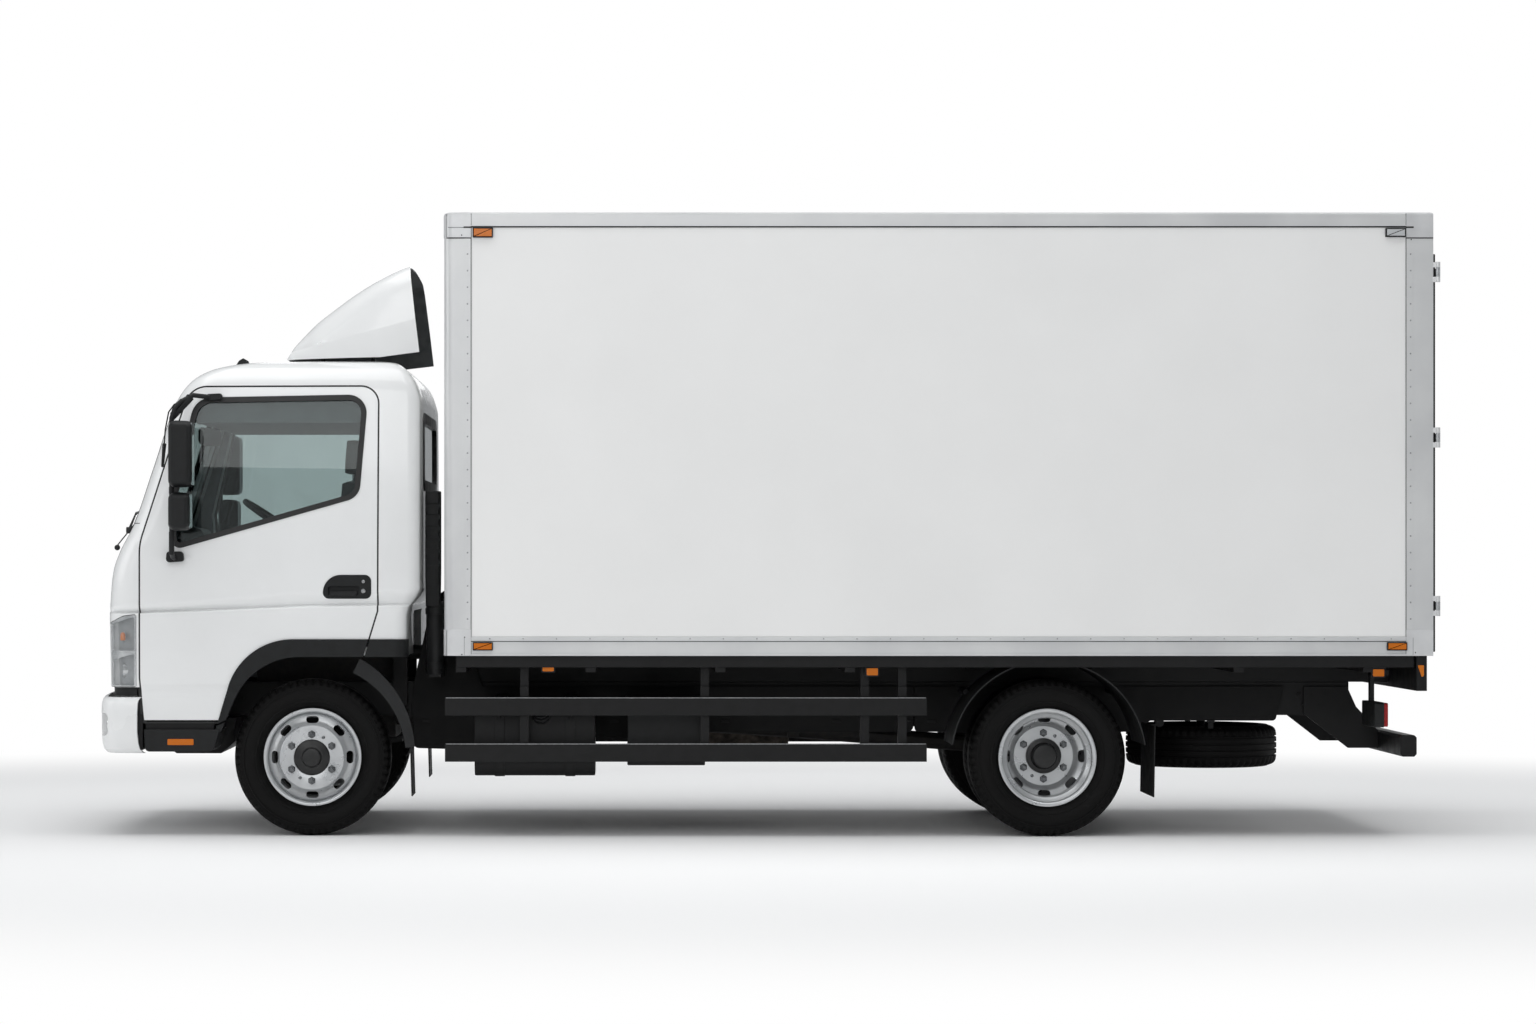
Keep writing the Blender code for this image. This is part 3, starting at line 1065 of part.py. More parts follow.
def build_spare():
    """The spare lies flat under the tail, its disc hung from a beam between the rails."""
    centre = (SPARE_X, 0, 0.395)
    tyre = bmesh.new()
    section = [(RIM_RADIUS - 0.02, RIM_WIDTH / 2)] + tyre_profile(16)[2:-2] + [(RIM_RADIUS - 0.02, -RIM_WIDTH / 2)]
    add_lathe(tyre, section, centre, 16, "Z")
    spare = keep("spare_wheel", tyre, RUBBER)
    rest = bmesh.new()
    add_tube(rest, (SPARE_X, 0, 0.42), (SPARE_X, 0, 0.436), RIM_RADIUS - 0.006, 16)
    add_tube(rest, (SPARE_X, 0, 0.43), (SPARE_X, 0, 0.640), 0.022, 8)
    add_box(rest, (SPARE_X - 0.03, -RAIL_OUTER_Y + RAIL_WEB + FIT, 0.60),
            (SPARE_X + 0.03, RAIL_OUTER_Y - RAIL_WEB - FIT, 0.655))
    join(spare, rest)


BUMPER_SKIN = 0.02


def bumper_plan(inset):
    """The bumper's outline from above: bowed front, round corners, straight ends."""
    corner = 0.11 - inset * 0.5
    front, half = -1.018 + inset, 0.990 - inset
    flank = half - corner
    side = [(front - 0.06 * (1 - t * t), flank * t) for t in (0.0, 0.35, 0.7)]
    for k in range(5):
        a = math.pi - math.radians(90) * k / 4
        side.append((front + corner + corner * math.cos(a), flank + corner * math.sin(a)))
    side.append((-0.835 + inset, half))
    return [(x, -y) for x, y in side[:0:-1]] + side


def build_bumper():
    """Moulded skin, open at the top and back, on two arms from the rails' ends."""
    low, high = 0.398, 0.667
    rows = ((low, 0.030), (low + 0.06, 0.004), (low + 0.16, 0.0), (high - 0.03, 0.002), (high, 0.012))
    bm = bmesh.new()
    add_loft(bm, [[Vector((x, y, z)) for x, y in bumper_plan(inset)] for z, inset in rows])
    bumper = keep("bumper", bm, WHITE_PAINT)
    hollow = bmesh.new()
    add_prism(hollow, bumper_plan(BUMPER_SKIN + 0.014), "xy", low + 0.02, high + 0.3)
    openings = bmesh.new()
    add_box(openings, (-0.96, -0.93, low - 0.1), (-0.70, 0.93, high + 0.1))
    add_box(openings, (-1.30, -0.42, 0.455), (-1.03, 0.42, 0.505))
    for side in (-1, 1):
        add_side_box(openings, side, (-1.20, -1.000), (0.77, 0.93), (0.480, 0.590))
    cut(bumper, keep("cut_bumper_in", hollow), keep("cut_bumper_open", openings))
    rest = bmesh.new()
    for side in (-1, 1):
        add_side_box(rest, side, (-1.058, RAIL_FRONT_X - FIT), (0.325, 0.375), (0.515, 0.585))
        add_side_box(rest, side, (-0.992, -0.940), (0.765, 0.935), (0.475, 0.595))
    join(bumper, rest)


def build_steps():
    """Black step boxes under the doors, each with a tread and an arm to the frame."""
    outline = rounded(((-0.800, 0.405, 0.02), (-0.470, 0.405, 0.03), (-0.440, 0.512, 0.0), (-0.806, 0.512, 0.0)), 2)
    for word, side in SIDES:
        step = prism("entry_step_" + word, outline, "xz", side * 0.66, side * 0.965, BLACK_PLASTIC)
        room = bmesh.new()
        add_side_box(room, side, (-0.765, -0.49), (0.70, 0.93), (0.430, 0.60))
        cut(step, keep("cut_step_" + word, room))
        rest = bmesh.new()
        add_side_box(rest, side, (-0.72, -0.67), (RAIL_OUTER_Y + FIT, 0.69), (0.440, 0.500))
        add_side_box(rest, side, (-0.72, -0.67), (RAIL_OUTER_Y + FIT, RAIL_OUTER_Y + 0.035), (0.440, 0.640))
        join(step, rest)


def arc_band(centre_x, centre_z, radius, thick, start_deg, end_deg, steps):
    """Outline of a curved strip, from one angle to another about a wheel's centre."""
    angles = [math.radians(start_deg + (end_deg - start_deg) * k / steps) for k in range(steps + 1)]
    inner = [(centre_x + radius * math.cos(a), centre_z + radius * math.sin(a)) for a in angles]
    outer = [(centre_x + (radius + thick) * math.cos(a), centre_z + (radius + thick) * math.sin(a)) for a in angles[::-1]]
    return inner + outer


GUARD_ROWS = (
    # place, station, inner y, outer y, radius, lip, start and end angle, steps, arm angles, flap's foot
    ("front", 0.0, 0.68, 0.955, 0.452, 0.066, 6.0, 64.0, 5, (26.0,), 0.190),
    ("rear", WHEELBASE, 0.54, 1.035, 0.462, 0.066, 8.0, 172.0, 11, (40.0, 140.0), 0.190),
)


def build_mudguards():
    """Arched guards with an outer lip, an arm to the rail and a hanging flap."""
    for place, station, inner, outer, radius, lip, start, end, count, arms, flap in GUARD_ROWS:
        for word, side in SIDES:
            guard = prism("mudguard_%s_%s" % (place, word),
                          arc_band(station, GUARD_CENTRE_Z, radius, 0.008, start, end, count),
                          "xz", side * inner, side * outer, BLACK_PLASTIC)
            rest = bmesh.new()
            add_prism(rest, arc_band(station, GUARD_CENTRE_Z, radius + 0.002, lip, start, end, count),
                      "xz", side * (outer - 0.010), side * outer)
            for at in arms:
                a = math.radians(at)
                x = station + (radius + 0.006) * math.cos(a)
                z = GUARD_CENTRE_Z + (radius + 0.006) * math.sin(a)
                add_tube(rest, (x, side * (RAIL_OUTER_Y + FIT), z), (x, side * (inner + 0.06), z), 0.016, 8)
            x = station + radius * math.cos(math.radians(start))
            add_side_box(rest, side, (x + 0.0005, x + 0.0075), (inner + 0.005, outer - 0.012), (flap, GUARD_CENTRE_Z + 0.075))
            join(guard, rest)
            if place == "rear":
                cut(guard, box("cut_guard_top_" + word, (station - 0.6, -1.2, BODY_BOTTOM_Z - 0.004),
                               (station + 0.6, 1.2, 1.2)))


GUARD_POST_X = (1.022, 1.886, 2.652, 2.832)


def build_side_guards():
    """Two boards along each side between the axles, on posts under the body."""
    out = GUARD_OUT_Y
    for word, side in SIDES:
        bm = bmesh.new()
        add_side_box(bm, side, (0.643, 2.947), (out - 0.030, out), (0.360, 0.446))
        guard = keep("side_guard_" + word, bm, CHASSIS_PAINT)
        rest = bmesh.new()
        add_side_box(rest, side, (0.643, 2.947), (out - 0.030, out), (0.581, 0.667))
        for x in GUARD_POST_X:
            add_side_box(rest, side, (x - 0.021, x + 0.021), (out - 0.075, out - 0.028), (0.375, 0.720))
            add_side_box(rest, side, (x - 0.020, x + 0.020), (out - 0.070, out - 0.040), (0.700, BODY_BOTTOM_Z - FIT))
        join(guard, rest)


def build_rear_end():
    """Underrun bar on two drop plates, and a lamp on each side hung from the rear beam."""
    bar = prism("underrun_bar", rounded(((5.227, 0.380, 0.012), (5.306, 0.380, 0.012), (5.306, 0.484, 0.012),
                                         (5.227, 0.484, 0.012)), 1), "xz", 0.15 - BODY_HALF, BODY_HALF - 0.15,
                CHASSIS_PAINT)
    rest = bmesh.new()
    plate = ((4.86, 0.70), (4.86, 0.565), (5.08, 0.395), (5.24, 0.395), (5.24, 0.470), (5.12, 0.600), (5.075, 0.70))
    for side in (-1, 1):
        add_prism(rest, plate, "xz", side * (RAIL_OUTER_Y + FIT), side * (RAIL_OUTER_Y + 0.012))
    join(bar, rest)
    for word, side in SIDES:
        bm = bmesh.new()
        add_side_box(bm, side, (5.105, 5.172), (0.62, 0.94), (0.520, 0.640))
        lamp = keep("rear_lamp_" + word, bm, RED_LENS)
        rest = bmesh.new()
        add_side_box(rest, side, (5.112, 5.132), (0.74, 0.80), (0.60, 0.80))
        add_side_box(rest, side, (5.112, BODY_REAR_X - 0.075 - FIT), (0.741, 0.799), (0.765, 0.797))
        join(lamp, rest)


def main():
    global TRUCK
    start_clean()
    TRUCK = bpy.data.objects.new("truck", None)
    bpy.context.scene.collection.objects.link(TRUCK)
    TRUCK.location = (-(NOSE_X + TAIL_X) / 2, 0, 0)
    cab = pivot("cab_pivot", (PIVOT_X, 0, PIVOT_Z))
    cutters = cab_cutters()
    build_cab(cutters, cab)
    build_cab_doors(cutters, cab)
    build_cab_inside(cab)
    build_steering_wheel(cab)
    build_fairing(cab)
    build_frame()
    build_bearers()
    build_body()
    build_rear_doors()
    knuckles = build_knuckles()
    build_wheels(knuckles)
    build_front_axle()
    build_rear_axle()
    build_driveline()
    build_tanks()
    build_intake()
    build_spare()
    build_bumper()
    build_steps()
    build_mudguards()
    build_side_guards()
    build_rear_end()


main()
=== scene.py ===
"""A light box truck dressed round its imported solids: enamel, aluminium, rubber, glass and lamps.

Lengths are metres. x counts from the front axle back, y from the truck's middle to its right side,
z from the ground up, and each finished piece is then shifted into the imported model's frame.
"""
import json
import math

import bmesh
import bpy
from mathutils import Matrix, Vector

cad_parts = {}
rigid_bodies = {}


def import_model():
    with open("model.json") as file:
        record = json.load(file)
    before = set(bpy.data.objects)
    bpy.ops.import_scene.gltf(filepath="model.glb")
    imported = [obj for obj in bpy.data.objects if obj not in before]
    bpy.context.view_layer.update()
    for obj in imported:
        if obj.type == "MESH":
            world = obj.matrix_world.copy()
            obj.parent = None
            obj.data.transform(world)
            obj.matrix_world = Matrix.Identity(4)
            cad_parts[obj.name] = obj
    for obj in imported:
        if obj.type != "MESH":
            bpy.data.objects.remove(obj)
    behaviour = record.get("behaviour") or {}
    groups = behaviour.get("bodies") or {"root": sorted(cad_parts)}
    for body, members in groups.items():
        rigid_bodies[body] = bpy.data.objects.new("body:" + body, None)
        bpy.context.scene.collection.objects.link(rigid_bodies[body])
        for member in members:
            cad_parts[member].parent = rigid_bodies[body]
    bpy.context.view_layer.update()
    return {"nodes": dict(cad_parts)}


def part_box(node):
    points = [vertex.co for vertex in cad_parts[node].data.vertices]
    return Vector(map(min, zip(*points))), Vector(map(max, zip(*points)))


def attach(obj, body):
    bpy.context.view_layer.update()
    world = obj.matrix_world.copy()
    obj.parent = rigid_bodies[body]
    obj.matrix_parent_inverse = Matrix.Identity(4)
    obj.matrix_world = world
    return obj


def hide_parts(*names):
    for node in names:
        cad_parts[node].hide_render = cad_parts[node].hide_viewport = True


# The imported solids, their bounds, and the front axle, from which every station is counted.
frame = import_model()
tyre_low, tyre_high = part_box("tyre_front_left")
AXLE_X = (tyre_low.x + tyre_high.x) / 2
WHEELBASE = 3.53
SIDES = (("left", -1), ("right", 1))


# The studio: a pale floor that keeps the truck's shadow and fades to white, a white surround, and
# large soft lamps overhead and on all sides, at about the level that shows a colour as written.
CAMERA = (1.512, -19.45, 1.334)
LENS = 90.3
SHIFT = (0.092, 0.030)
SHADOW_REACH = (4.6, 8.0)   # the floor is a real surface up to the first, plain white past the second


def linear(hex_colour):
    """An sRGB hex colour as the linear RGBA that the shaders take."""
    parts = [int(hex_colour[i:i + 2], 16) / 255 for i in (1, 3, 5)]
    return [c / 12.92 if c <= 0.04045 else ((c + 0.055) / 1.055) ** 2.4 for c in parts] + [1.0]


def add_node(tree, kind, inputs=None, **settings):
    """A shader node with its settings; an input is a value, or an output to link to it."""
    made = tree.nodes.new("ShaderNode" + kind)
    for name, value in settings.items():
        setattr(made, name, value)
    for name, value in (inputs or {}).items():
        if isinstance(value, bpy.types.NodeSocket):
            tree.links.new(value, made.inputs[name])
        else:
            made.inputs[name].default_value = value
    return made


def blank_tree(owner):
    owner.use_nodes = True
    owner.node_tree.nodes.clear()
    return owner.node_tree


world = bpy.data.worlds.new("surround")
bpy.context.scene.world = world
tree = blank_tree(world)
rays = add_node(tree, "LightPath")
clear = add_node(tree, "Math", {0: rays.outputs["Is Camera Ray"], 1: rays.outputs["Is Transmission Ray"]},
                 operation="MAXIMUM")
around = add_node(tree, "Background", {"Color": linear("#F2F5F8"), "Strength": 0.34})
behind = add_node(tree, "Background", {"Color": linear("#FFFFFF"), "Strength": 1.0})
both = add_node(tree, "MixShader", {0: clear.outputs[0], 1: around.outputs[0], 2: behind.outputs[0]})
add_node(tree, "OutputWorld", {"Surface": both.outputs[0]})

slab = bmesh.new()
bmesh.ops.create_grid(slab, x_segments=1, y_segments=1, size=70)
floor = bpy.data.objects.new("floor", bpy.data.meshes.new("floor"))
slab.to_mesh(floor.data)
bpy.context.scene.collection.objects.link(floor)
floor.location.z = -0.001
pale_floor = bpy.data.materials.new("pale_floor")
tree = blank_tree(pale_floor)
spot = add_node(tree, "NewGeometry").outputs["Position"]
spread = add_node(tree, "VectorMath", {0: spot, 1: (0.8, 1.0, 1.0)}, operation="MULTIPLY")
away = add_node(tree, "VectorMath", {0: spread.outputs[0]}, operation="LENGTH")
fade = add_node(tree, "MapRange", {"Value": away.outputs["Value"], "From Min": SHADOW_REACH[0],
                                   "From Max": SHADOW_REACH[1]}, interpolation_type="SMOOTHSTEP")
near = add_node(tree, "BsdfDiffuse", {"Color": linear("#FCFCFC")})
white = add_node(tree, "Emission", {"Color": linear("#FFFFFF"), "Strength": 1.0})
rays = add_node(tree, "LightPath")
seen = add_node(tree, "Math", {0: rays.outputs["Is Camera Ray"], 1: rays.outputs["Is Transmission Ray"]},
                operation="MAXIMUM")
shown = add_node(tree, "Math", {0: seen.outputs[0], 1: fade.outputs[0]}, operation="MULTIPLY")
both = add_node(tree, "MixShader", {0: shown.outputs[0], 1: near.outputs[0], 2: white.outputs[0]})
add_node(tree, "OutputMaterial", {"Surface": both.outputs[0]})
floor.data.materials.append(pale_floor)

for name, spot, aim, wide, deep, power in (
        ("overhead", (0.0, -1.0, 9.0), (0.0, 0.0, 0.0), 13.0, 8.0, 600),
        ("camera_side", (-4.0, -13.0, 6.0), (0.0, 0.0, 1.0), 12.0, 6.0, 375),
        ("far_side", (2.0, 13.0, 6.0), (0.0, 0.0, 1.2), 12.0, 6.0, 250),
        ("nose", (-13.0, -3.0, 4.5), (0.0, 0.0, 1.2), 7.0, 5.0, 170),
        ("tail", (13.0, 0.0, 4.5), (0.0, 0.0, 1.2), 7.0, 5.0, 160)):
    lamp = bpy.data.lights.new(name, "AREA")
    lamp.shape, lamp.size, lamp.size_y, lamp.energy = "RECTANGLE", wide, deep, power
    holder = bpy.data.objects.new("lamp_" + name, lamp)
    holder.location = spot
    holder.rotation_euler = (Vector(aim) - Vector(spot)).to_track_quat("-Z", "Y").to_euler()
    bpy.context.scene.collection.objects.link(holder)

camera_data = bpy.data.cameras.new("camera")
camera_data.lens, camera_data.shift_x, camera_data.shift_y = LENS, *SHIFT
camera_data.clip_end = 200
camera = bpy.data.objects.new("camera", camera_data)
camera.location = Vector(CAMERA) + Vector((AXLE_X, 0, 0))
camera.rotation_euler = (math.radians(90), 0, 0)
bpy.context.scene.collection.objects.link(camera)
bpy.context.scene.camera = camera
bpy.context.scene.view_settings.view_transform = "Standard"


# The chassis: rails, crossmembers, bearers, springs, axles, steering and underrun bar, pressed or
# forged steel, welded and riveted, in satin black chassis paint that is sprayed on thick. Road dust
# greys it in patches. Bolts and rivets under the same paint run along the rails' webs.
BOLT_RADIUS = 0.010
RAIL_WEB_Y = 0.380
RAIL_BOLTS = (
    # station, height of the row, count, pitch
    (0.95, 0.600, 12, 0.17), (0.95, 0.680, 12, 0.17), (4.12, 0.600, 4, 0.15), (4.12, 0.682, 3, 0.19),
    (4.86, 0.610, 2, 0.075), (4.84, 0.660, 3, 0.06), (-0.55, 0.640, 5, 0.16),
)


def mottled(name, dark, light, patch_mm, rough, grain_mm=3.0, relief_mm=0.1, **more):
    """A surface whose colour and gloss drift in patches, with a fine grain in relief."""
    made = bpy.data.materials.new(name)
    tree = blank_tree(made)
    place = add_node(tree, "TexCoord").outputs["Object"]
    drift = add_node(tree, "TexNoise", {"Vector": place, "Scale": 1000 / patch_mm, "Detail": 5.0})
    stain = add_node(tree, "MapRange", {"Value": drift.outputs["Fac"], "From Min": 0.34, "From Max": 0.66})
    colour = add_node(tree, "Mix", {"Factor": stain.outputs["Result"], 6: linear(dark), 7: linear(light)},
                      data_type="RGBA")
    gloss = add_node(tree, "MapRange", {"Value": drift.outputs["Fac"], "From Min": 0.3, "From Max": 0.7,
                                        "To Min": rough * 0.85, "To Max": min(1.0, rough * 1.15)})
    grain = add_node(tree, "TexNoise", {"Vector": place, "Scale": 1000 / grain_mm, "Detail": 3.0})
    relief = add_node(tree, "Bump", {"Height": grain.outputs["Fac"], "Strength": 0.5,
                                     "Distance": relief_mm / 1000})
    shader = add_node(tree, "BsdfPrincipled", {
        "Base Color": colour.outputs[2], "Roughness": gloss.outputs["Result"],
        "Normal": relief.outputs["Normal"], **more})
    add_node(tree, "OutputMaterial", {"Surface": shader.outputs[0]})
    return made


def soften(piece, edge_mm, angle=35):
    """Rounds a piece's hard edges and keeps its flats flat to the eye."""
    rounding = piece.modifiers.new("edges", "BEVEL")
    rounding.width, rounding.segments = edge_mm / 1000, 2
    rounding.limit_method, rounding.angle_limit = "ANGLE", math.radians(angle)
    weighted = piece.modifiers.new("flats", "WEIGHTED_NORMAL")
    weighted.weight, weighted.keep_sharp = 80, True


def dress_solid(name, material, edge_mm=2.0):
    """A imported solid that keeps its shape: welded, its edges rounded, in its real finish."""
    solid = frame["nodes"][name]
    for patch in solid.material_slots:
        patch.material = material
    if "custom_normal" in solid.data.attributes:
        solid.data.attributes.remove(solid.data.attributes["custom_normal"])
    solid.data.shade_smooth()
    weld = solid.modifiers.new("weld", "WELD")
    weld.merge_threshold = 0.00002
    soften(solid, edge_mm)
    return solid


def add_box(bm, low, high):
    corners = [Vector((x, y, z)) for x in (low[0], high[0]) for y in (low[1], high[1])
               for z in (low[2], high[2])]
    verts = [bm.verts.new(c) for c in corners]
    for quad in ((0, 1, 3, 2), (4, 6, 7, 5), (0, 4, 5, 1), (2, 3, 7, 6), (0, 2, 6, 4), (1, 5, 7, 3)):
        bm.faces.new([verts[i] for i in quad])


def add_side_box(bm, side, x, y, z):
    """A box on one side of the truck; x, y and z are (from, to), y counted outwards."""
    near, far = sorted((side * y[0], side * y[1]))
    add_box(bm, (x[0], near, z[0]), (x[1], far, z[1]))


def add_tube(bm, start, end, radius, steps=20, end_radius=None):
    start, end = Vector(start), Vector(end)
    along = end - start
    turn = along.to_track_quat("Z", "Y").to_matrix().to_4x4()
    bmesh.ops.create_cone(
        bm, cap_ends=True, segments=steps, radius1=radius,
        radius2=radius if end_radius is None else end_radius, depth=along.length,
        matrix=Matrix.Translation((start + end) / 2) @ turn,
    )


def shape(name, bm):
    """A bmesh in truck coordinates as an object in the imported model's frame."""
    bmesh.ops.translate(bm, vec=(AXLE_X, 0, 0), verts=bm.verts)
    bmesh.ops.remove_doubles(bm, verts=bm.verts, dist=1e-6)
    bmesh.ops.recalc_face_normals(bm, faces=bm.faces)
    mesh = bpy.data.meshes.new(name)
    bm.to_mesh(mesh)
    bm.free()
    made = bpy.data.objects.new(name, mesh)
    bpy.context.scene.collection.objects.link(made)
    return made


def fit(piece, material, body, *replaced, edge_mm=0.0, smooth=35):
    """Gives a piece its finish and its body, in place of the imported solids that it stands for."""
    piece.data.materials.clear()
    piece.data.materials.append(material)
    piece.data.shade_smooth()
    piece.data.set_sharp_from_angle(angle=math.radians(smooth))
    if edge_mm:
        soften(piece, edge_mm)
    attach(piece, body)
    if replaced:
        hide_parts(*replaced)
    return piece


chassis_paint = mottled("satin_black_chassis_paint", "#09090A", "#131314", 60, 0.50, grain_mm=2.5,
                        relief_mm=0.12, **{"Specular IOR Level": 0.3})
for name in ("frame", "body_bearers", "front_axle", "rear_axle", "knuckle_left", "knuckle_right", "tie_rod",
             "underrun_bar"):
    dress_solid(name, chassis_paint)
bolts = bmesh.new()
for side in (-1, 1):
    for station, z, count, pitch in RAIL_BOLTS:
        for k in range(count):
            x, y = station + pitch * k, side * RAIL_WEB_Y
            add_tube(bolts, (x, y - side * 0.001, z), (x, y + side * 0.007, z), BOLT_RADIUS, 6)
            add_tube(bolts, (x, y, z), (x, y + side * 0.012, z), BOLT_RADIUS * 0.5, 12)
fit(shape("rail_bolts", bolts), chassis_paint, "chassis", edge_mm=0.8)


# The engine, gearbox and propeller shaft: iron and aluminium castings as they leave the sand, dull
# and grainy, with the brown bloom that heat gives. The exhaust is aluminised steel, browned too.
cast_iron = mottled("sand_cast_iron", "#222223", "#343230", 30, 0.62, grain_mm=1.4,
                    relief_mm=0.3, Metallic=0.4)
for name in ("engine", "gearbox_and_shaft"):
    dress_solid(name, cast_iron, 4.0)
hot_steel = mottled("aluminised_exhaust_steel", "#3E3A37", "#6D655D", 45, 0.5, grain_mm=2.0, relief_mm=0.05,
                    Metallic=0.85)
dress_solid("exhaust", hot_steel, 6.0)


# The fuel tank is folded steel in the chassis paint, held by two rubber-lined steel straps; the
# battery box and the air intake are moulded polypropylene with a fine eroded grain.
STRAP_STATIONS = (0.90, 1.24)


def rounded(corners, steps=6):
    """Outline from (a, b, fillet radius) corners, each fillet drawn as an arc."""
    outline = []
    for i, (a, b, radius) in enumerate(corners):
        here = Vector((a, b))
        before = Vector(corners[i - 1][:2]) - here
        after = Vector(corners[(i + 1) % len(corners)][:2]) - here
        if radius <= 0:
            outline.append((a, b))
            continue
        half = before.angle(after) / 2
        reach = radius / math.tan(half)
        centre = here + (before.normalized() + after.normalized()).normalized() * radius / math.sin(half)
        first = here + before.normalized() * reach - centre
        last = here + after.normalized() * reach - centre
        sweep = first.angle_signed(last)
        for k in range(steps + 1):
            spoke = first.copy()
            spoke.rotate(Matrix.Rotation(-sweep * k / steps, 2))
            outline.append(tuple(centre + spoke))
    return outline


def pad(a, b, radius, steps=6):
    """A rectangle with round corners; a and b are (from, to)."""
    return rounded(((a[0], b[0], radius), (a[1], b[0], radius), (a[1], b[1], radius), (a[0], b[1], radius)),
                   steps)


def grown(outline, distance):
    """Moves every edge of an outline outwards by a distance, inwards if it is negative."""
    area = sum(a[0] * b[1] - b[0] * a[1] for a, b in zip(outline, outline[1:] + outline[:1]))
    side = 1 if area > 0 else -1
    moved = []
    for i, here in enumerate(outline):
        p, q, r = Vector(outline[i - 1]), Vector(here), Vector(outline[(i + 1) % len(outline)])
        n1 = Vector(((q - p).y, -(q - p).x)).normalized() * side
        n2 = Vector(((r - q).y, -(r - q).x)).normalized() * side
        mitre = (n1 + n2) / (1 + n1.dot(n2))
        moved.append(tuple(q + mitre * distance))
    return moved


PLANES = {"xz": lambda a, b, c: (a, c, b), "xy": lambda a, b, c: (a, b, c), "yz": lambda a, b, c: (c, a, b)}


def add_prism(bm, outline, plane, start, end):
    """Extrudes a 2-D outline: plane "xz" goes along Y, "xy" along Z and "yz" along X."""
    place = PLANES[plane]
    first = [bm.verts.new(place(a, b, start)) for a, b in outline]
    last = [bm.verts.new(place(a, b, end)) for a, b in outline]
    bm.faces.new(first)
    bm.faces.new(last[::-1])
    for i in range(len(outline)):
        j = (i + 1) % len(outline)
        bm.faces.new((first[j], first[i], last[i], last[j]))


def add_band(bm, inner, outer, plane, start, end):
    """A closed band between two outlines with as many points, extruded."""
    place = PLANES[plane]
    loops = [[bm.verts.new(place(a, b, at)) for a, b in outline]
             for outline, at in ((inner, start), (outer, start), (outer, end), (inner, end))]
    for low, high in zip(loops, loops[1:] + loops[:1]):
        for i in range(len(inner)):
            j = (i + 1) % len(inner)
            bm.faces.new((low[i], low[j], high[j], high[i]))


dress_solid("fuel_tank", chassis_paint, 6.0)
moulded_black = mottled("moulded_black_polypropylene", "#0F1011", "#191A1B", 40, 0.5, grain_mm=1.5,
                        relief_mm=0.06, **{"Specular IOR Level": 0.35})
dress_solid("battery_box", moulded_black, 8.0)
dress_solid("air_intake", moulded_black, 5.0)
straps = bmesh.new()
tank = pad((-0.92, -0.50), (0.285, 0.640), 0.07)
for x in STRAP_STATIONS:
    add_band(straps, grown(tank, -0.002), grown(tank, 0.004), "yz", x - 0.024, x + 0.024)
    add_tube(straps, (x, -0.928, 0.56), (x, -0.928, 0.66), 0.007, 10)
fit(shape("tank_straps", straps), chassis_paint, "chassis", edge_mm=1.0)
cap = bmesh.new()
add_tube(cap, (1.10, -0.915, 0.575), (1.10, -0.945, 0.590), 0.045, 32)
add_tube(cap, (1.10, -0.940, 0.588), (1.10, -0.955, 0.596), 0.034, 32)
fit(shape("tank_cap", cap), moulded_black, "chassis", edge_mm=3.0)


# The tyres: carbon-black rubber, moulded, with raised rings on the walls, lugs at the shoulders and
# four grooves round the tread. New rubber is nearly black and dull; dust stays on the tread and walls.
TYRE_RADIUS = 0.3765
DUAL_MEAN_Y = 0.78
DUAL_SPACING = 0.233
FRONT_TRACK = 1.665
TREAD_GROOVES = (0.0155, 0.0455)
TREAD_STEPS = 180           # every third one is a notch between two shoulder lugs, 39 mm apart
WALL = (
    # radius, offset from the middle of the tyre, from the bead to the shoulder
    (0.228, 0.0660), (0.240, 0.0670), (0.246, 0.0715), (0.252, 0.0800), (0.260, 0.0885), (0.266, 0.0925),
    (0.268, 0.0950), (0.272, 0.0955), (0.274, 0.0945), (0.282, 0.0985), (0.294, 0.1015), (0.308, 0.1024),
    (0.320, 0.1016), (0.325, 0.1004), (0.3265, 0.1030), (0.3315, 0.1024), (0.333, 0.0990), (0.340, 0.0985),
    (0.3425, 0.0965), (0.345, 0.0970), (0.352, 0.0945),
)
SHOULDER = ((0.3600, 0.0905), (0.3655, 0.0855), (0.3700, 0.0790), (0.3725, 0.0720))


def add_lathe(bm, profile, centre, steps, axis="Y", notch=None):
    """Turns a closed profile of (radius, offset along the axis) rows; radius 0 is a pole."""
    centre = Vector(centre)
    along, across, up = {"X": ((1, 0, 0), (0, 1, 0), (0, 0, 1)), "Y": ((0, 1, 0), (1, 0, 0), (0, 0, 1)),
                         "Z": ((0, 0, 1), (1, 0, 0), (0, 1, 0))}[axis]
    along, across, up = Vector(along), Vector(across), Vector(up)
    poles = {i: bm.verts.new(centre + along * o) for i, (r, o) in enumerate(profile) if r == 0}
    rings = []
    for k in range(steps):
        c, s = math.cos(math.tau * (k + 0.5) / steps), math.sin(math.tau * (k + 0.5) / steps)
        spoke = across * c + up * s
        rows = [notch(k, r, o) for r, o in profile] if notch else profile
        rings.append([poles.get(i) or bm.verts.new(centre + spoke * r + along * o)
                      for i, (r, o) in enumerate(rows)])
    for k in range(steps):
        here, there = rings[k], rings[(k + 1) % steps]
        for i in range(len(profile)):
            j = (i + 1) % len(profile)
            corners = list(dict.fromkeys((here[i], here[j], there[j], there[i])))
            if len(corners) > 2:
                bm.faces.new(corners)


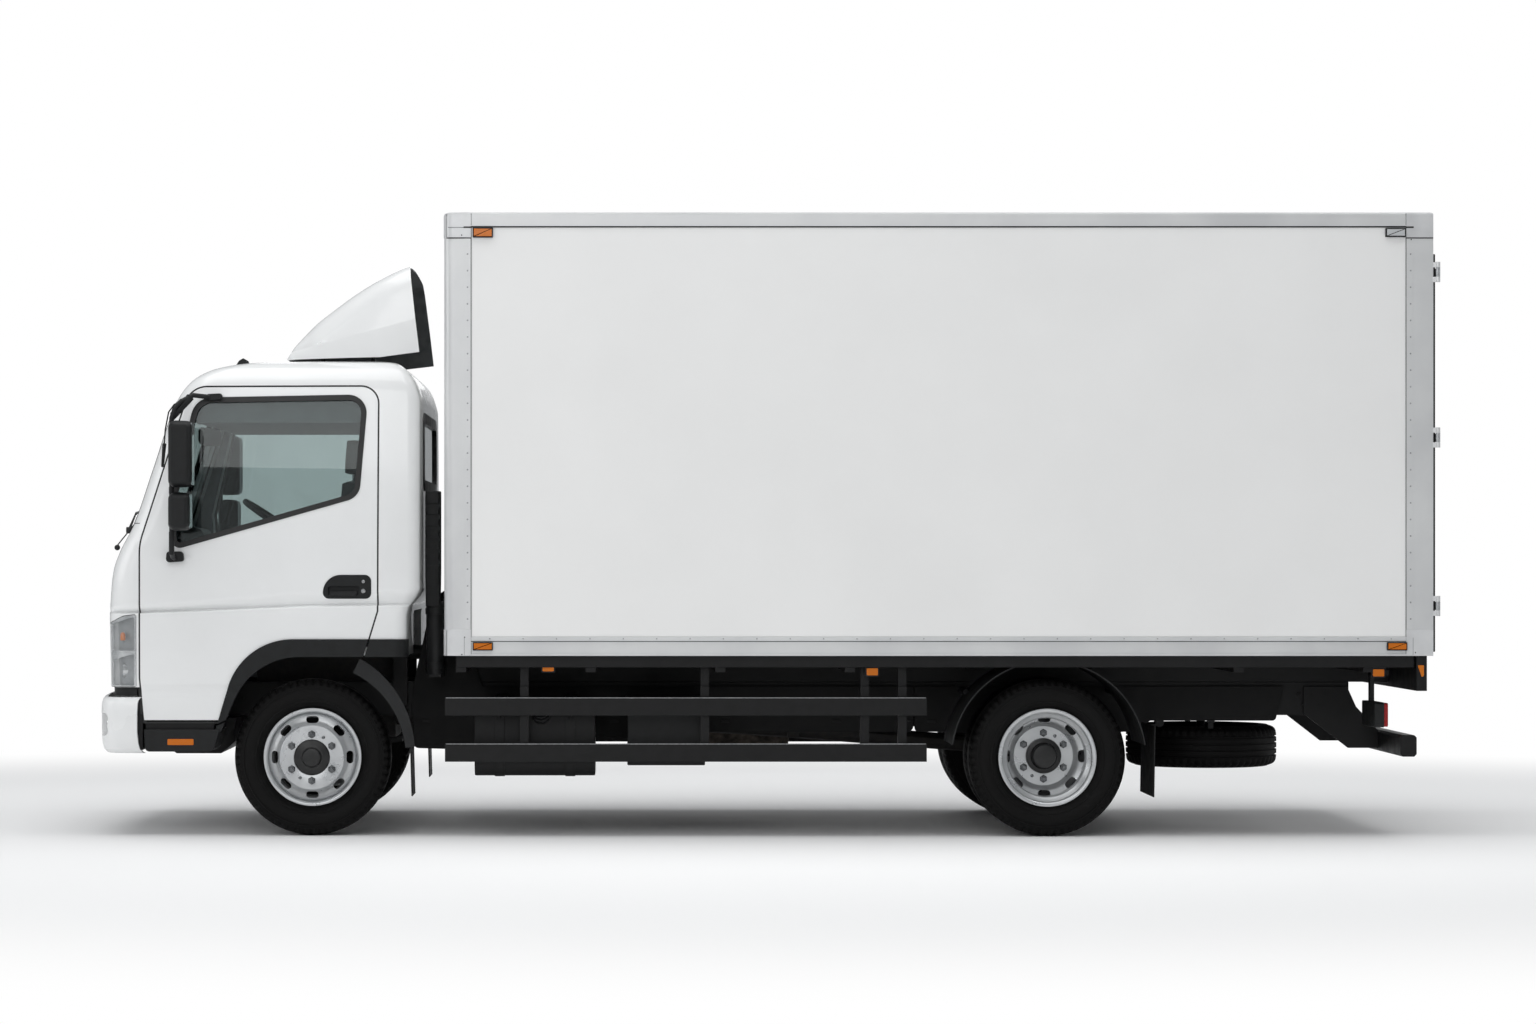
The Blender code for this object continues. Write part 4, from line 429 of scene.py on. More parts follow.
def tyre_section():
    """Half a section from bead to tread, and the same mirrored."""
    tread = []
    for groove in TREAD_GROOVES[::-1]:
        crown = TYRE_RADIUS - 0.0022 * (groove / 0.07) ** 2
        tread += [(crown, groove + 0.0050), (crown - 0.008, groove + 0.0034),
                  (crown - 0.008, groove - 0.0034), (crown, groove - 0.0050)]
    half = list(WALL) + list(SHOULDER) + [(0.3742, 0.0625)] + tread
    return half + [(r, -o) for r, o in half[::-1]]


def shoulder_notch(k, r, o):
    if k % 3 == 2 and r > 0.349 and abs(o) > 0.060:
        return r - 0.0075, o * 0.955
    return r, o


tyre_rubber = mottled("carbon_black_tyre_rubber", "#060606", "#0E0D0D", 110, 0.62, grain_mm=2.0,
                      relief_mm=0.12, **{"Specular IOR Level": 0.16})


def build_tyre(name, centre, body, axis="Y"):
    bm = bmesh.new()
    add_lathe(bm, tyre_section(), centre, TREAD_STEPS, axis, shoulder_notch)
    return fit(shape(name + "_rubber", bm), tyre_rubber, body, name, smooth=38)


for word, side in SIDES:
    build_tyre("tyre_front_" + word, (0, side * FRONT_TRACK / 2, TYRE_RADIUS), "wheel_front_" + word)
    for place, way in (("outer", 1), ("inner", -1)):
        y = side * (DUAL_MEAN_Y + way * DUAL_SPACING / 2)
        build_tyre("tyre_rear_%s_%s" % (word, place), (WHEELBASE, y, TYRE_RADIUS), "wheel_rear_" + word)


# The wheels: a rolled steel rim with a pressed disc welded into it, eight hand holes and six studs,
# sprayed with silver paint. The paint has a fine metallic flake, and brake dust dulls it in streaks.
RIM_SECTION = (
    # radius, offset, from the outer lip round the seat and the well to the lip's inside
    (0.2290, 0.0763), (0.2345, 0.0757), (0.2360, 0.0735), (0.2360, 0.0690), (0.2345, 0.0677),
    (0.2270, 0.0677), (0.2225, 0.0640), (0.2222, 0.0480), (0.1985, 0.0350), (0.1960, 0.0300),
)
RIM_INSIDE = (
    (0.1880, 0.0270), (0.1900, 0.0335), (0.1945, 0.0390), (0.2120, 0.0490), (0.2148, 0.0540),
    (0.2155, 0.0660), (0.2170, 0.0705), (0.2210, 0.0735), (0.2240, 0.0757),
)
DISC_SECTION = (
    # radius, offset, over the outside of the disc from the rim to the bore, and back inside
    (0.2125, 0.0440), (0.2100, 0.0560), (0.2030, 0.0640), (0.1900, 0.0720), (0.1780, 0.0800),
    (0.1700, 0.0870), (0.1640, 0.0960), (0.1600, 0.1060), (0.1570, 0.1110), (0.1545, 0.1160),
    (0.1510, 0.1180), (0.1460, 0.1175), (0.0905, 0.1175), (0.0865, 0.1160), (0.0860, 0.1080),
    (0.1430, 0.1078), (0.1490, 0.1020), (0.1550, 0.0900), (0.1640, 0.0790), (0.1760, 0.0705),
    (0.1900, 0.0640), (0.2020, 0.0560), (0.2060, 0.0440),
)
HAND_HOLES, HAND_HOLE_CIRCLE = 8, 0.1805
HAND_HOLE = ((-0.0165, 0.0165), (-0.0305, 0.0305), 0.016)   # along the radius, across it, corner
STUD_CIRCLE = 0.1111
HUB_SECTION = (
    (0.0, 0.1475), (0.030, 0.1473), (0.0400, 0.1455), (0.0440, 0.1415), (0.0455, 0.1300), (0.0480, 0.1265),
    (0.0620, 0.1255), (0.0660, 0.1230), (0.0800, 0.1220), (0.0845, 0.1195), (0.0855, 0.1100),
    (0.0855, 0.0950), (0.0, 0.0950),
)
REAR_HUB_SECTION = (
    (0.0, 0.0850), (0.040, 0.0845), (0.0540, 0.0820), (0.0600, 0.0760), (0.0620, 0.0400), (0.0650, 0.0320),
    (0.0760, 0.0300), (0.0845, 0.0270), (0.0858, 0.0200), (0.0858, 0.0), (0.0, 0.0),
)
NUT = ((0.0, 0.0), (0.0195, 0.0), (0.0195, 0.003), (0.0160, 0.0045), (0.0160, 0.0225), (0.0135, 0.0250),
       (0.0, 0.0250))
STUD = ((0.0, 0.0), (0.0095, 0.0), (0.0095, 0.0335), (0.0080, 0.0355), (0.0, 0.0355))
DRUM_SCREW = ((0.0, 0.0), (0.008, 0.0), (0.008, 0.008), (0.0, 0.011))
DRUM_RADIUS = 0.125
FRONT_NUTS_OUT, REAR_NUTS_IN = 0.1173, 0.1078   # from the middle of the tyre to the disc's flat


def carve(piece, how, *others):
    """Cuts, joins or crops a piece with others for good; the others stay for the next piece."""
    for other in others:
        step = piece.modifiers.new(how.lower(), "BOOLEAN")
        step.operation, step.object, step.solver = how, other, "EXACT"
    graph = bpy.context.evaluated_depsgraph_get()
    result = bpy.data.meshes.new_from_object(piece.evaluated_get(graph))
    piece.modifiers.clear()
    piece.data = result
    return piece


def discard(*pieces):
    for piece in pieces:
        bpy.data.objects.remove(piece)


def hand_hole_cutter(centre, face):
    bm = bmesh.new()
    oval = pad(*HAND_HOLE)
    for k in range(HAND_HOLES):
        a = math.tau * k / HAND_HOLES
        u, v = Vector((math.cos(a), math.sin(a))), Vector((-math.sin(a), math.cos(a)))
        outline = [(centre[0] + u.x * (HAND_HOLE_CIRCLE + p) + v.x * q,
                    centre[2] + u.y * (HAND_HOLE_CIRCLE + p) + v.y * q) for p, q in oval]
        add_prism(bm, outline, "xz", centre[1] + face * 0.030, centre[1] + face * 0.130)
    return shape("cut_hand_holes", bm)


def rim_rows():
    outer = list(RIM_SECTION) + [(r, -o) for r, o in RIM_SECTION[::-1]]
    return outer + [(r, -o) for r, o in RIM_INSIDE[::-1]] + list(RIM_INSIDE)


def sided(rows, side):
    return [(r, side * o) for r, o in rows]


def turned(name, profile, centre, steps, axis="Y"):
    bm = bmesh.new()
    add_lathe(bm, profile, centre, steps, axis)
    return shape(name, bm)


def build_wheel(name, node, centre, face, body):
    """A rim with its pierced disc welded in; face is the way along y that the disc stands out."""
    rim = turned(name, rim_rows(), centre, 72)
    disc = turned("disc", sided(DISC_SECTION, face), centre, 72)
    holes = hand_hole_cutter(centre, face)
    carve(disc, "DIFFERENCE", holes)
    carve(rim, "UNION", disc)
    discard(disc, holes)
    fit(rim, silver_paint, body, node, smooth=32)


def build_hub(name, rows, near, far, centre, side, body):
    """A hub with the brake drum behind it, which runs between two offsets."""
    bm = bmesh.new()
    add_lathe(bm, sided(rows, side), centre, 48)
    drum = ((0.0, near), (DRUM_RADIUS, near), (DRUM_RADIUS, far), (0.0, far))
    add_lathe(bm, sided(drum, side), centre, 48)
    fit(shape(name, bm), hub_black, body, smooth=30)


def build_nuts(name, centre, face, side, body):
    bm = bmesh.new()
    for rows, steps, count, turn in ((NUT, 6, 6, 30), (STUD, 14, 6, 30), (DRUM_SCREW, 12, 2, 60)):
        for k in range(count):
            a = math.radians(turn + 360 * k / count)
            x, z = centre[0] + STUD_CIRCLE * math.cos(a), centre[2] + STUD_CIRCLE * math.sin(a)
            add_lathe(bm, sided(rows, side), (x, face, z), steps)
    fit(shape(name, bm), polished_nuts, body, edge_mm=0.8)


silver_paint = mottled("silver_wheel_paint", "#C4C6C8", "#CDCFD0", 90, 0.30, grain_mm=0.7, relief_mm=0.005,
                       Metallic=0.65)
polished_nuts = mottled("burnished_steel", "#5E6062", "#7C7E80", 12, 0.2, grain_mm=2.0,
                        relief_mm=0.0, Metallic=1.0)
hub_black = mottled("black_hub_enamel", "#0E0E0F", "#191919", 20, 0.38, grain_mm=1.5, relief_mm=0.08)
for word, side in SIDES:
    body = "wheel_front_" + word
    centre = (0, side * FRONT_TRACK / 2, TYRE_RADIUS)
    build_wheel("rim_front_%s_painted" % word, "rim_front_" + word, centre, side, body)
    build_hub("hub_front_" + word, HUB_SECTION, 0.055, -0.042, centre, side, body)
    build_nuts("nuts_front_" + word, centre, centre[1] + side * FRONT_NUTS_OUT, side, body)

    body = "wheel_rear_" + word
    outer, middle, inner = [(WHEELBASE, side * (DUAL_MEAN_Y + way * DUAL_SPACING / 2), TYRE_RADIUS)
                            for way in (1, 0, -1)]
    build_wheel("rims_rear_%s_painted" % word, "rims_rear_" + word, outer, -side, body)
    for name, rows in (("rim_rear_%s_inner", rim_rows()), ("disc_rear_%s_inner", sided(DISC_SECTION, side))):
        fit(turned(name % word, rows, inner, 48), silver_paint, body, smooth=32)
    build_hub("hub_rear_" + word, REAR_HUB_SECTION, -0.006, -0.104, middle, side, body)
    build_nuts("nuts_rear_" + word, outer, side * (DUAL_MEAN_Y + DUAL_SPACING / 2 - REAR_NUTS_IN), side, body)


# The spare lies flat under the tail: the same tyre, on a disc in chassis black. A threaded rod holds
# it up against a bar that is welded between the rails.
SPARE = (4.41, 0, 0.395)
build_tyre("spare_wheel", SPARE, "chassis", "Z")
bm = bmesh.new()
add_lathe(bm, ((0.226, 0.066), (0.226, 0.050), (0.196, 0.030), (0.180, 0.041), (0.060, 0.041), (0.060, 0.025),
               (0.175, 0.025), (0.188, 0.015), (0.218, 0.044), (0.218, 0.066)), SPARE, 48, "Z")
add_lathe(bm, ((0.226, -0.066), (0.226, -0.050), (0.196, -0.030), (0.196, 0.032), (0.188, 0.028),
               (0.188, -0.035), (0.218, -0.054), (0.218, -0.066)), SPARE, 48, "Z")
add_tube(bm, (SPARE[0], 0, 0.400), (SPARE[0], 0, 0.640), 0.022)
add_box(bm, (SPARE[0] - 0.03, -0.3707, 0.60), (SPARE[0] + 0.03, 0.3707, 0.655))
add_tube(bm, (SPARE[0], 0, 0.375), (SPARE[0], 0, 0.420), 0.065, 6)
fit(shape("spare_carrier", bm), chassis_paint, "chassis", edge_mm=2.0)


# The cab: pressed steel panels spot-welded into one shell, primed and sprayed with white two-pack
# enamel. The gloss is deep and even, with the faintest orange peel, and both doors are cut from the
# same skin, so that the swage lines run through.
CAB_ROWS = (
    # z, front_x, rear_x, half_y
    (0.520, -0.970, 0.455, 0.953), (0.662, -0.972, 0.455, 0.9705), (0.696, -0.973, 0.455, 0.968),
    (0.735, -0.974, 0.455, 0.978), (1.045, -0.979, 0.455, 0.9855), (1.084, -0.979, 0.466, 0.9850),
    (1.0935, -0.979, 0.478, 0.9520), (1.1405, -0.977, 0.515, 0.9835), (1.155, -0.976, 0.518, 0.9845),
    (1.277, -0.960, 0.518, 0.985), (1.373, -0.926, 0.518, 0.985), (1.493, -0.864, 0.518, 0.983),
    (1.757, -0.773, 0.518, 0.975), (2.083, -0.662, 0.516, 0.955), (2.150, -0.624, 0.502, 0.944),
    (2.208, -0.566, 0.478, 0.918), (2.251, -0.480, 0.440, 0.872), (2.280, -0.340, 0.395, 0.790),
    (2.294, -0.100, 0.330, 0.640),
)
CAB_WALL = 0.045
CAB_BOW = 0.07
CAB_CORNER = 0.12
CAB_REAR_CORNER = 0.06
CAB_FLOOR_Z = 0.865
CAB_FLOOR = 0.04
TUNNEL_HALF = 0.36
TUNNEL_TOP = 1.075
HUMP_TOP = 1.12
GAP = 0.008
PAST_SIDE = 1.2             # the far end of what cuts through the cab's side
SIDE_IN = 0.885
DOOR_OUTLINE = rounded((
    (-0.806, 0.535, 0.0), (-0.824, 0.760, 0.0), (-0.824, 1.405, 0.30), (-0.585, 2.158, 0.11),
    (0.322, 2.161, 0.085), (0.318, 1.080, 0.0), (0.250, 0.857, 0.0), (-0.45, 0.535, 0.0)), 10)
WINDOW_OUTLINE = rounded((
    (-0.655, 1.387, 0.03), (-0.672, 1.560, 0.0), (-0.548, 2.092, 0.09), (0.258, 2.107, 0.075),
    (0.218, 1.636, 0.07)), 10)
ARCH_OUTER = rounded(((-0.495, 0.385, 0.0), (-0.327, 0.941, 0.32), (0.60, 0.941, 0.0),
                      (0.60, 0.385, 0.0)), 20)
ARCH_INNER = rounded(((-0.486, 0.385, 0.0), (-0.281, 0.860, 0.34), (0.60, 0.860, 0.0),
                      (0.60, 0.385, 0.0)), 20)
WINDSCREEN = rounded(((-0.86, 1.515, 0.05), (0.86, 1.515, 0.05), (0.80, 2.075, 0.09),
                      (-0.80, 2.075, 0.09)), 8)
REAR_WINDOW = pad((-0.60, 0.60), (1.69, 2.02), 0.06)
LAMP_IN_Y = 0.618
LAMP_OUTLINE = rounded(((-1.30, 0.715, 0.0), (-0.838, 0.715, 0.012), (-0.838, 1.066, 0.012),
                        (-0.905, 1.058, 0.05), (-0.985, 1.018, 0.05), (-1.30, 0.93, 0.0)), 5)
GRILLE = rounded(((-0.58, 0.755, 0.04), (0.58, 0.755, 0.04), (0.55, 1.00, 0.04), (-0.55, 1.00, 0.04)), 5)
PIVOT_X, PIVOT_Z = -0.88, 0.735
HANDLE = rounded(((0.0561, 1.139, 0.028), (0.2869, 1.139, 0.028), (0.2869, 1.253, 0.030),
                  (0.0561, 1.253, 0.085)), 12)


def smooth_rows(rows, per_span=9):
    """Points on a smooth curve through the rows that never overshoots them."""
    lengths = [0.0]
    for a, b in zip(rows, rows[1:]):
        lengths.append(lengths[-1] + math.dist(a, b))
    slopes = []
    for column in zip(*rows):
        steps = [(column[i + 1] - column[i]) / (lengths[i + 1] - lengths[i]) for i in range(len(rows) - 1)]
        inner = [2 * a * b / (a + b) if a * b > 0 else 0.0 for a, b in zip(steps, steps[1:])]
        slopes.append([steps[0]] + inner + [steps[-1]])
    points = []
    for i in range(len(rows) - 1):
        span = lengths[i + 1] - lengths[i]
        for k in range(per_span):
            t = k / per_span
            row = []
            for a, b, slope in zip(rows[i], rows[i + 1], slopes):
                row.append((1 + 2 * t) * (1 - t) ** 2 * a + t * (1 - t) ** 2 * span * slope[i]
                           + t * t * (3 - 2 * t) * b + t * t * (t - 1) * span * slope[i + 1])
            points.append(tuple(row))
    return points + [rows[-1]]


CAB_CURVE = smooth_rows(CAB_ROWS)


def cab_at(z):
    """Front, rear and half width of the cab's skin at a height."""
    for low, high in zip(CAB_CURVE, CAB_CURVE[1:]):
        if z <= high[0]:
            share = (z - low[0]) / (high[0] - low[0])
            return [a + (b - a) * share for a, b in zip(low, high)][1:]
    return list(CAB_CURVE[-1][1:])


def cab_ring(z, inset):
    """One level of the cab: bowed front, round front corners, straight sides, round rear. The swage
    under the door handle climbs to the rear, so the levels near it are tilted."""
    front, rear, half = cab_at(z)
    front, rear, half = front + inset, rear - inset, half - inset
    corner, rear_corner = CAB_CORNER - inset * 0.5, CAB_REAR_CORNER - inset * 0.5
    flank = half - corner
    side = [(front - CAB_BOW * (1 - t * t), flank * t) for t in (0.0, 0.15, 0.3, 0.45, 0.6, 0.75, 0.9)]
    for k in range(11):
        a = math.pi - math.radians(90) * k / 10
        side.append((front + corner + corner * math.cos(a), flank + corner * math.sin(a)))
    side += [(front + corner + (rear - front - corner - rear_corner) * k / 6, half) for k in range(1, 6)]
    for k in range(6):
        a = math.radians(90 - 90 * k / 5)
        side.append((rear - rear_corner + rear_corner * math.cos(a),
                     half - rear_corner + rear_corner * math.sin(a)))
    side += [(rear, 0.5), (rear, 0.0)]
    tilt = (0.023 + 0.36 * (z - 1.0935)) * max(0.0, 1 - ((z - 1.115) / 0.12) ** 2) ** 2
    ring = side + [(x, -y) for x, y in side[-2:0:-1]]
    return [Vector((x, y, z + tilt * max(-1.0, min(1.0, (x + 0.37) / 0.44)))) for x, y in ring]


def add_loft(bm, rings):
    """Joins rings of points with as many points each, and closes both ends."""
    loops = [[bm.verts.new(p) for p in ring] for ring in rings]
    for low, high in zip(loops, loops[1:]):
        for i in range(len(low)):
            j = (i + 1) % len(low)
            bm.faces.new((low[i], low[j], high[j], high[i]))
    bm.faces.new(loops[0][::-1])
    bm.faces.new(loops[-1])


def cab_body(name, inset, low_z=CAB_ROWS[0][0], high_z=CAB_ROWS[-1][0]):
    """The cab's outer form between two heights, moved inwards by the inset."""
    heights = [low_z] + [row[0] for row in CAB_CURVE if low_z + 0.004 < row[0] < high_z - 0.001] + [high_z]
    bm = bmesh.new()
    add_loft(bm, [cab_ring(z, inset) for z in heights])
    return shape(name, bm)


def prism(outline, plane, start, end, mirror=False):
    bm = bmesh.new()
    add_prism(bm, outline, plane, start, end)
    if mirror:
        add_prism(bm, outline, plane, -start, -end)
    return shape("cut", bm)


def block(low, high):
    bm = bmesh.new()
    add_box(bm, low, high)
    return shape("cut", bm)


cab_enamel = mottled("white_two_pack_enamel", "#EFF0F0", "#F3F4F4", 500, 0.20, grain_mm=7.0, relief_mm=0.03,
                     **{"Coat Weight": 0.5, "Coat Roughness": 0.03})
skirt = prism(ARCH_OUTER, "xz", SIDE_IN, PAST_SIDE, True)
lip = prism(ARCH_INNER, "xz", SIDE_IN - 0.2, 1.3, True)
door_hole = prism(grown(DOOR_OUTLINE, GAP / 2), "xz", SIDE_IN - 0.007, PAST_SIDE, True)
room = cab_body("cut_room", CAB_WALL, CAB_FLOOR_Z + CAB_FLOOR, CAB_ROWS[-1][0] - CAB_WALL - 0.01)
hump = block((-0.43, -0.41, 0.80), (0.80, 0.41, HUMP_TOP))
carve(room, "DIFFERENCE", hump)
nose_holes = prism(GRILLE, "yz", -1.40, -0.70)
lamp_boxes = prism(LAMP_OUTLINE, "xz", LAMP_IN_Y, PAST_SIDE, True)
core = cab_body("cut", CAB_WALL + 0.005, 0.60, 1.20)
carve(lamp_boxes, "DIFFERENCE", core)
carve(nose_holes, "DIFFERENCE", core)
cutters = [skirt, room, cab_body("cut", CAB_WALL, 0.30, CAB_FLOOR_Z),
           block((-0.30, -0.90, 0.30), (0.80, 0.90, CAB_FLOOR_Z)),
           block((-0.40, -TUNNEL_HALF, 0.60), (0.80, TUNNEL_HALF, TUNNEL_TOP)),
           block((-1.30, -1.20, 0.30), (-0.795, 1.20, 0.7145)), lip, door_hole,
           prism(WINDSCREEN, "yz", -1.40, -0.30), prism(REAR_WINDOW, "yz", 0.30, 0.80),
           block((-0.85, -1.20, 0.30), (0.10, 1.20, 0.56)), nose_holes, lamp_boxes]
shell = carve(cab_body("cab_shell_painted", 0.0), "DIFFERENCE", *cutters)
bm = bmesh.new()
for side in (-1, 1):
    add_prism(bm, rounded(((PIVOT_X - 0.03, PIVOT_Z - 0.03, 0.025), (PIVOT_X + 0.03, PIVOT_Z - 0.03, 0.025),
                           (PIVOT_X + 0.05, CAB_FLOOR_Z + 0.01, 0.0),
                           (PIVOT_X - 0.05, CAB_FLOOR_Z + 0.01, 0.0))),
              "xz", side * 0.338, side * 0.362)
fit(shape("cab_lugs", bm), chassis_paint, "cab", edge_mm=2.0)
fit(shell, cab_enamel, "cab", "cab_shell", smooth=26)

wall_back = cab_body("cut", 0.030, 0.40, 2.25)
window_hole = prism(WINDOW_OUTLINE, "xz", 0.70, 1.3, True)
for word, side in SIDES:
    keep = prism(grown(DOOR_OUTLINE, -GAP / 2), "xz", side * SIDE_IN, side * 1.25)
    pocket = prism(grown(HANDLE, 0.0005), "xz", side * 0.958, side * 1.1)
    door = cab_body("door_%s_painted" % word, 0.0)
    carve(door, "DIFFERENCE", skirt)
    carve(door, "INTERSECT", keep)
    low = block((-0.9, -1.2, 0.4), (0.6, 1.2, 0.5565))
    carve(door, "DIFFERENCE", wall_back, lip, window_hole, pocket, low)
    fit(door, cab_enamel, "door_" + word, "door_" + word, smooth=26)
    discard(keep, pocket, low)


# The flares: moulded polypropylene lips clipped along the wheel arch, a front length on each door
# and a short rear length on the cab, with a fine grain that scatters the light.
grained_black = mottled("grained_black_polypropylene", "#0E0F10", "#17191A", 40, 0.52, grain_mm=1.2,
                        relief_mm=0.10, **{"Specular IOR Level": 0.32})


def cab_sheet(name, outer, inner, cuts=(), keep=None):
    """A sheet that follows the cab's form; outer and inner are (inset, from z, to z). It is cut,
    then cropped to what it shares with the last piece, and its cutters go."""
    sheet, back = cab_body(name, *outer), cab_body("cut", *inner)
    carve(sheet, "DIFFERENCE", back, *cuts)
    if keep:
        carve(sheet, "INTERSECT", keep)
        discard(keep)
    discard(back, *cuts)
    return sheet


def carve_away(piece, *cutters):
    """Cuts a piece with cutters that aren't needed again."""
    carve(piece, "DIFFERENCE", *cutters)
    discard(*cutters)


reach = prism(grown(ARCH_OUTER, 0.004), "xz", SIDE_IN + 0.01, PAST_SIDE, True)
flare = cab_sheet("flare", (-0.008, 0.50, 1.00), (0.030, 0.48, 1.02), keep=reach)
carve(flare, "DIFFERENCE", lip)
for word, side in SIDES:
    keep = prism(grown(DOOR_OUTLINE, -GAP / 2), "xz", side * SIDE_IN, side * 1.25)
    part = flare.copy()
    part.data = flare.data.copy()
    part.name = "flare_door_" + word
    bpy.context.scene.collection.objects.link(part)
    carve(part, "INTERSECT", keep)
    fit(part, grained_black, "door_" + word, smooth=30)
    discard(keep)
carve(flare, "DIFFERENCE", door_hole)
flare.name = "flare_cab"
fit(flare, grained_black, "cab", smooth=30)
discard(*[o for o in bpy.data.objects if o.name.startswith("cut")])


# The glazing: tempered and laminated glass with a grey-green tint, held in black rubber extrusions
# that stand a little proud of the paint. Clean glass shows the sky's reflection and the cab inside.
weather_rubber = mottled("extruded_black_rubber", "#0B0B0C", "#151515", 60, 0.45, grain_mm=2.0,
                         relief_mm=0.05, IOR=1.52)
tinted_glass = bpy.data.materials.new("tinted_safety_glass")
tree = blank_tree(tinted_glass)
place = add_node(tree, "TexCoord").outputs["Object"]
film = add_node(tree, "TexNoise", {"Vector": place, "Scale": 3.0, "Detail": 3.0})
tint = add_node(tree, "Mix", {"Factor": film.outputs["Fac"], 6: linear("#B3BFBF"), 7: linear("#BBC7C6")},
                data_type="RGBA")
shader = add_node(tree, "BsdfPrincipled", {"Base Color": tint.outputs[2], "Roughness": 0.0,
                                           "Transmission Weight": 1.0, "IOR": 1.45})
add_node(tree, "OutputMaterial", {"Surface": shader.outputs[0]})


def frame_cutter(outline, wide, plane, start, end):
    """A closed frame along an outline, as wide to each side of it as is given."""
    bm = bmesh.new()
    add_band(bm, grown(outline, -wide), grown(outline, wide), plane, start, end)
    return shape("cut", bm)


def add_seal(name, outline, plane, start, end, body, proud=0.003, wide=0.013):
    """A rubber frame round an opening in the cab's skin, outside and inside its edge."""
    ring = frame_cutter(outline, wide, plane, start, end)
    seal = cab_sheet(name, (-proud, 1.30, 2.24), (0.022, 1.28, 2.25), keep=ring)
    fit(seal, weather_rubber, body, smooth=40)


def add_pane(name, outline, plane, start, end, inset, thick, body):
    keep = prism(grown(outline, -0.001), plane, start, end)
    pane = cab_sheet(name + "_clear", (inset, 1.32, 2.20), (inset + thick, 1.30, 2.22), keep=keep)
    fit(pane, tinted_glass, body, name, smooth=40)


for word, side in SIDES:
    body = "door_" + word
    add_seal("seal_window_" + word, WINDOW_OUTLINE, "xz", side * SIDE_IN, side * 1.3, body)
    add_pane("door_glass_" + word, WINDOW_OUTLINE, "xz", side * 0.8, side * 1.3, 0.012, 0.004, body)
add_seal("seal_windscreen", WINDSCREEN, "yz", -1.35, -0.45, "cab", 0.002, 0.020)
add_seal("seal_rear_window", REAR_WINDOW, "yz", 0.40, 0.80, "cab", 0.006, 0.026)
add_pane("windscreen", WINDSCREEN, "yz", -1.35, -0.45, 0.006, 0.006, "cab")
add_pane("rear_window", REAR_WINDOW, "yz", 0.40, 0.80, 0.006, 0.006, "cab")

# Behind each shut line a sponge-rubber seal is glued to the door's frame, set just behind the gap; its black
# is painted shade for the shut line.
for word, side in SIDES:
    ring = frame_cutter(DOOR_OUTLINE, 0.012, "xz", side * SIDE_IN, side * PAST_SIDE)
    arch = prism(grown(ARCH_OUTER, 0.001), "xz", side * 0.7, side * PAST_SIDE)
    seal = cab_sheet("seal_door_" + word, (0.011, 0.54, 2.20), (0.026, 0.50, 2.22), [arch], ring)
    fit(seal, weather_rubber, "cab", smooth=40)


# The bumper: an injection-moulded skin, open behind, in the cab's white, on two steel arms. Paint
# over plastic is a little softer in its gloss. A round fog lamp sits in a recess at each end.
def bumper_plan(inset):
    corner = 0.11 - inset * 0.5
    front, half = -1.018 + inset, 0.990 - inset
    flank = half - corner
    side = [(front - 0.06 * (1 - t * t), flank * t) for t in (0.0, 0.15, 0.3, 0.45, 0.6, 0.75, 0.9)]
    for k in range(13):
        a = math.pi - math.radians(90) * k / 12
        side.append((front + corner + corner * math.cos(a), flank + corner * math.sin(a)))
    side.append((-0.835 + inset, half))
    return [(x, -y) for x, y in side[:0:-1]] + side


def moulded_lens(name, dark, light, cell_mm, clear, **more):
    """A lens with rows of small moulded pillows, each painted light in its middle and dark at its rim:
    painted glints.
    """
    made = bpy.data.materials.new(name)
    tree = blank_tree(made)
    place = add_node(tree, "TexCoord").outputs["Object"]
    cells = add_node(tree, "TexVoronoi", {"Vector": place, "Scale": 1000 / cell_mm, "Randomness": 0.0})
    # Painted glints: each cell is lighter in its middle and darker at its rim.
    colour = add_node(tree, "Mix", {"Factor": cells.outputs["Distance"], 6: linear(light), 7: linear(dark)},
                      data_type="RGBA")
    relief = add_node(tree, "Bump", {"Height": cells.outputs["Distance"], "Strength": 0.6,
                                     "Distance": cell_mm / 8000})
    shader = add_node(tree, "BsdfPrincipled",
                      {"Base Color": colour.outputs[2], "Roughness": 0.08, "IOR": 1.49,
                       "Transmission Weight": clear, "Normal": relief.outputs["Normal"],
                       **more})
    add_node(tree, "OutputMaterial", {"Surface": shader.outputs[0]})
    return made


bumper_enamel = mottled("white_enamel_on_plastic", "#EFF0F0", "#F3F4F4", 400, 0.27, grain_mm=6.0,
                        relief_mm=0.02, **{"Coat Weight": 0.3})
clear_lens = mottled("clear_polycarbonate", "#D5DADC", "#E6E9EA", 300, 0.04, grain_mm=30.0, relief_mm=0.0,
                     Alpha=0.10)
amber_lens = moulded_lens("amber_acrylic_lens", "#B85200", "#F08A12", 3.2, 0.12)
red_lens = moulded_lens("red_acrylic_lens", "#6E0506", "#C01214", 3.2, 0.12)
bright_bowl = mottled("aluminised_reflector", "#C9CBCC", "#E2E3E4", 60, 0.20, grain_mm=8.0, relief_mm=0.0,
                      Metallic=1.0)
BUMPER_ROWS = (
    # z, how far the outline draws in
    (0.398, 0.036), (0.402, 0.026), (0.416, 0.013), (0.445, 0.005), (0.500, 0.0), (0.590, 0.0),
    (0.635, 0.002), (0.652, 0.006), (0.662, 0.013), (0.667, 0.022),
)
FOG_LAMP_X, FOG_LAMP_Y, FOG_LAMP_Z = -0.958, 0.868, 0.536
bm = bmesh.new()
add_loft(bm, [[Vector((x, y, z)) for x, y in bumper_plan(inset)] for z, inset in BUMPER_ROWS])
bumper = shape("bumper_skin", bm)
bm = bmesh.new()
add_prism(bm, bumper_plan(0.030), "xy", 0.410, 0.97)
hollow = shape("cut", bm)
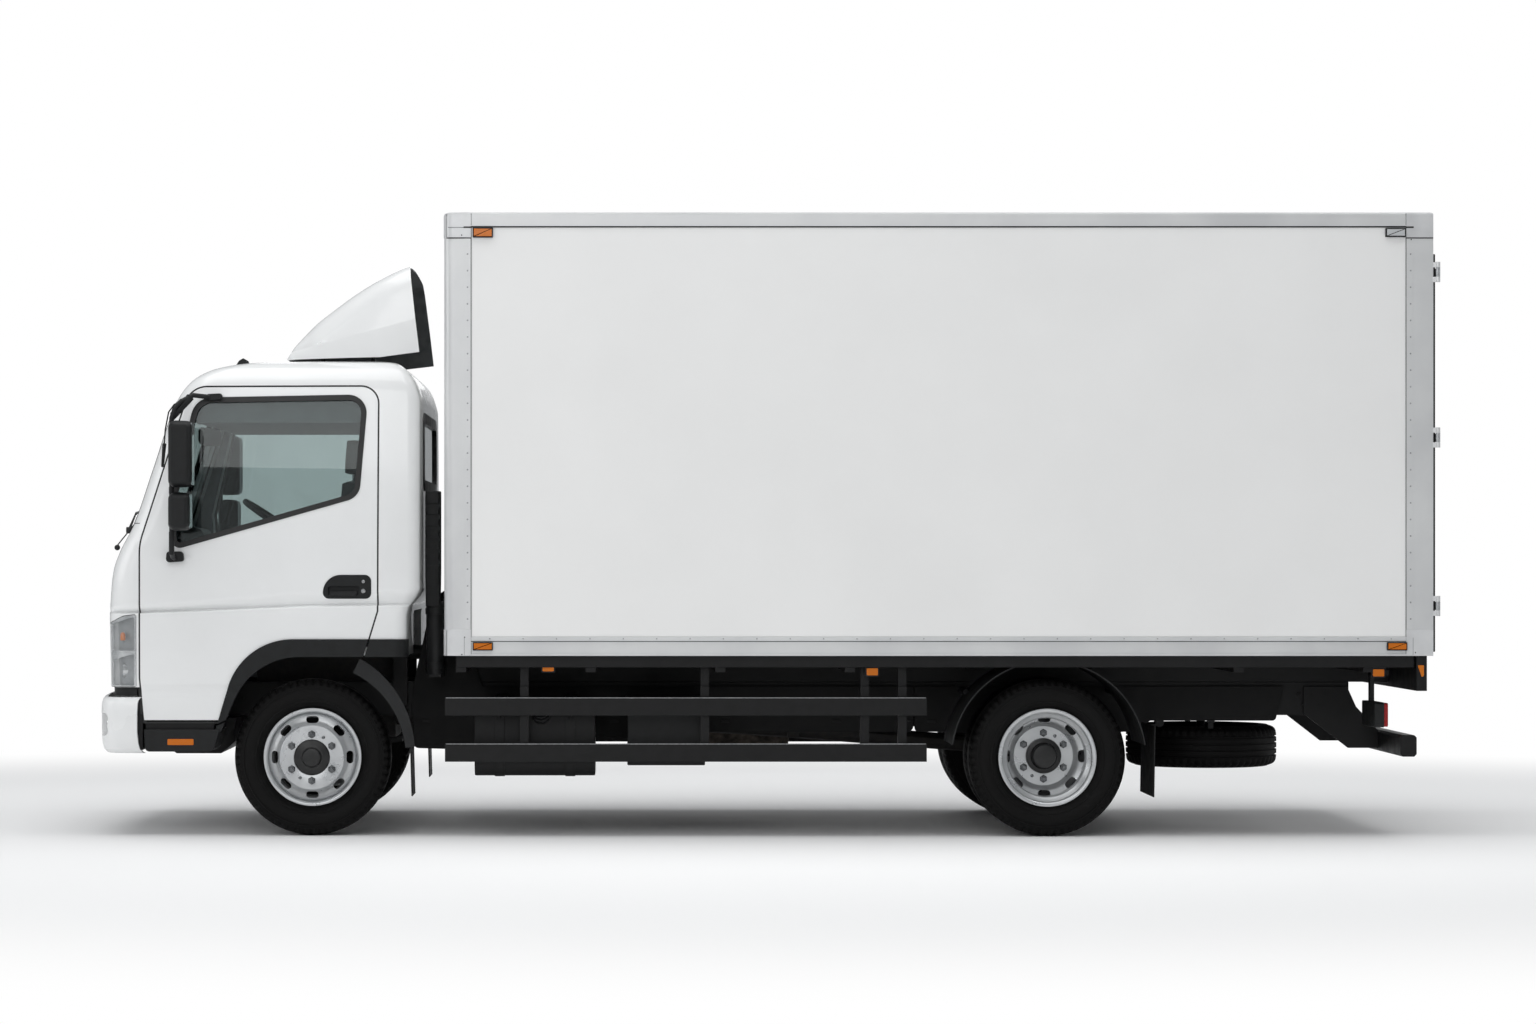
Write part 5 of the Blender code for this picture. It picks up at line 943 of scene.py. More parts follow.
openings = [block((-0.96, -0.93, 0.30), (-0.70, 0.93, 0.77)),
            prism(pad((-0.42, 0.42), (0.455, 0.505), 0.012), "yz", -1.30, -1.03)]
fog = pad((0.775, 0.964), (0.482, 0.590), 0.02, 5)
for side in (-1, 1):
    openings.append(prism([(side * y, z) for y, z in fog], "yz", -1.20, -0.956))
carve_away(bumper, hollow, *openings)
fit(bumper, bumper_enamel, "chassis", "bumper", smooth=28)
arms = bmesh.new()
for side in (-1, 1):
    add_side_box(arms, side, (-1.052, -0.908), (0.325, 0.375), (0.515, 0.585))
    add_side_box(arms, side, (-1.060, -1.052), (0.28, 0.42), (0.48, 0.62))
cans, glasses, bowls = bmesh.new(), bmesh.new(), bmesh.new()
for side in (-1, 1):
    centre = (FOG_LAMP_X, side * FOG_LAMP_Y, FOG_LAMP_Z)
    add_side_box(arms, side, (-0.836, -0.810), (0.60, 0.952), (0.412, 0.664))
    add_prism(cans, grown([(side * y, z) for y, z in fog], 0.003), "yz", -0.962, -0.925)
    add_lathe(bowls, ((0.0, -0.012), (0.030, -0.020), (0.047, -0.030), (0.049, -0.030), (0.049, -0.005),
                      (0.0, -0.005)), centre, 32, "X")
    add_lathe(glasses, ((0.0, -0.040), (0.030, -0.037), (0.045, -0.032), (0.048, -0.026), (0.044, -0.026),
                        (0.0, -0.034)), centre, 32, "X")
fit(shape("bumper_arms", arms), chassis_paint, "chassis", edge_mm=3.0)
fit(shape("fog_lamp_cans", cans), moulded_black, "chassis", edge_mm=2.0)
fit(shape("fog_lamp_bowls", bowls), bright_bowl, "chassis")
fit(shape("fog_lamp_glasses", glasses), clear_lens, "chassis")


# The entry steps are moulded boxes with a ribbed tread, dulled by boots, and a reflector let into
# the side. The guards over the wheels are black plastic with a stiff lip; their flaps are sheets of
# black rubber that hang a little askew. Grit from the tyres has greyed both.
MUDGUARDS = (
    # place, station, inner y, outer y, radius, lip at each end, start and end angle, arm angles,
    # flap's x at its top and foot
    ("front", 0.0, 0.68, 0.955, 0.452, (0.034, 0.066), 6.0, 64.0, (26.0,), (0.468, 0.478)),
    ("rear", WHEELBASE, 0.54, 1.035, 0.462, (0.066, 0.066), 8.0, 172.0, (40.0, 140.0), (4.036, 4.030)),
)
MUDGUARD_CENTRE_Z = TYRE_RADIUS
FLAP_THICK, FLAP_TOP, FLAP_FOOT = 0.006, 0.53, 0.19
STEP_RIBS, STEP_RIB_PITCH = 9, 0.029
dusty_plastic = mottled("dusty_black_polyethylene", "#121314", "#202122", 70, 0.58, grain_mm=2.0,
                        relief_mm=0.12, **{"Specular IOR Level": 0.38})
flap_rubber = mottled("black_sheet_rubber", "#0B0B0B", "#161617", 50, 0.66, grain_mm=1.6, relief_mm=0.15,
                      **{"Specular IOR Level": 0.3})
for word, side in SIDES:
    dress_solid("entry_step_" + word, grained_black, 5.0)
    dress_solid("side_guard_" + word, chassis_paint, 5.0)
treads, reflectors = bmesh.new(), bmesh.new()
for side in (-1, 1):
    for k in range(STEP_RIBS):
        x = -0.745 + STEP_RIB_PITCH * k
        add_side_box(treads, side, (x, x + 0.012), (0.71, 0.92), (0.4295, 0.4335))
    add_prism(reflectors, pad((-0.691, -0.566), (0.437, 0.466), 0.004, 4), "xz", side * 0.962, side * 0.9685)
fit(shape("step_treads", treads), grained_black, "chassis", edge_mm=1.0)


# Black rubber sheets hang under the rails and behind the cab, riveted to steel flats, and a moulded tray
# closes the underside of the radiator. The sheets are painted shade: black stand-ins for the shade under the
# truck.
zinc_plate = mottled("zinc_plated_steel", "#8E9092", "#B4B5B6", 6, 0.34, grain_mm=0.8, relief_mm=0.02,
                     Metallic=1.0)
SHEET_FLATS = (0.52, 0.90, 1.45, 2.00, 2.55, 2.90, 3.02, 4.40)
# Heights of thin bright strips on the guard boards' top edges: painted highlights along the boards' rounded
# edges.
GUARD_BOARD_HIGHLIGHTS = (0.6640, 0.4435)
shade_sheets, flats, edges = bmesh.new(), bmesh.new(), bmesh.new()
for side in (-1, 1):
    y = (side * 0.3935, side * 0.3995)
    add_prism(shade_sheets, rounded(((0.455, 0.395, 0.03), (0.800, 0.385, 0.03), (0.830, 0.455, 0.02),
                               (1.60, 0.455, 0.02), (1.64, 0.475, 0.0), (2.93, 0.475, 0.03),
                               (2.93, 0.700, 0.0), (0.800, 0.700, 0.0), (0.745, 0.860, 0.0),
                               (0.690, 1.120, 0.03), (0.560, 1.180, 0.03), (0.500, 0.900, 0.02),
                               (0.455, 0.700, 0.0)), 4), "xz", *y)
    add_prism(shade_sheets, rounded(((2.935, 0.475, 0.02), (4.02, 0.475, 0.02), (4.10, 0.53, 0.02),
                               (4.72, 0.53, 0.02), (4.76, 0.700, 0.0), (2.935, 0.700, 0.0)), 4), "xz", *y)
    for z in GUARD_BOARD_HIGHLIGHTS:
        add_side_box(edges, side, (0.648, 2.942), (1.0255, 1.0303), (z, z + 0.0032))
    for x in SHEET_FLATS:
        add_side_box(flats, side, (x - 0.014, x + 0.014), (0.388, 0.394), (0.49, 0.69))
        add_side_box(flats, side, (x - 0.020, x + 0.020), (0.398, 0.404), (0.52, 0.535))
    add_side_box(flats, side, (-0.800, -0.470), (0.895, 0.938), (0.500, 0.553))
    add_side_box(flats, side, (-0.800, -0.470), (0.860, 0.896), (0.500, 0.620))
tray = [[Vector((x, y, z)) for x, z in ((-0.790, top), (-0.765, low + 0.05), (-0.700, low), (-0.480, low),
                                        (-0.410, low + 0.06), (-0.400, top))]
        for y, low, top in ((-0.56, 0.44, 0.55), (-0.52, 0.375, 0.55), (0.52, 0.375, 0.55),
                            (0.56, 0.44, 0.55))]
add_loft(flats, tray)
# Bright zinc strips on the guard boards' edges are painted highlights.
fit(shape("guard_board_edges", edges), zinc_plate, "chassis")
# The black sheets stand in for the shade under the rails and behind the cab: painted shade.
fit(shape("spray_sheets", shade_sheets), flap_rubber, "chassis", edge_mm=1.0)
fit(shape("sheet_flats_and_tray", flats), chassis_paint, "chassis", edge_mm=2.0)
fit(shape("step_reflectors", reflectors), amber_lens, "chassis", edge_mm=0.8)


def arc(station, radii, start, end, steps=40):
    """Points on an arc about a wheel whose radius runs from one value to another."""
    points = []
    for k in range(steps + 1):
        a = math.radians(start + (end - start) * k / steps)
        r = radii[0] + (radii[1] - radii[0]) * k / steps
        points.append((station + r * math.cos(a), MUDGUARD_CENTRE_Z + r * math.sin(a)))
    return points


for place, station, inner, outer, radius, lip_at, start, end, arms, flap_x in MUDGUARDS:
    for word, side in SIDES:
        name = "mudguard_%s_%s" % (place, word)
        bm = bmesh.new()
        under = arc(station, (radius, radius), start, end)
        add_prism(bm, under + arc(station, (radius + 0.006,) * 2, start, end)[::-1], "xz", side * inner,
                  side * (outer - 0.004))
        edge = arc(station, [radius + 0.002 + w for w in lip_at], start, end)
        add_prism(bm, under + edge[::-1], "xz", side * (outer - 0.008), side * outer)
        bead = arc(station, [radius - 0.002 + w for w in lip_at], start, end)
        add_prism(bm, bead + arc(station, [radius + 0.010 + w for w in lip_at], start, end)[::-1], "xz",
                  side * (outer - 0.018), side * (outer + 0.002))
        guard = shape(name + "_moulded", bm)
        if place == "rear":
            carve_away(guard, block((3.0, -1.2, 0.856), (4.1, 1.2, 1.2)))
        fit(guard, dusty_plastic, "chassis", name, smooth=30)
        bm = bmesh.new()
        for at in arms:
            a = math.radians(at)
            x = station + (radius + 0.012) * math.cos(a)
            z = MUDGUARD_CENTRE_Z + (radius + 0.012) * math.sin(a)
            add_tube(bm, (x, side * 0.382, z), (x, side * (inner + 0.12), z), 0.015, 16)
            add_side_box(bm, side, (x - 0.03, x + 0.03), (0.3805, 0.388), (z - 0.04, z + 0.04))
        fit(shape(name + "_arms", bm), chassis_paint, "chassis", edge_mm=1.5)
        bm = bmesh.new()
        top, foot = flap_x
        flap = [(top, FLAP_TOP), (top + FLAP_THICK, FLAP_TOP), (foot + FLAP_THICK, FLAP_FOOT),
                (foot, FLAP_FOOT)]
        add_prism(bm, flap, "xz", side * (inner + 0.01), side * (outer - 0.012))
        fit(shape(name + "_flap", bm), flap_rubber, "chassis", edge_mm=1.5)


# Clip-on side reflectors under the body and the tail lamps, each an acrylic lens in a black case.
# The lenses are dyed through, with rows of small prisms moulded behind a smooth face; their glints are
# painted into the colour.
UNDER_REFLECTORS = ((1.104, 0.787), (2.652, 0.768), (5.070, 0.763))   # front and lower corner
CASE_LONG, CASE_TALL = 0.066, 0.050
cases, lenses = bmesh.new(), bmesh.new()
for side in (-1, 1):
    for x, z in UNDER_REFLECTORS:
        add_prism(cases, pad((x, x + CASE_LONG), (z, z + CASE_TALL), 0.006, 4), "xz",
                  side * 1.020, side * 1.046)
        add_side_box(cases, side, (x + 0.010, x + 0.056), (1.018, 1.024), (z + 0.02, 0.8585))
        add_prism(lenses, pad((x + 0.006, x + 0.060), (z + 0.006, z + 0.040), 0.005, 4), "xz",
                  side * 1.044, side * 1.052)
fit(shape("reflector_cases", cases), moulded_black, "chassis", edge_mm=1.0)
fit(shape("reflector_lenses", lenses), amber_lens, "chassis", edge_mm=1.2)

for word, side in SIDES:
    bm = bmesh.new()
    add_prism(bm, pad((side * 0.62, side * 0.94), (0.520, 0.640), 0.012, 5), "yz", 5.105, 5.152)
    add_side_box(bm, side, (5.112, 5.132), (0.745, 0.795), (0.60, 0.80))
    add_side_box(bm, side, (5.112, 5.205), (0.745, 0.795), (0.767, 0.795))
    fit(shape("rear_lamp_%s_case" % word, bm), moulded_black, "chassis", "rear_lamp_" + word, edge_mm=2.0)
    for colour, material, low, high in (("red", red_lens, 0.832, 0.937), ("amber", amber_lens, 0.728, 0.830),
                                        ("clear", clear_lens, 0.623, 0.726)):
        bm = bmesh.new()
        add_prism(bm, pad((side * low, side * high), (0.523, 0.637), 0.010, 4), "yz", 5.146, 5.171)
        fit(shape("rear_lamp_%s_%s" % (word, colour), bm), material, "chassis", edge_mm=2.5)


# The nose: a moulded grille with three slots, a black plinth over the bumper, and corner headlamps
# under plain clear covers, each with four bowls in a bright frame and an amber bulb at the side.
keep = prism(grown(GRILLE, -0.0015), "yz", -1.35, -0.75)
SLOTS, SLOT_LOW, SLOT_PITCH, SLOT_TALL = 3, 0.785, 0.066, 0.044
slots = bmesh.new()
for k in range(SLOTS):
    low = SLOT_LOW + SLOT_PITCH * k
    add_prism(slots, pad((-0.50, 0.50), (low, low + SLOT_TALL), 0.012, 4), "yz", -1.40, -0.70)
slots = shape("cut", slots)
grille = cab_sheet("grille_moulded", (0.003, 0.73, 1.03), (0.042, 0.70, 1.06), [slots], keep)
rear = block((-0.838, -1.2, 0.4), (0.9, 1.2, 0.8))
plinth = cab_sheet("nose_plinth", (0.014, 0.674, 0.7142), (0.040, 0.50, 0.75), [rear])
fit(grille, grained_black, "cab", "grille", smooth=30)
fit(plinth, grained_black, "cab", smooth=40)

housing_grey = mottled("metallised_lamp_frame", "#85888A", "#979A9C", 60, 0.36, grain_mm=6.0, relief_mm=0.01,
                       Metallic=0.5)
LAMP_PANES = ((0.722, 0.877), (0.891, 1.053))   # low and high of each opening in the bright frame
BOWLS = ((0.765, 0.957, 0.070), (0.765, 0.796, 0.062), (0.885, 0.957, 0.042),
         (0.885, 0.796, 0.046))   # y, z, radius
for word, side in SIDES:
    split = block((-1.3, -1.2, 0.881), (-0.7, 1.2, 0.887))
    panes = bmesh.new()
    for low, high in LAMP_PANES:
        add_prism(panes, rounded(((-1.3, low, 0.0), (-0.849, low, 0.008), (-0.849, high, 0.008),
                                  (-1.3, high - 0.14, 0.0)), 4), "xz", side * (LAMP_IN_Y + 0.012),
                  side * PAST_SIDE)
    panes = shape("cut", panes)
    for kind, outside, inside, cuts, finish, node in (
            ("cover", 0.001, 0.005, [split], clear_lens, ["headlamp_" + word]),
            ("frame", 0.006, 0.016, [panes], bright_bowl, []),
            ("housing", 0.040, 0.044, [], housing_grey, [])):
        keep = prism(grown(LAMP_OUTLINE, -0.003), "xz", side * (LAMP_IN_Y + 0.003), side * PAST_SIDE)
        sheet = cab_sheet("headlamp_%s_%s" % (word, kind), (outside, 0.70, 1.09),
                          (inside, 0.68, 1.11), cuts, keep)
        fit(sheet, finish, "cab", *node, smooth=30)
    bowls, shelf = bmesh.new(), bmesh.new()
    for y, z, radius in BOWLS:
        rim = -0.905 - 0.045 * (1 - (y / 0.86) ** 2)
        add_lathe(bowls, ((0.0, 0.040), (radius * 0.4, 0.034), (radius * 0.75, 0.016), (radius, -0.026),
                          (radius + 0.002, -0.026), (radius * 0.77, 0.019), (radius * 0.4, 0.038),
                          (0.0, 0.044)),
                  (rim + 0.020, side * y, z), 40, "X")
        add_tube(bowls, (rim + 0.055, side * y, z), (rim + 0.015, side * y, z), 0.009, 16, 0.006)
    add_side_box(shelf, side, (-0.925, -0.845), (0.64, 0.945), (0.8815, 0.8865))
    fit(shape("headlamp_%s_bowls" % word, bowls), bright_bowl, "cab")
    fit(shape("headlamp_%s_shelf" % word, shelf), grained_black, "cab", edge_mm=1.0)
    bulb = ((0.0, 0.022), (0.009, 0.017), (0.0125, 0.005), (0.0125, -0.017), (0.0, -0.022))
    fit(turned("headlamp_%s_amber" % word, bulb, (-0.908, side * 0.944, 0.957), 20, "Z"), amber_lens, "cab")


# Door hardware: a recessed handle moulding with its lever and key cylinder, and two mirror heads on
# one steel tube, sheathed in black and carried by a foot on the door and an arm over the window.
MIRROR_X, MIRROR_Y = -0.655, 1.105
MIRROR_HEADS = ((1.669, 1.988, -0.662, -0.544), (1.4625, 1.648, -0.662, -0.554))  # low, high, front, rear
MIRROR_CURVE = (
    # how far out, how far the outline draws in, over a head's inner face, flank and outer face
    (-0.036, 0.016), (-0.030, 0.006), (-0.016, 0.001), (0.0, 0.0), (0.075, 0.0), (0.100, 0.0025),
    (0.118, 0.008), (0.128, 0.0155), (0.1325, 0.022), (0.1345, 0.0295),
)
MIRROR_PATH = ((-0.650, 1.000, 1.330), (-0.655, 1.060, 1.340), (MIRROR_X, MIRROR_Y, 1.360),
               (MIRROR_X, MIRROR_Y, 1.70), (MIRROR_X, MIRROR_Y, 2.00), (-0.640, 1.095, 2.050),
               (-0.612, 1.075, 2.082), (-0.560, 1.040, 2.112), (-0.490, 0.990, 2.106))
STAY_PATH = ((-0.600, 1.070, 2.088), (-0.645, 1.085, 2.066), (-0.672, 1.080, 2.030), (-0.690, 1.060, 1.950),
             (-0.700, 1.030, 1.870))


def add_path(bm, points, radius, steps, side=1):
    """A bent rod through points, whose y is counted outwards on one side of the truck."""
    for a, b in zip(points, points[1:]):
        add_tube(bm, (a[0], side * a[1], a[2]), (b[0], side * b[1], b[2]), radius, steps)


mirror_glass = mottled("silvered_mirror", "#63686B", "#74797C", 90, 0.04, grain_mm=40.0,
                       relief_mm=0.0, Metallic=1.0)
for word, side in SIDES:
    body = "door_" + word
    keep = prism(HANDLE, "xz", side * 0.90, side * 1.1)
    scoop = prism(rounded(((0.082, 1.152, 0.012), (0.222, 1.152, 0.016), (0.236, 1.200, 0.012),
                           (0.078, 1.200, 0.014)), 5),
                  "xz", side * 0.966, side * 1.1)
    plate = cab_sheet("handle_plate_" + word, (-0.003, 1.10, 1.29), (0.024, 1.08, 1.31), [scoop], keep)
    fit(plate, grained_black, body, edge_mm=1.2, smooth=40)
    bm = bmesh.new()
    add_prism(bm, rounded(((0.084, 1.153, 0.008), (0.214, 1.153, 0.010), (0.224, 1.176, 0.006),
                           (0.090, 1.174, 0.006)), 4), "xz", side * 0.968, side * 0.984)
    fit(shape("handle_lever_" + word, bm), moulded_black, body, edge_mm=2.5)
    bm = bmesh.new()
    for z, r in ((1.176, 0.0105), (1.2214, 0.008)):
        add_lathe(bm, sided(((0.0, 0.0), (r, 0.0), (r, 0.0035), (r * 0.75, 0.005), (r * 0.6, 0.003),
                             (0.0, 0.003)),
                            side), (0.2498, side * 0.9865, z), 28)
    fit(shape("door_lock_" + word, bm), zinc_plate, body)

    bm = bmesh.new()
    y = side * MIRROR_Y
    for low, high, front, rear in MIRROR_HEADS:
        rings = []
        for out, inset in MIRROR_CURVE:
            ring = rounded(((front, low, 0.032), (rear, low + 0.004, 0.034), (rear, high - 0.004, 0.034),
                            (front, high, 0.034)), 6)
            rings.append([Vector((a, y + side * out, b)) for a, b in grown(ring, -inset)])
        add_loft(bm, rings)
    head = shape("mirror_heads_" + word, bm)
    pocket = bmesh.new()
    for low, high, front, rear in MIRROR_HEADS:
        add_prism(pocket, pad((y - side * 0.026, y + side * 0.100), (low + 0.010, high - 0.010), 0.014, 5),
                  "yz", rear - 0.008, rear + 0.02)
    carve_away(head, shape("cut", pocket))
    fit(head, grained_black, body, "mirror_" + word, edge_mm=1.0, smooth=40)
    bm = bmesh.new()
    for low, high, front, rear in MIRROR_HEADS:
        add_prism(bm, pad((y - side * 0.024, y + side * 0.098), (low + 0.012, high - 0.012), 0.013, 5),
                  "yz", rear - 0.009, rear - 0.005)
    fit(shape("mirror_glasses_" + word, bm), mirror_glass, body)
    bm = bmesh.new()
    add_path(bm, MIRROR_PATH, 0.0115, 16, side)
    for a in MIRROR_PATH[1:-1]:
        bmesh.ops.create_icosphere(bm, subdivisions=2, radius=0.0119,
                                   matrix=Matrix.Translation((a[0], side * a[1], a[2])))
    for low, high in ((1.35, 1.46), (1.640, 1.675)):
        add_tube(bm, (MIRROR_X, y, low), (MIRROR_X, y, high), 0.013, 16)
    add_tube(bm, (-0.572, side * 1.045, 2.104), (-0.655, side * 1.095, 2.000), 0.020, 16, 0.014)
    add_prism(bm, rounded(((-0.694, 1.312, 0.018), (-0.606, 1.318, 0.014), (-0.612, 1.366, 0.018),
                           (-0.690, 1.366, 0.016)), 6), "xz", side * 0.972, side * 1.020)
    add_prism(bm, rounded(((-0.502, 2.090, 0.014), (-0.428, 2.094, 0.014), (-0.428, 2.124, 0.012),
                           (-0.502, 2.120, 0.012)), 6), "xz", side * 0.935, side * 0.992)
    fit(shape("mirror_arms_" + word, bm), moulded_black, body, edge_mm=2.0)
for word, side in SIDES:
    bm = bmesh.new()
    add_path(bm, STAY_PATH, 0.0035, 10, side)
    add_tube(bm, (-0.698, side * 1.032, 1.880), (-0.712, side * 0.990, 1.772), 0.010, 12, 0.007)
    fit(shape("mirror_stay_" + word, bm), moulded_black, "door_" + word)


# Wipers, washer arm and aerial: spring-steel arms in black powder coat with rubber blades that lie
# along the foot of the windscreen; a rubber strip closes the cowl's seam below.
def skin_point(y, z, out):
    """A point on the cab's front, a little way outside it."""
    front, rear, half = cab_at(z)
    return Vector((front - CAB_BOW * (1 - (y / (half - CAB_CORNER)) ** 2) - out, y, z))


WIPERS = ((-0.62, -0.76, -0.14), (0.06, -0.06, 0.58))   # y of the arm's foot and of the blade's ends
wipers, arms = bmesh.new(), bmesh.new()
for foot, start, stop in WIPERS:
    spots = [skin_point(start + (stop - start) * k / 10, 1.548 + 0.020 * k / 10, 0.010) for k in range(11)]
    add_path(wipers, spots, 0.006, 8)
    middle = spots[6] + Vector((-0.010, 0, 0))
    add_tube(arms, skin_point(foot, 1.470, 0.012), middle, 0.007, 12, 0.004)
    add_tube(arms, skin_point(foot, 1.470, -0.01), skin_point(foot, 1.470, 0.024), 0.016, 20)
for side in (-1, 1):
    a, b = skin_point(side * 0.80, 1.495, 0.0), skin_point(side * 0.80, 1.395, 0.028)
    add_tube(arms, a, b, 0.003, 8)
    bmesh.ops.create_icosphere(arms, subdivisions=3, radius=0.014,
                               matrix=Matrix.Translation(b - Vector((0, 0, 0.01))))
fit(shape("wiper_blades", wipers), weather_rubber, "cab")
fit(shape("wiper_arms", arms), moulded_black, "cab", smooth=50)
rear = block((-0.826, -1.2, 1.4), (0.9, 1.2, 1.6))
seam = cab_sheet("cowl_seam", (-0.0004, 1.4995, 1.503), (0.006, 1.45, 1.55), [rear])
fit(seam, weather_rubber, "cab", smooth=40)
bm = bmesh.new()
add_prism(bm, rounded(((-0.388, 2.270, 0.0), (-0.322, 2.276, 0.0), (-0.328, 2.292, 0.006),
                       (-0.352, 2.306, 0.006), (-0.372, 2.294, 0.006)), 4), "xz", -0.725, -0.695)
fit(shape("aerial_foot", bm), moulded_black, "cab", edge_mm=2.0)


# The roof deflector is a glass-fibre shell, gel-coated white outside and unpainted inside, open at the back
# and standing a finger's width clear of the roof on four feet. The inside's dark grey is painted shade for
# the shell's hollow.
FAIRING_ROWS = smooth_rows((
    # x, top_z, half_y
    (-0.160, 2.318, 0.47), (-0.140, 2.368, 0.51), (-0.080, 2.440, 0.55), (-0.017, 2.502, 0.585),
    (0.081, 2.574, 0.625), (0.184, 2.645, 0.66), (0.302, 2.714, 0.69), (0.442, 2.777, 0.715),
    (0.520, 2.800, 0.72),
), 4)
FAIRING_FEET = ((0.02, 0.50), (0.27, 0.56))
FAIRING_SIDE = [(-0.30, 2.307), (0.31, 2.313), (0.503, 2.337), (0.449, 2.790), (0.449, 3.2), (-0.30, 3.2)]


def fairing_ring(x, top, half, inset, low):
    """One section of the deflector: flanks with a crease, round shoulders, a crowned top."""
    top, half = top - inset, half - inset
    shoulder = min(0.13, (top - 2.29) * 0.7)
    crease = min(2.345 + (x + 0.12) * 0.254, 2.30 + (top - 2.30) * 0.5)
    right = [(half - 0.014, low), (half, crease - 0.004), (half, crease + 0.004),
             (half - 0.030, top - shoulder)]
    for k in range(1, 9):
        a = math.radians(80) * k / 8
        right.append((half - 0.030 - shoulder + shoulder * math.cos(a),
                      top - 0.015 - shoulder + shoulder * math.sin(a)))
    edge = right[-1]
    right += [(edge[0] * (1 - t), edge[1] + (top - edge[1]) * (1 - (1 - t) ** 2)) for t in (0.25, 0.5, 0.75)]
    left = [(-y, z) for y, z in right[::-1]]
    return [Vector((x, y, z)) for y, z in right + [(0.0, top)] + left]


def fairing_shell(name, outside, inside):
    bm = bmesh.new()
    add_loft(bm, [fairing_ring(x, top, half, outside, 2.20) for x, top, half in FAIRING_ROWS])
    skin = shape(name, bm)
    bm = bmesh.new()
    rows = [(x + inside * 1.6, top, half) for x, top, half in FAIRING_ROWS] + [(0.8, 2.82, 0.73)]
    add_loft(bm, [fairing_ring(*row, inside, 2.15) for row in rows])
    room, keep = shape("cut", bm), prism(FAIRING_SIDE, "xz", -1.0, 1.0)
    roof = cab_body("cut", -0.004, 2.0)
    carve(skin, "DIFFERENCE", room, roof)
    carve(skin, "INTERSECT", keep)
    discard(room, keep, roof)
    return skin


# The lining's dark grey is painted shade for the hollow under the deflector.
shade_dark_lining = mottled("shade_darkened_glass_fibre", "#46494A", "#585B5C", 60, 0.8, grain_mm=4.0, relief_mm=0.3)
fit(fairing_shell("roof_fairing_skin", 0.0, 0.006), cab_enamel, "cab", "roof_fairing", smooth=40)
fit(fairing_shell("roof_fairing_lining", 0.0065, 0.010), shade_dark_lining, "cab", smooth=40)
bm = bmesh.new()
for side in (-1, 1):
    for x, y in FAIRING_FEET:
        add_tube(bm, (x, side * y, 2.262), (x, side * y, 2.345), 0.012, 12)
        add_tube(bm, (x, side * y, 2.340), (x, side * (y + 0.075), 2.340), 0.009, 12)
fit(shape("roof_fairing_feet", bm), moulded_black, "cab", edge_mm=1.0)


# Inside the cab: foam-backed grey trim on the roof, the pillars and the doors, a moulded dashboard,
# and a steering wheel in thick polyurethane. All of it is soft grey, dim under the tinted glass.
DASH_VENTS, VENT_SLITS = (-0.74, -0.16, 0.16, 0.74), 4
COLUMN_TILT = Matrix.Rotation(math.radians(34), 3, "Y")
WHEEL_HUB = Vector((-0.20, -0.45, 1.50))
lining_grey = mottled("grey_trim_felt", "#6B7073", "#787D80", 60, 0.85, grain_mm=1.0, relief_mm=0.2)
dash_grey = mottled("grained_grey_dashboard", "#3B3E40", "#484C4E", 60, 0.6, grain_mm=1.2, relief_mm=0.1)
headliner = cab_body("headliner", 0.0475, 1.985, 2.2345)
front = prism([(-1.2, 1.90), (-0.555, 1.90), (-0.555, 1.995), (-0.60, 2.10), (-0.60, 2.3), (-1.2, 2.3)],
              "xz", -1.1, 1.1)
carve_away(headliner, front)
fit(headliner, lining_grey, "cab", edge_mm=10.0, smooth=30)
gaps = [prism(grown(DOOR_OUTLINE, 0.020), "xz", 0.80, PAST_SIDE, True),
        prism(grown(WINDSCREEN, 0.004), "yz", -1.40, -0.30),
        prism(grown(REAR_WINDOW, 0.004), "yz", 0.30, 0.80), block((-0.45, -0.44, 0.80), (0.85, 0.44, 1.13)),
        block((-1.3, -1.2, 0.90), (-0.6, 1.2, 1.46))]
lining = cab_sheet("cab_lining", (0.0462, 0.93, 1.99), (0.051, 0.90, 2.05), gaps)
fit(lining, lining_grey, "cab", smooth=40)
for word, side in SIDES:
    keep = prism(grown(DOOR_OUTLINE, -0.020), "xz", side * SIDE_IN, side * PAST_SIDE)
    gaps = [prism(grown(WINDOW_OUTLINE, 0.012), "xz", side * 0.7, side * 1.3),
            prism(grown(ARCH_OUTER, 0.010), "xz", side * 0.7, side * PAST_SIDE)]
    trim = cab_sheet("door_trim_" + word, (0.0305, 0.60, 2.20), (0.0345, 0.55, 2.22), gaps, keep)
    fit(trim, lining_grey, "door_" + word, smooth=40)

dash = cab_body("dashboard_moulded", 0.0475, 0.99, 1.47)
keep = prism(rounded(((-1.10, 1.00, 0.0), (-0.64, 1.00, 0.03), (-0.575, 1.30, 0.05), (-0.655, 1.43, 0.05),
                      (-1.10, 1.46, 0.0)), 6),
             "xz", -0.875, 0.875)
vents = bmesh.new()
for y in DASH_VENTS:
    for k in range(VENT_SLITS):
        z = 1.330 + 0.016 * k
        add_box(vents, (-0.66, y - 0.055, z), (-0.50, y + 0.055, z + 0.008))
add_box(vents, (-0.70, 0.30, 1.12), (-0.50, 0.66, 1.26))
carve(dash, "INTERSECT", keep)
discard(keep)
carve_away(dash, shape("cut", vents))
fit(dash, dash_grey, "cab", "dashboard", edge_mm=2.0, smooth=30)
along = COLUMN_TILT @ Vector((0, 0, 1))
bm = bmesh.new()
add_tube(bm, WHEEL_HUB - along * 0.60, WHEEL_HUB - along * 0.032, 0.030, 24, 0.038)
add_tube(bm, WHEEL_HUB - along * 0.22 + Vector((0, -0.02, 0)),
         WHEEL_HUB - along * 0.07 + Vector((-0.02, -0.14, 0.02)), 0.008, 12)
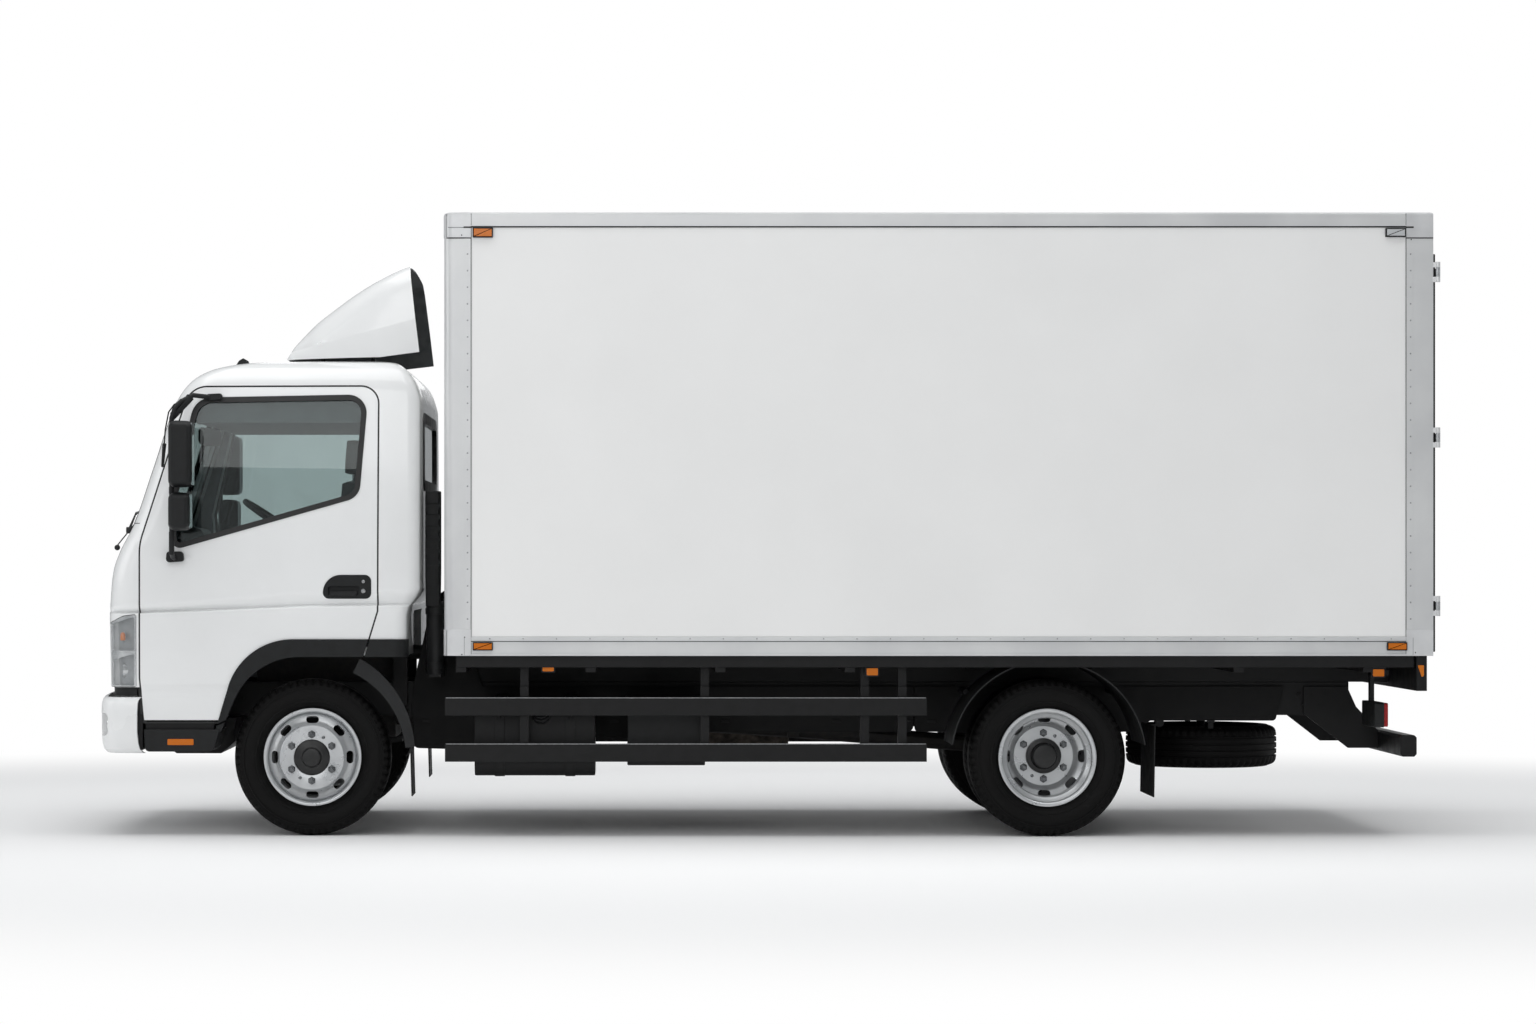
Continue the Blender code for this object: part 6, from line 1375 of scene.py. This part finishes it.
add_box(bm, (-0.64, -0.50, 1.17), (-0.40, -0.40, 1.25))
add_prism(bm, rounded(((-0.62, 1.385, 0.0), (-0.545, 1.375, 0.02), (-0.56, 1.475, 0.03), (-0.66, 1.495, 0.03),
                       (-0.72, 1.440, 0.0)), 5), "xz", -0.64, -0.26)
fit(shape("steering_column", bm), dash_grey, "cab", edge_mm=3.0)
bm = bmesh.new()
add_lathe(bm, [(0.20 + 0.0145 * math.cos(math.tau * k / 14), 0.0145 * math.sin(math.tau * k / 14))
               for k in range(14)], (0, 0, 0), 72, "Z")
add_lathe(bm, ((0.0, -0.028), (0.044, -0.028), (0.058, -0.010), (0.062, 0.004), (0.054, 0.014), (0.0, 0.020)),
          (0, 0, 0), 40, "Z")
for a in (0, 180, 270):
    c, s = math.cos(math.radians(a + 90)), math.sin(math.radians(a + 90))
    add_tube(bm, (0.05 * c, 0.05 * s, -0.004), (0.198 * c, 0.198 * s, 0.0), 0.013, 14, 0.010)
bmesh.ops.transform(bm, matrix=Matrix.Translation(WHEEL_HUB) @ COLUMN_TILT.to_4x4(), verts=bm.verts)
fit(shape("steering_wheel_moulded", bm), moulded_black, "steering_wheel", "steering_wheel", smooth=50)
bm = bmesh.new()
oval = pad((-0.110, 0.110), (1.900, 1.990), 0.03)
add_loft(bm, [[Vector((-0.59 + x + 0.35 * y, y, z - 0.3 * x)) for y, z in grown(oval, -inset)]
              for x, inset in ((-0.016, 0.012), (-0.010, 0.002), (0.004, 0.0), (0.008, 0.002))])
add_tube(bm, (-0.59, 0.0, 1.97), (-0.62, 0.0, 2.09), 0.008, 14)
fit(shape("interior_mirror", bm), moulded_black, "cab", smooth=40)
bm = bmesh.new()
for side in (-1, 1):
    add_prism(bm, rounded(((side * 0.14, 2.040, 0.006), (side * 0.62, 2.030, 0.006),
                           (side * 0.62, 2.048, 0.006), (side * 0.14, 2.058, 0.006)), 3), "yz", -0.72, -0.58)
fit(shape("sun_visors", bm), lining_grey, "cab", edge_mm=5.0)


# The seats: moulded foam under woven cloth, drawn down along the stitched lines and piped at the
# edge, on painted steel boxes. The weave is fine, and the cloth is a little worn.
SEATS = ((-0.76, -0.26, -0.60, -0.40), (-0.20, 0.28, -0.08, 0.12), (0.30, 0.76, 0.43, 0.63))
BACK_TILT = Matrix.Rotation(math.radians(4), 3, "Y")
woven_cloth = mottled("woven_grey_seat_cloth", "#34383A", "#474C4F", 110, 0.92, grain_mm=0.9, relief_mm=0.35,
                      **{"Sheen Weight": 0.25})


def cushion(bm, low, high, turn, pivot, seams):
    """A padded block: rounded all over, crowned, and pulled in along its stitched seams."""
    middle, half = (Vector(low) + Vector(high)) / 2, (Vector(high) - Vector(low)) / 2
    made = bmesh.ops.create_cube(bm, size=2)["verts"]
    edges = list({e for v in made for e in v.link_edges})
    bmesh.ops.subdivide_edges(bm, edges=edges, cuts=15, use_grid_fill=True)
    block_verts = [v for v in bm.verts if not v.tag]
    for v in block_verts:
        v.tag = True
        u = v.co.copy()
        ball = Vector([u.x * math.sqrt(max(0, 1 - u.y ** 2 / 2 - u.z ** 2 / 2 + u.y ** 2 * u.z ** 2 / 3)),
                       u.y * math.sqrt(max(0, 1 - u.z ** 2 / 2 - u.x ** 2 / 2 + u.z ** 2 * u.x ** 2 / 3)),
                       u.z * math.sqrt(max(0, 1 - u.x ** 2 / 2 - u.y ** 2 / 2 + u.x ** 2 * u.y ** 2 / 3))])
        soft = u.lerp(ball, 0.22)
        p = Vector((soft.x * half.x, soft.y * half.y, soft.z * half.z))
        pull = sum(math.exp(-((u.y - s) / 0.05) ** 2) for s in seams)
        face = max(abs(u.x), abs(u.z))
        p -= Vector((u.x, 0, u.z)) * pull * 0.009 * (face > 0.9)
        v.co = pivot + turn @ (middle + p - pivot)


for number, (low_y, high_y, head_low, head_high) in enumerate(SEATS):
    still = Matrix.Identity(3)
    foot = Vector((0.13, 0, 1.27))
    bm = bmesh.new()
    cushion(bm, (-0.235, low_y, 1.165), (0.18, high_y, 1.298), still, Vector(), (-0.55, 0.55))
    base = shape("seat_cushion_%d" % number, bm)
    fit(base, woven_cloth, "cab", *(["seats"] if number == 0 else []), smooth=60)
    bm = bmesh.new()
    cushion(bm, (0.095, low_y + 0.01, 1.262), (0.205, high_y - 0.01, 1.715), BACK_TILT, foot, (-0.55, 0.55))
    rest = shape("seat_back_%d" % number, bm)
    fit(rest, woven_cloth, "cab", smooth=60)
    bm = bmesh.new()
    cushion(bm, (0.095, head_low, 1.745), (0.180, head_high, 1.915), BACK_TILT, foot, ())
    head = shape("headrest_%d" % number, bm)
    fit(head, woven_cloth, "cab", smooth=60)
    bm = bmesh.new()
    for stem in (head_low + 0.05, head_high - 0.05):
        ends = [foot + BACK_TILT @ (Vector((0.14, stem, z)) - foot) for z in (1.68, 1.79)]
        add_tube(bm, ends[0], ends[1], 0.006, 12)
    fit(shape("headrest_stems_%d" % number, bm), zinc_plate, "cab")
    bm = bmesh.new()
    middle = (low_y + high_y) / 2
    if abs(middle) > 0.3:
        add_box(bm, (-0.15, middle - 0.20, 0.9053), (0.19, middle + 0.20, 1.172))
    else:
        add_box(bm, (-0.15, middle - 0.20, HUMP_TOP + 0.001), (0.19, middle + 0.20, 1.172))
    fit(shape("seat_box_%d" % number, bm), chassis_paint, "cab", edge_mm=4.0)


# The body's frame is extruded aluminium, natural anodised: corner posts and rails, with cast
# corners, a lip and a bead along the bottom rail, and rows of blind rivets. Its satin is soft and
# even and greys a little with handling. Painted steel sills stand under it.
BODY_FRONT, BODY_REAR, BODY_HALF = 0.641, 5.354, 1.10
BODY_LOW, BODY_HIGH = 0.868, 2.982
FRONT_SEAM, REAR_SEAM = 0.771, 5.224
CORNER_TOP, CORNER_FOOT = 2.860, 0.993
anodised = mottled("natural_anodised_aluminium", "#D3D4D5", "#DCDDDD", 320, 0.36, grain_mm=2.0,
                   relief_mm=0.01, Metallic=0.3)
cast_aluminium = mottled("cast_corner_aluminium", "#D4D5D6", "#DDDEDF", 90, 0.42, grain_mm=2.0,
                         relief_mm=0.04, Metallic=0.35)
sealant = mottled("grey_joint_sealant", "#3A3C3E", "#55585A", 40, 0.7, grain_mm=2.0, relief_mm=0.05)
dress_solid("body_edge_frame", anodised, 1.5)
POST_RIVETS, POST_RIVET_PITCH, POST_RIVET_TOP = 23, 0.079, 2.782
RAIL_RIVETS, RAIL_RIVET_PITCH, RAIL_RIVET_FIRST = 28, 0.159, 0.86
RIVET = ((0.0, 0.0), (0.0042, 0.0), (0.0040, 0.0009), (0.0026, 0.0019), (0.0, 0.0022))
SMALL_RIVET = ((0.0, 0.0), (0.0036, 0.0), (0.0030, 0.0010), (0.0, 0.0016))
CORNER_SCREW = ((0.0, 0.0), (0.0034, 0.0), (0.0030, 0.0012), (0.0, 0.0018))
BETWEEN = (FRONT_SEAM, REAR_SEAM)


def add_rivet(bm, side, x, out, z, rows):
    add_lathe(bm, sided(rows, side), (x, side * (BODY_HALF + out), z), 10)


strips, dark, grey, rivets, sills = [bmesh.new() for _ in range(5)]
for side in (-1, 1):
    for profile, x, inside, outside, z in (
            # x range, depth below and height above the body's side, z range
            (strips, (0.7385, 0.7685), 0.001, 0.0012, (CORNER_FOOT + 0.002, CORNER_TOP - 0.003)),
            (strips, (5.2265, 5.2570), 0.001, 0.0012, (CORNER_FOOT + 0.002, CORNER_TOP - 0.003)),
            (strips, BETWEEN, 0.001, 0.0045, (0.8685, 0.8775)),
            (strips, BETWEEN, 0.001, 0.003, (0.9300, 0.9345)),
            (strips, BETWEEN, 0.001, 0.003, (2.9155, 2.9195)),
            (strips, BETWEEN, 0.001, 0.0016, (0.9400, 0.9595)),
            (grey, BETWEEN, 0.001, 0.0006, (0.9345, 0.9385)),
            (dark, (FRONT_SEAM - 0.002, REAR_SEAM + 0.002), 0.004, 0.0004, (2.9085, 2.9150)),
            (dark, (0.735, FRONT_SEAM), 0.001, 0.0032, (2.9060, 2.9135)),
            (dark, (REAR_SEAM, 5.260), 0.001, 0.0032, (2.9060, 2.9135)),
            (grey, (FRONT_SEAM - 0.0015, FRONT_SEAM + 0.0015), 0.004, 0.0005, (0.870, 2.975)),
            (grey, (REAR_SEAM - 0.0015, REAR_SEAM + 0.0015), 0.004, 0.0005, (0.870, 2.975)),
            (dark, (BODY_FRONT + 0.012, FRONT_SEAM), 0.001, 0.0018, (2.8560, 2.8610)),
            (dark, (REAR_SEAM, BODY_REAR - 0.001), 0.001, 0.0018, (2.8560, 2.8610))):
        add_side_box(profile, side, x, (BODY_HALF - inside, BODY_HALF + outside), z)
    add_side_box(sills, side, (0.70, 5.27), (BODY_HALF - 0.058, BODY_HALF - 0.040), (0.812, 0.8672))
    for x in (0.7539, 5.2452):
        for k in range(POST_RIVETS):
            add_rivet(rivets, side, x, 0.0012, POST_RIVET_TOP - POST_RIVET_PITCH * k, RIVET)
    for k in range(RAIL_RIVETS):
        add_rivet(rivets, side, RAIL_RIVET_FIRST + RAIL_RIVET_PITCH * k, 0.0016, 0.9498, SMALL_RIVET)
fit(shape("body_sills", sills), chassis_paint, "chassis", edge_mm=2.0)
fit(shape("body_frame_profiles", strips), anodised, "chassis", edge_mm=0.5)
fit(shape("body_frame_gaskets", dark), weather_rubber, "chassis")
fit(shape("body_frame_sealant", grey), sealant, "chassis")
fit(shape("body_frame_rivets", rivets), zinc_plate, "chassis", smooth=50)

plan = rounded(((BODY_FRONT, -BODY_HALF, 0.05), (BODY_REAR, -BODY_HALF, 0.0), (BODY_REAR, BODY_HALF, 0.0),
                (BODY_FRONT, BODY_HALF, 0.05)), 10)
bm = bmesh.new()
for low, high, top in ((CORNER_TOP, BODY_HIGH - 0.0004, 0.016), (BODY_LOW + 0.0004, CORNER_FOOT, 0.003)):
    add_loft(bm, [[Vector((x, y, z)) for x, y in grown(plan, out)] for z, out in (
        (low, 0.0), (low + 0.002, 0.0026), (high - top, 0.0026), (high - top * 0.3, 0.0026 - top * 0.3),
        (high, 0.0026 - top))])
corners = shape("body_corner_castings", bm)
gaps = [block((BODY_FRONT + 0.010, 0.010 - BODY_HALF, 0.5), (BODY_REAR - 0.001, BODY_HALF - 0.010, 2.974)),
        block((FRONT_SEAM - 0.0005, -1.3, 0.5), (REAR_SEAM + 0.0005, 1.3, 3.1)),
        block((0.5, -0.990, 0.5), (FRONT_SEAM + 0.01, 0.990, 3.1)),
        block((5.2, -1.055, 0.5), (5.5, 1.055, 3.1)), block((5.3535, -1.3, 0.5), (5.5, 1.3, 3.1))]
carve_away(corners, *gaps)
fit(corners, cast_aluminium, "chassis", edge_mm=0.8)
bm = bmesh.new()
for side in (-1, 1):
    add_side_box(bm, side, (BODY_FRONT + 0.02, 0.736), (BODY_HALF + 0.0020, BODY_HALF + 0.0031),
                 (2.9078, 2.9100))
    for x in (0.7385, 5.2570):
        add_side_box(bm, side, (x - 0.0007, x + 0.0007), (BODY_HALF + 0.0020, BODY_HALF + 0.0030),
                     (0.872, 0.955))
    for x, z in ((0.740, 0.957), (0.727, 0.875), (5.268, 0.884), (0.726, 2.872), (5.248, 2.851)):
        add_rivet(bm, side, x, 0.0024, z, CORNER_SCREW)
fit(shape("body_corner_joints", bm), sealant, "chassis")


# The panels are glass-fibre faced sandwich boards, gel-coated white and satin, with a faint print of
# the glass below. The floor is phenolic-faced plywood. The side markers sit on the panels and rail.
MARKERS = (
    # station, height, length, height of the lens
    (0.827, 2.884, 0.092, 0.043, "amber"), (5.173, 2.884, 0.092, 0.038, "clear"),
    (0.827, 0.914, 0.092, 0.036, "amber"), (5.180, 0.914, 0.092, 0.036, "amber"),
)
gel_coat = mottled("white_gel_coat_board", "#F2F2F1", "#F5F5F4", 700, 0.36, grain_mm=5.0, relief_mm=0.02)
for name in ("body_wall_left", "body_wall_right", "body_front_wall", "body_roof"):
    dress_solid(name, gel_coat, 0.8)
plywood = mottled("phenolic_faced_plywood", "#2E2119", "#3F2F25", 25, 0.6, grain_mm=2.0, relief_mm=0.1)
dress_solid("body_floor", plywood, 1.0)
bezels, ambers, clears = bmesh.new(), bmesh.new(), bmesh.new()
for side in (-1, 1):
    for x, z, length, tall, colour in MARKERS:
        a, b = length / 2 + 0.002, tall / 2 + 0.002
        edge = pad((x - a, x + a), (z - b, z + b), 0.003, 3)
        add_prism(bezels, edge, "xz", side * (BODY_HALF - 0.004), side * (BODY_HALF + 0.0128))
        lens = clears if colour == "clear" else ambers
        add_prism(lens, grown(edge, -0.0055), "xz", side * (BODY_HALF + 0.012), side * (BODY_HALF + 0.0158))
fit(shape("marker_bezels", bezels), moulded_black, "chassis", edge_mm=1.0)
fit(shape("marker_amber_lenses", ambers), amber_lens, "chassis", edge_mm=1.2)
fit(shape("marker_clear_lenses", clears),
    moulded_lens("frosted_clear_acrylic", "#B9BCBE", "#DADCDD", 3.2, 0.1), "chassis", edge_mm=1.2)
bm = bmesh.new()
for side in (-1, 1):
    add_prism(bm, rounded(((5.284, 0.823, 0.002), (5.314, 0.823, 0.002), (5.314, 0.775, 0.006),
                           (5.304, 0.764, 0.004)), 3),
              "xz", side * 1.0745, side * 1.0785)
fit(shape("rear_beam_reflectors", bm), amber_lens, "chassis", edge_mm=0.8)


# The rear doors: gel-coated boards inside a black rubber seal, each on three galvanised strap hinges
# and shut by a galvanised bar with cams, guides and a flat handle. Zinc shows its spangle.
DOOR_BACK, DOOR_FACE = 5.3395, 5.374
DOOR_LOW, DOOR_HIGH, DOOR_EDGE = 0.886, 2.786, 1.048
HINGE_X, HINGE_Y = 5.374, 1.112
HINGES = (1.106, 1.908, 2.696)
STRAP_RIVETS = (0.885, 0.935, 0.985, 1.030)
BAR_X, BAR_Y = 5.404, 0.36
HANDLE_BOXES = (
    # x, y and z ranges of the handle, its boss on the bar, its plate on the door and its catch
    ((BAR_X - 0.004, BAR_X + 0.004), (0.10, BAR_Y), (1.236, 1.261)),
    ((BAR_X - 0.014, BAR_X + 0.014), (BAR_Y - 0.03, BAR_Y + 0.018), (1.228, 1.269)),
    ((DOOR_FACE - 0.0025, DOOR_FACE + 0.003), (0.045, 0.135), (1.205, 1.290)),
    ((DOOR_FACE, BAR_X + 0.010), (0.070, 0.095), (1.262, 1.278)),
)
BAR_GUIDES = (DOOR_LOW + 0.12, DOOR_LOW + 0.62, DOOR_HIGH - 0.62, DOOR_HIGH - 0.12)
galvanised = mottled("galvanised_steel", "#A4A7A9", "#C2C4C6", 14, 0.40, grain_mm=3.0,
                     relief_mm=0.02, Metallic=0.8)
for word, side in SIDES:
    body = name = "rear_door_" + word
    edge, lip, core = [pad((side * (0.0035 + d), side * (DOOR_EDGE - d)),
                           (DOOR_LOW + d, DOOR_HIGH - d), 0.004, 3)
                       for d in (0.0, 0.018, 0.016)]
    bm = bmesh.new()
    add_prism(bm, core, "yz", DOOR_BACK + 0.002, DOOR_FACE - 0.002)
    fit(shape(name + "_board", bm), gel_coat, body, name, edge_mm=1.0)
    bm = bmesh.new()
    add_band(bm, lip, edge, "yz", DOOR_BACK, DOOR_FACE - 0.0005)
    fit(shape(name + "_seal", bm), weather_rubber, body, edge_mm=1.5)
    bm = bmesh.new()
    for z in HINGES:
        low, high = z - 0.020, z + 0.020
        ring = rounded(((side * 0.86, low, 0.012), (side * 1.100, low, 0.003), (side * 1.100, high, 0.003),
                        (side * 0.86, high, 0.012)), 4)
        add_prism(bm, ring, "yz", DOOR_FACE - 0.0025, DOOR_FACE + 0.0045)
        add_side_box(bm, side, (DOOR_FACE - 0.002, DOOR_FACE + 0.0045), (1.095, HINGE_Y), (low, high))
        add_tube(bm, (HINGE_X, side * HINGE_Y, low - 0.0015),
                 (HINGE_X, side * HINGE_Y, high + 0.0015), 0.0104, 24)
        for y in STRAP_RIVETS:
            add_lathe(bm, ((0.0, 0.0), (0.0085, 0.0), (0.0075, 0.0025), (0.0, 0.004)),
                      (DOOR_FACE + 0.0045, side * y, z), 16, "X")
    y = side * BAR_Y
    add_tube(bm, (BAR_X, y, DOOR_LOW - 0.003), (BAR_X, y, DOOR_HIGH + 0.003), 0.0122, 24)
    for z in BAR_GUIDES:
        add_box(bm, (DOOR_FACE - 0.0025, y - 0.050, z - 0.020), (DOOR_FACE + 0.003, y + 0.050, z + 0.020))
        add_box(bm, (DOOR_FACE, y - 0.0195, z - 0.020), (BAR_X + 0.0158, y + 0.0195, z + 0.020))
        for bolt in (-0.038, 0.038):
            add_lathe(bm, ((0.0, 0.0), (0.007, 0.0), (0.006, 0.003), (0.0, 0.004)),
                      (DOOR_FACE + 0.003, y + bolt, z), 12, "X")
    for z in (DOOR_LOW + 0.018, DOOR_HIGH - 0.018):
        add_box(bm, (BAR_X - 0.016, y - 0.028, z - 0.014), (BAR_X + 0.014, y + 0.014, z + 0.014))
    for box in HANDLE_BOXES:
        add_side_box(bm, side, *box)
    fit(shape(name + "_ironwork", bm), galvanised, body, edge_mm=1.2, smooth=35)
    bm = bmesh.new()
    add_side_box(bm, side, (BAR_X - 0.0075, BAR_X + 0.0075), (0.055, 0.165), (1.2335, 1.2635))
    fit(shape(name + "_grip", bm), moulded_black, body, edge_mm=4.0)
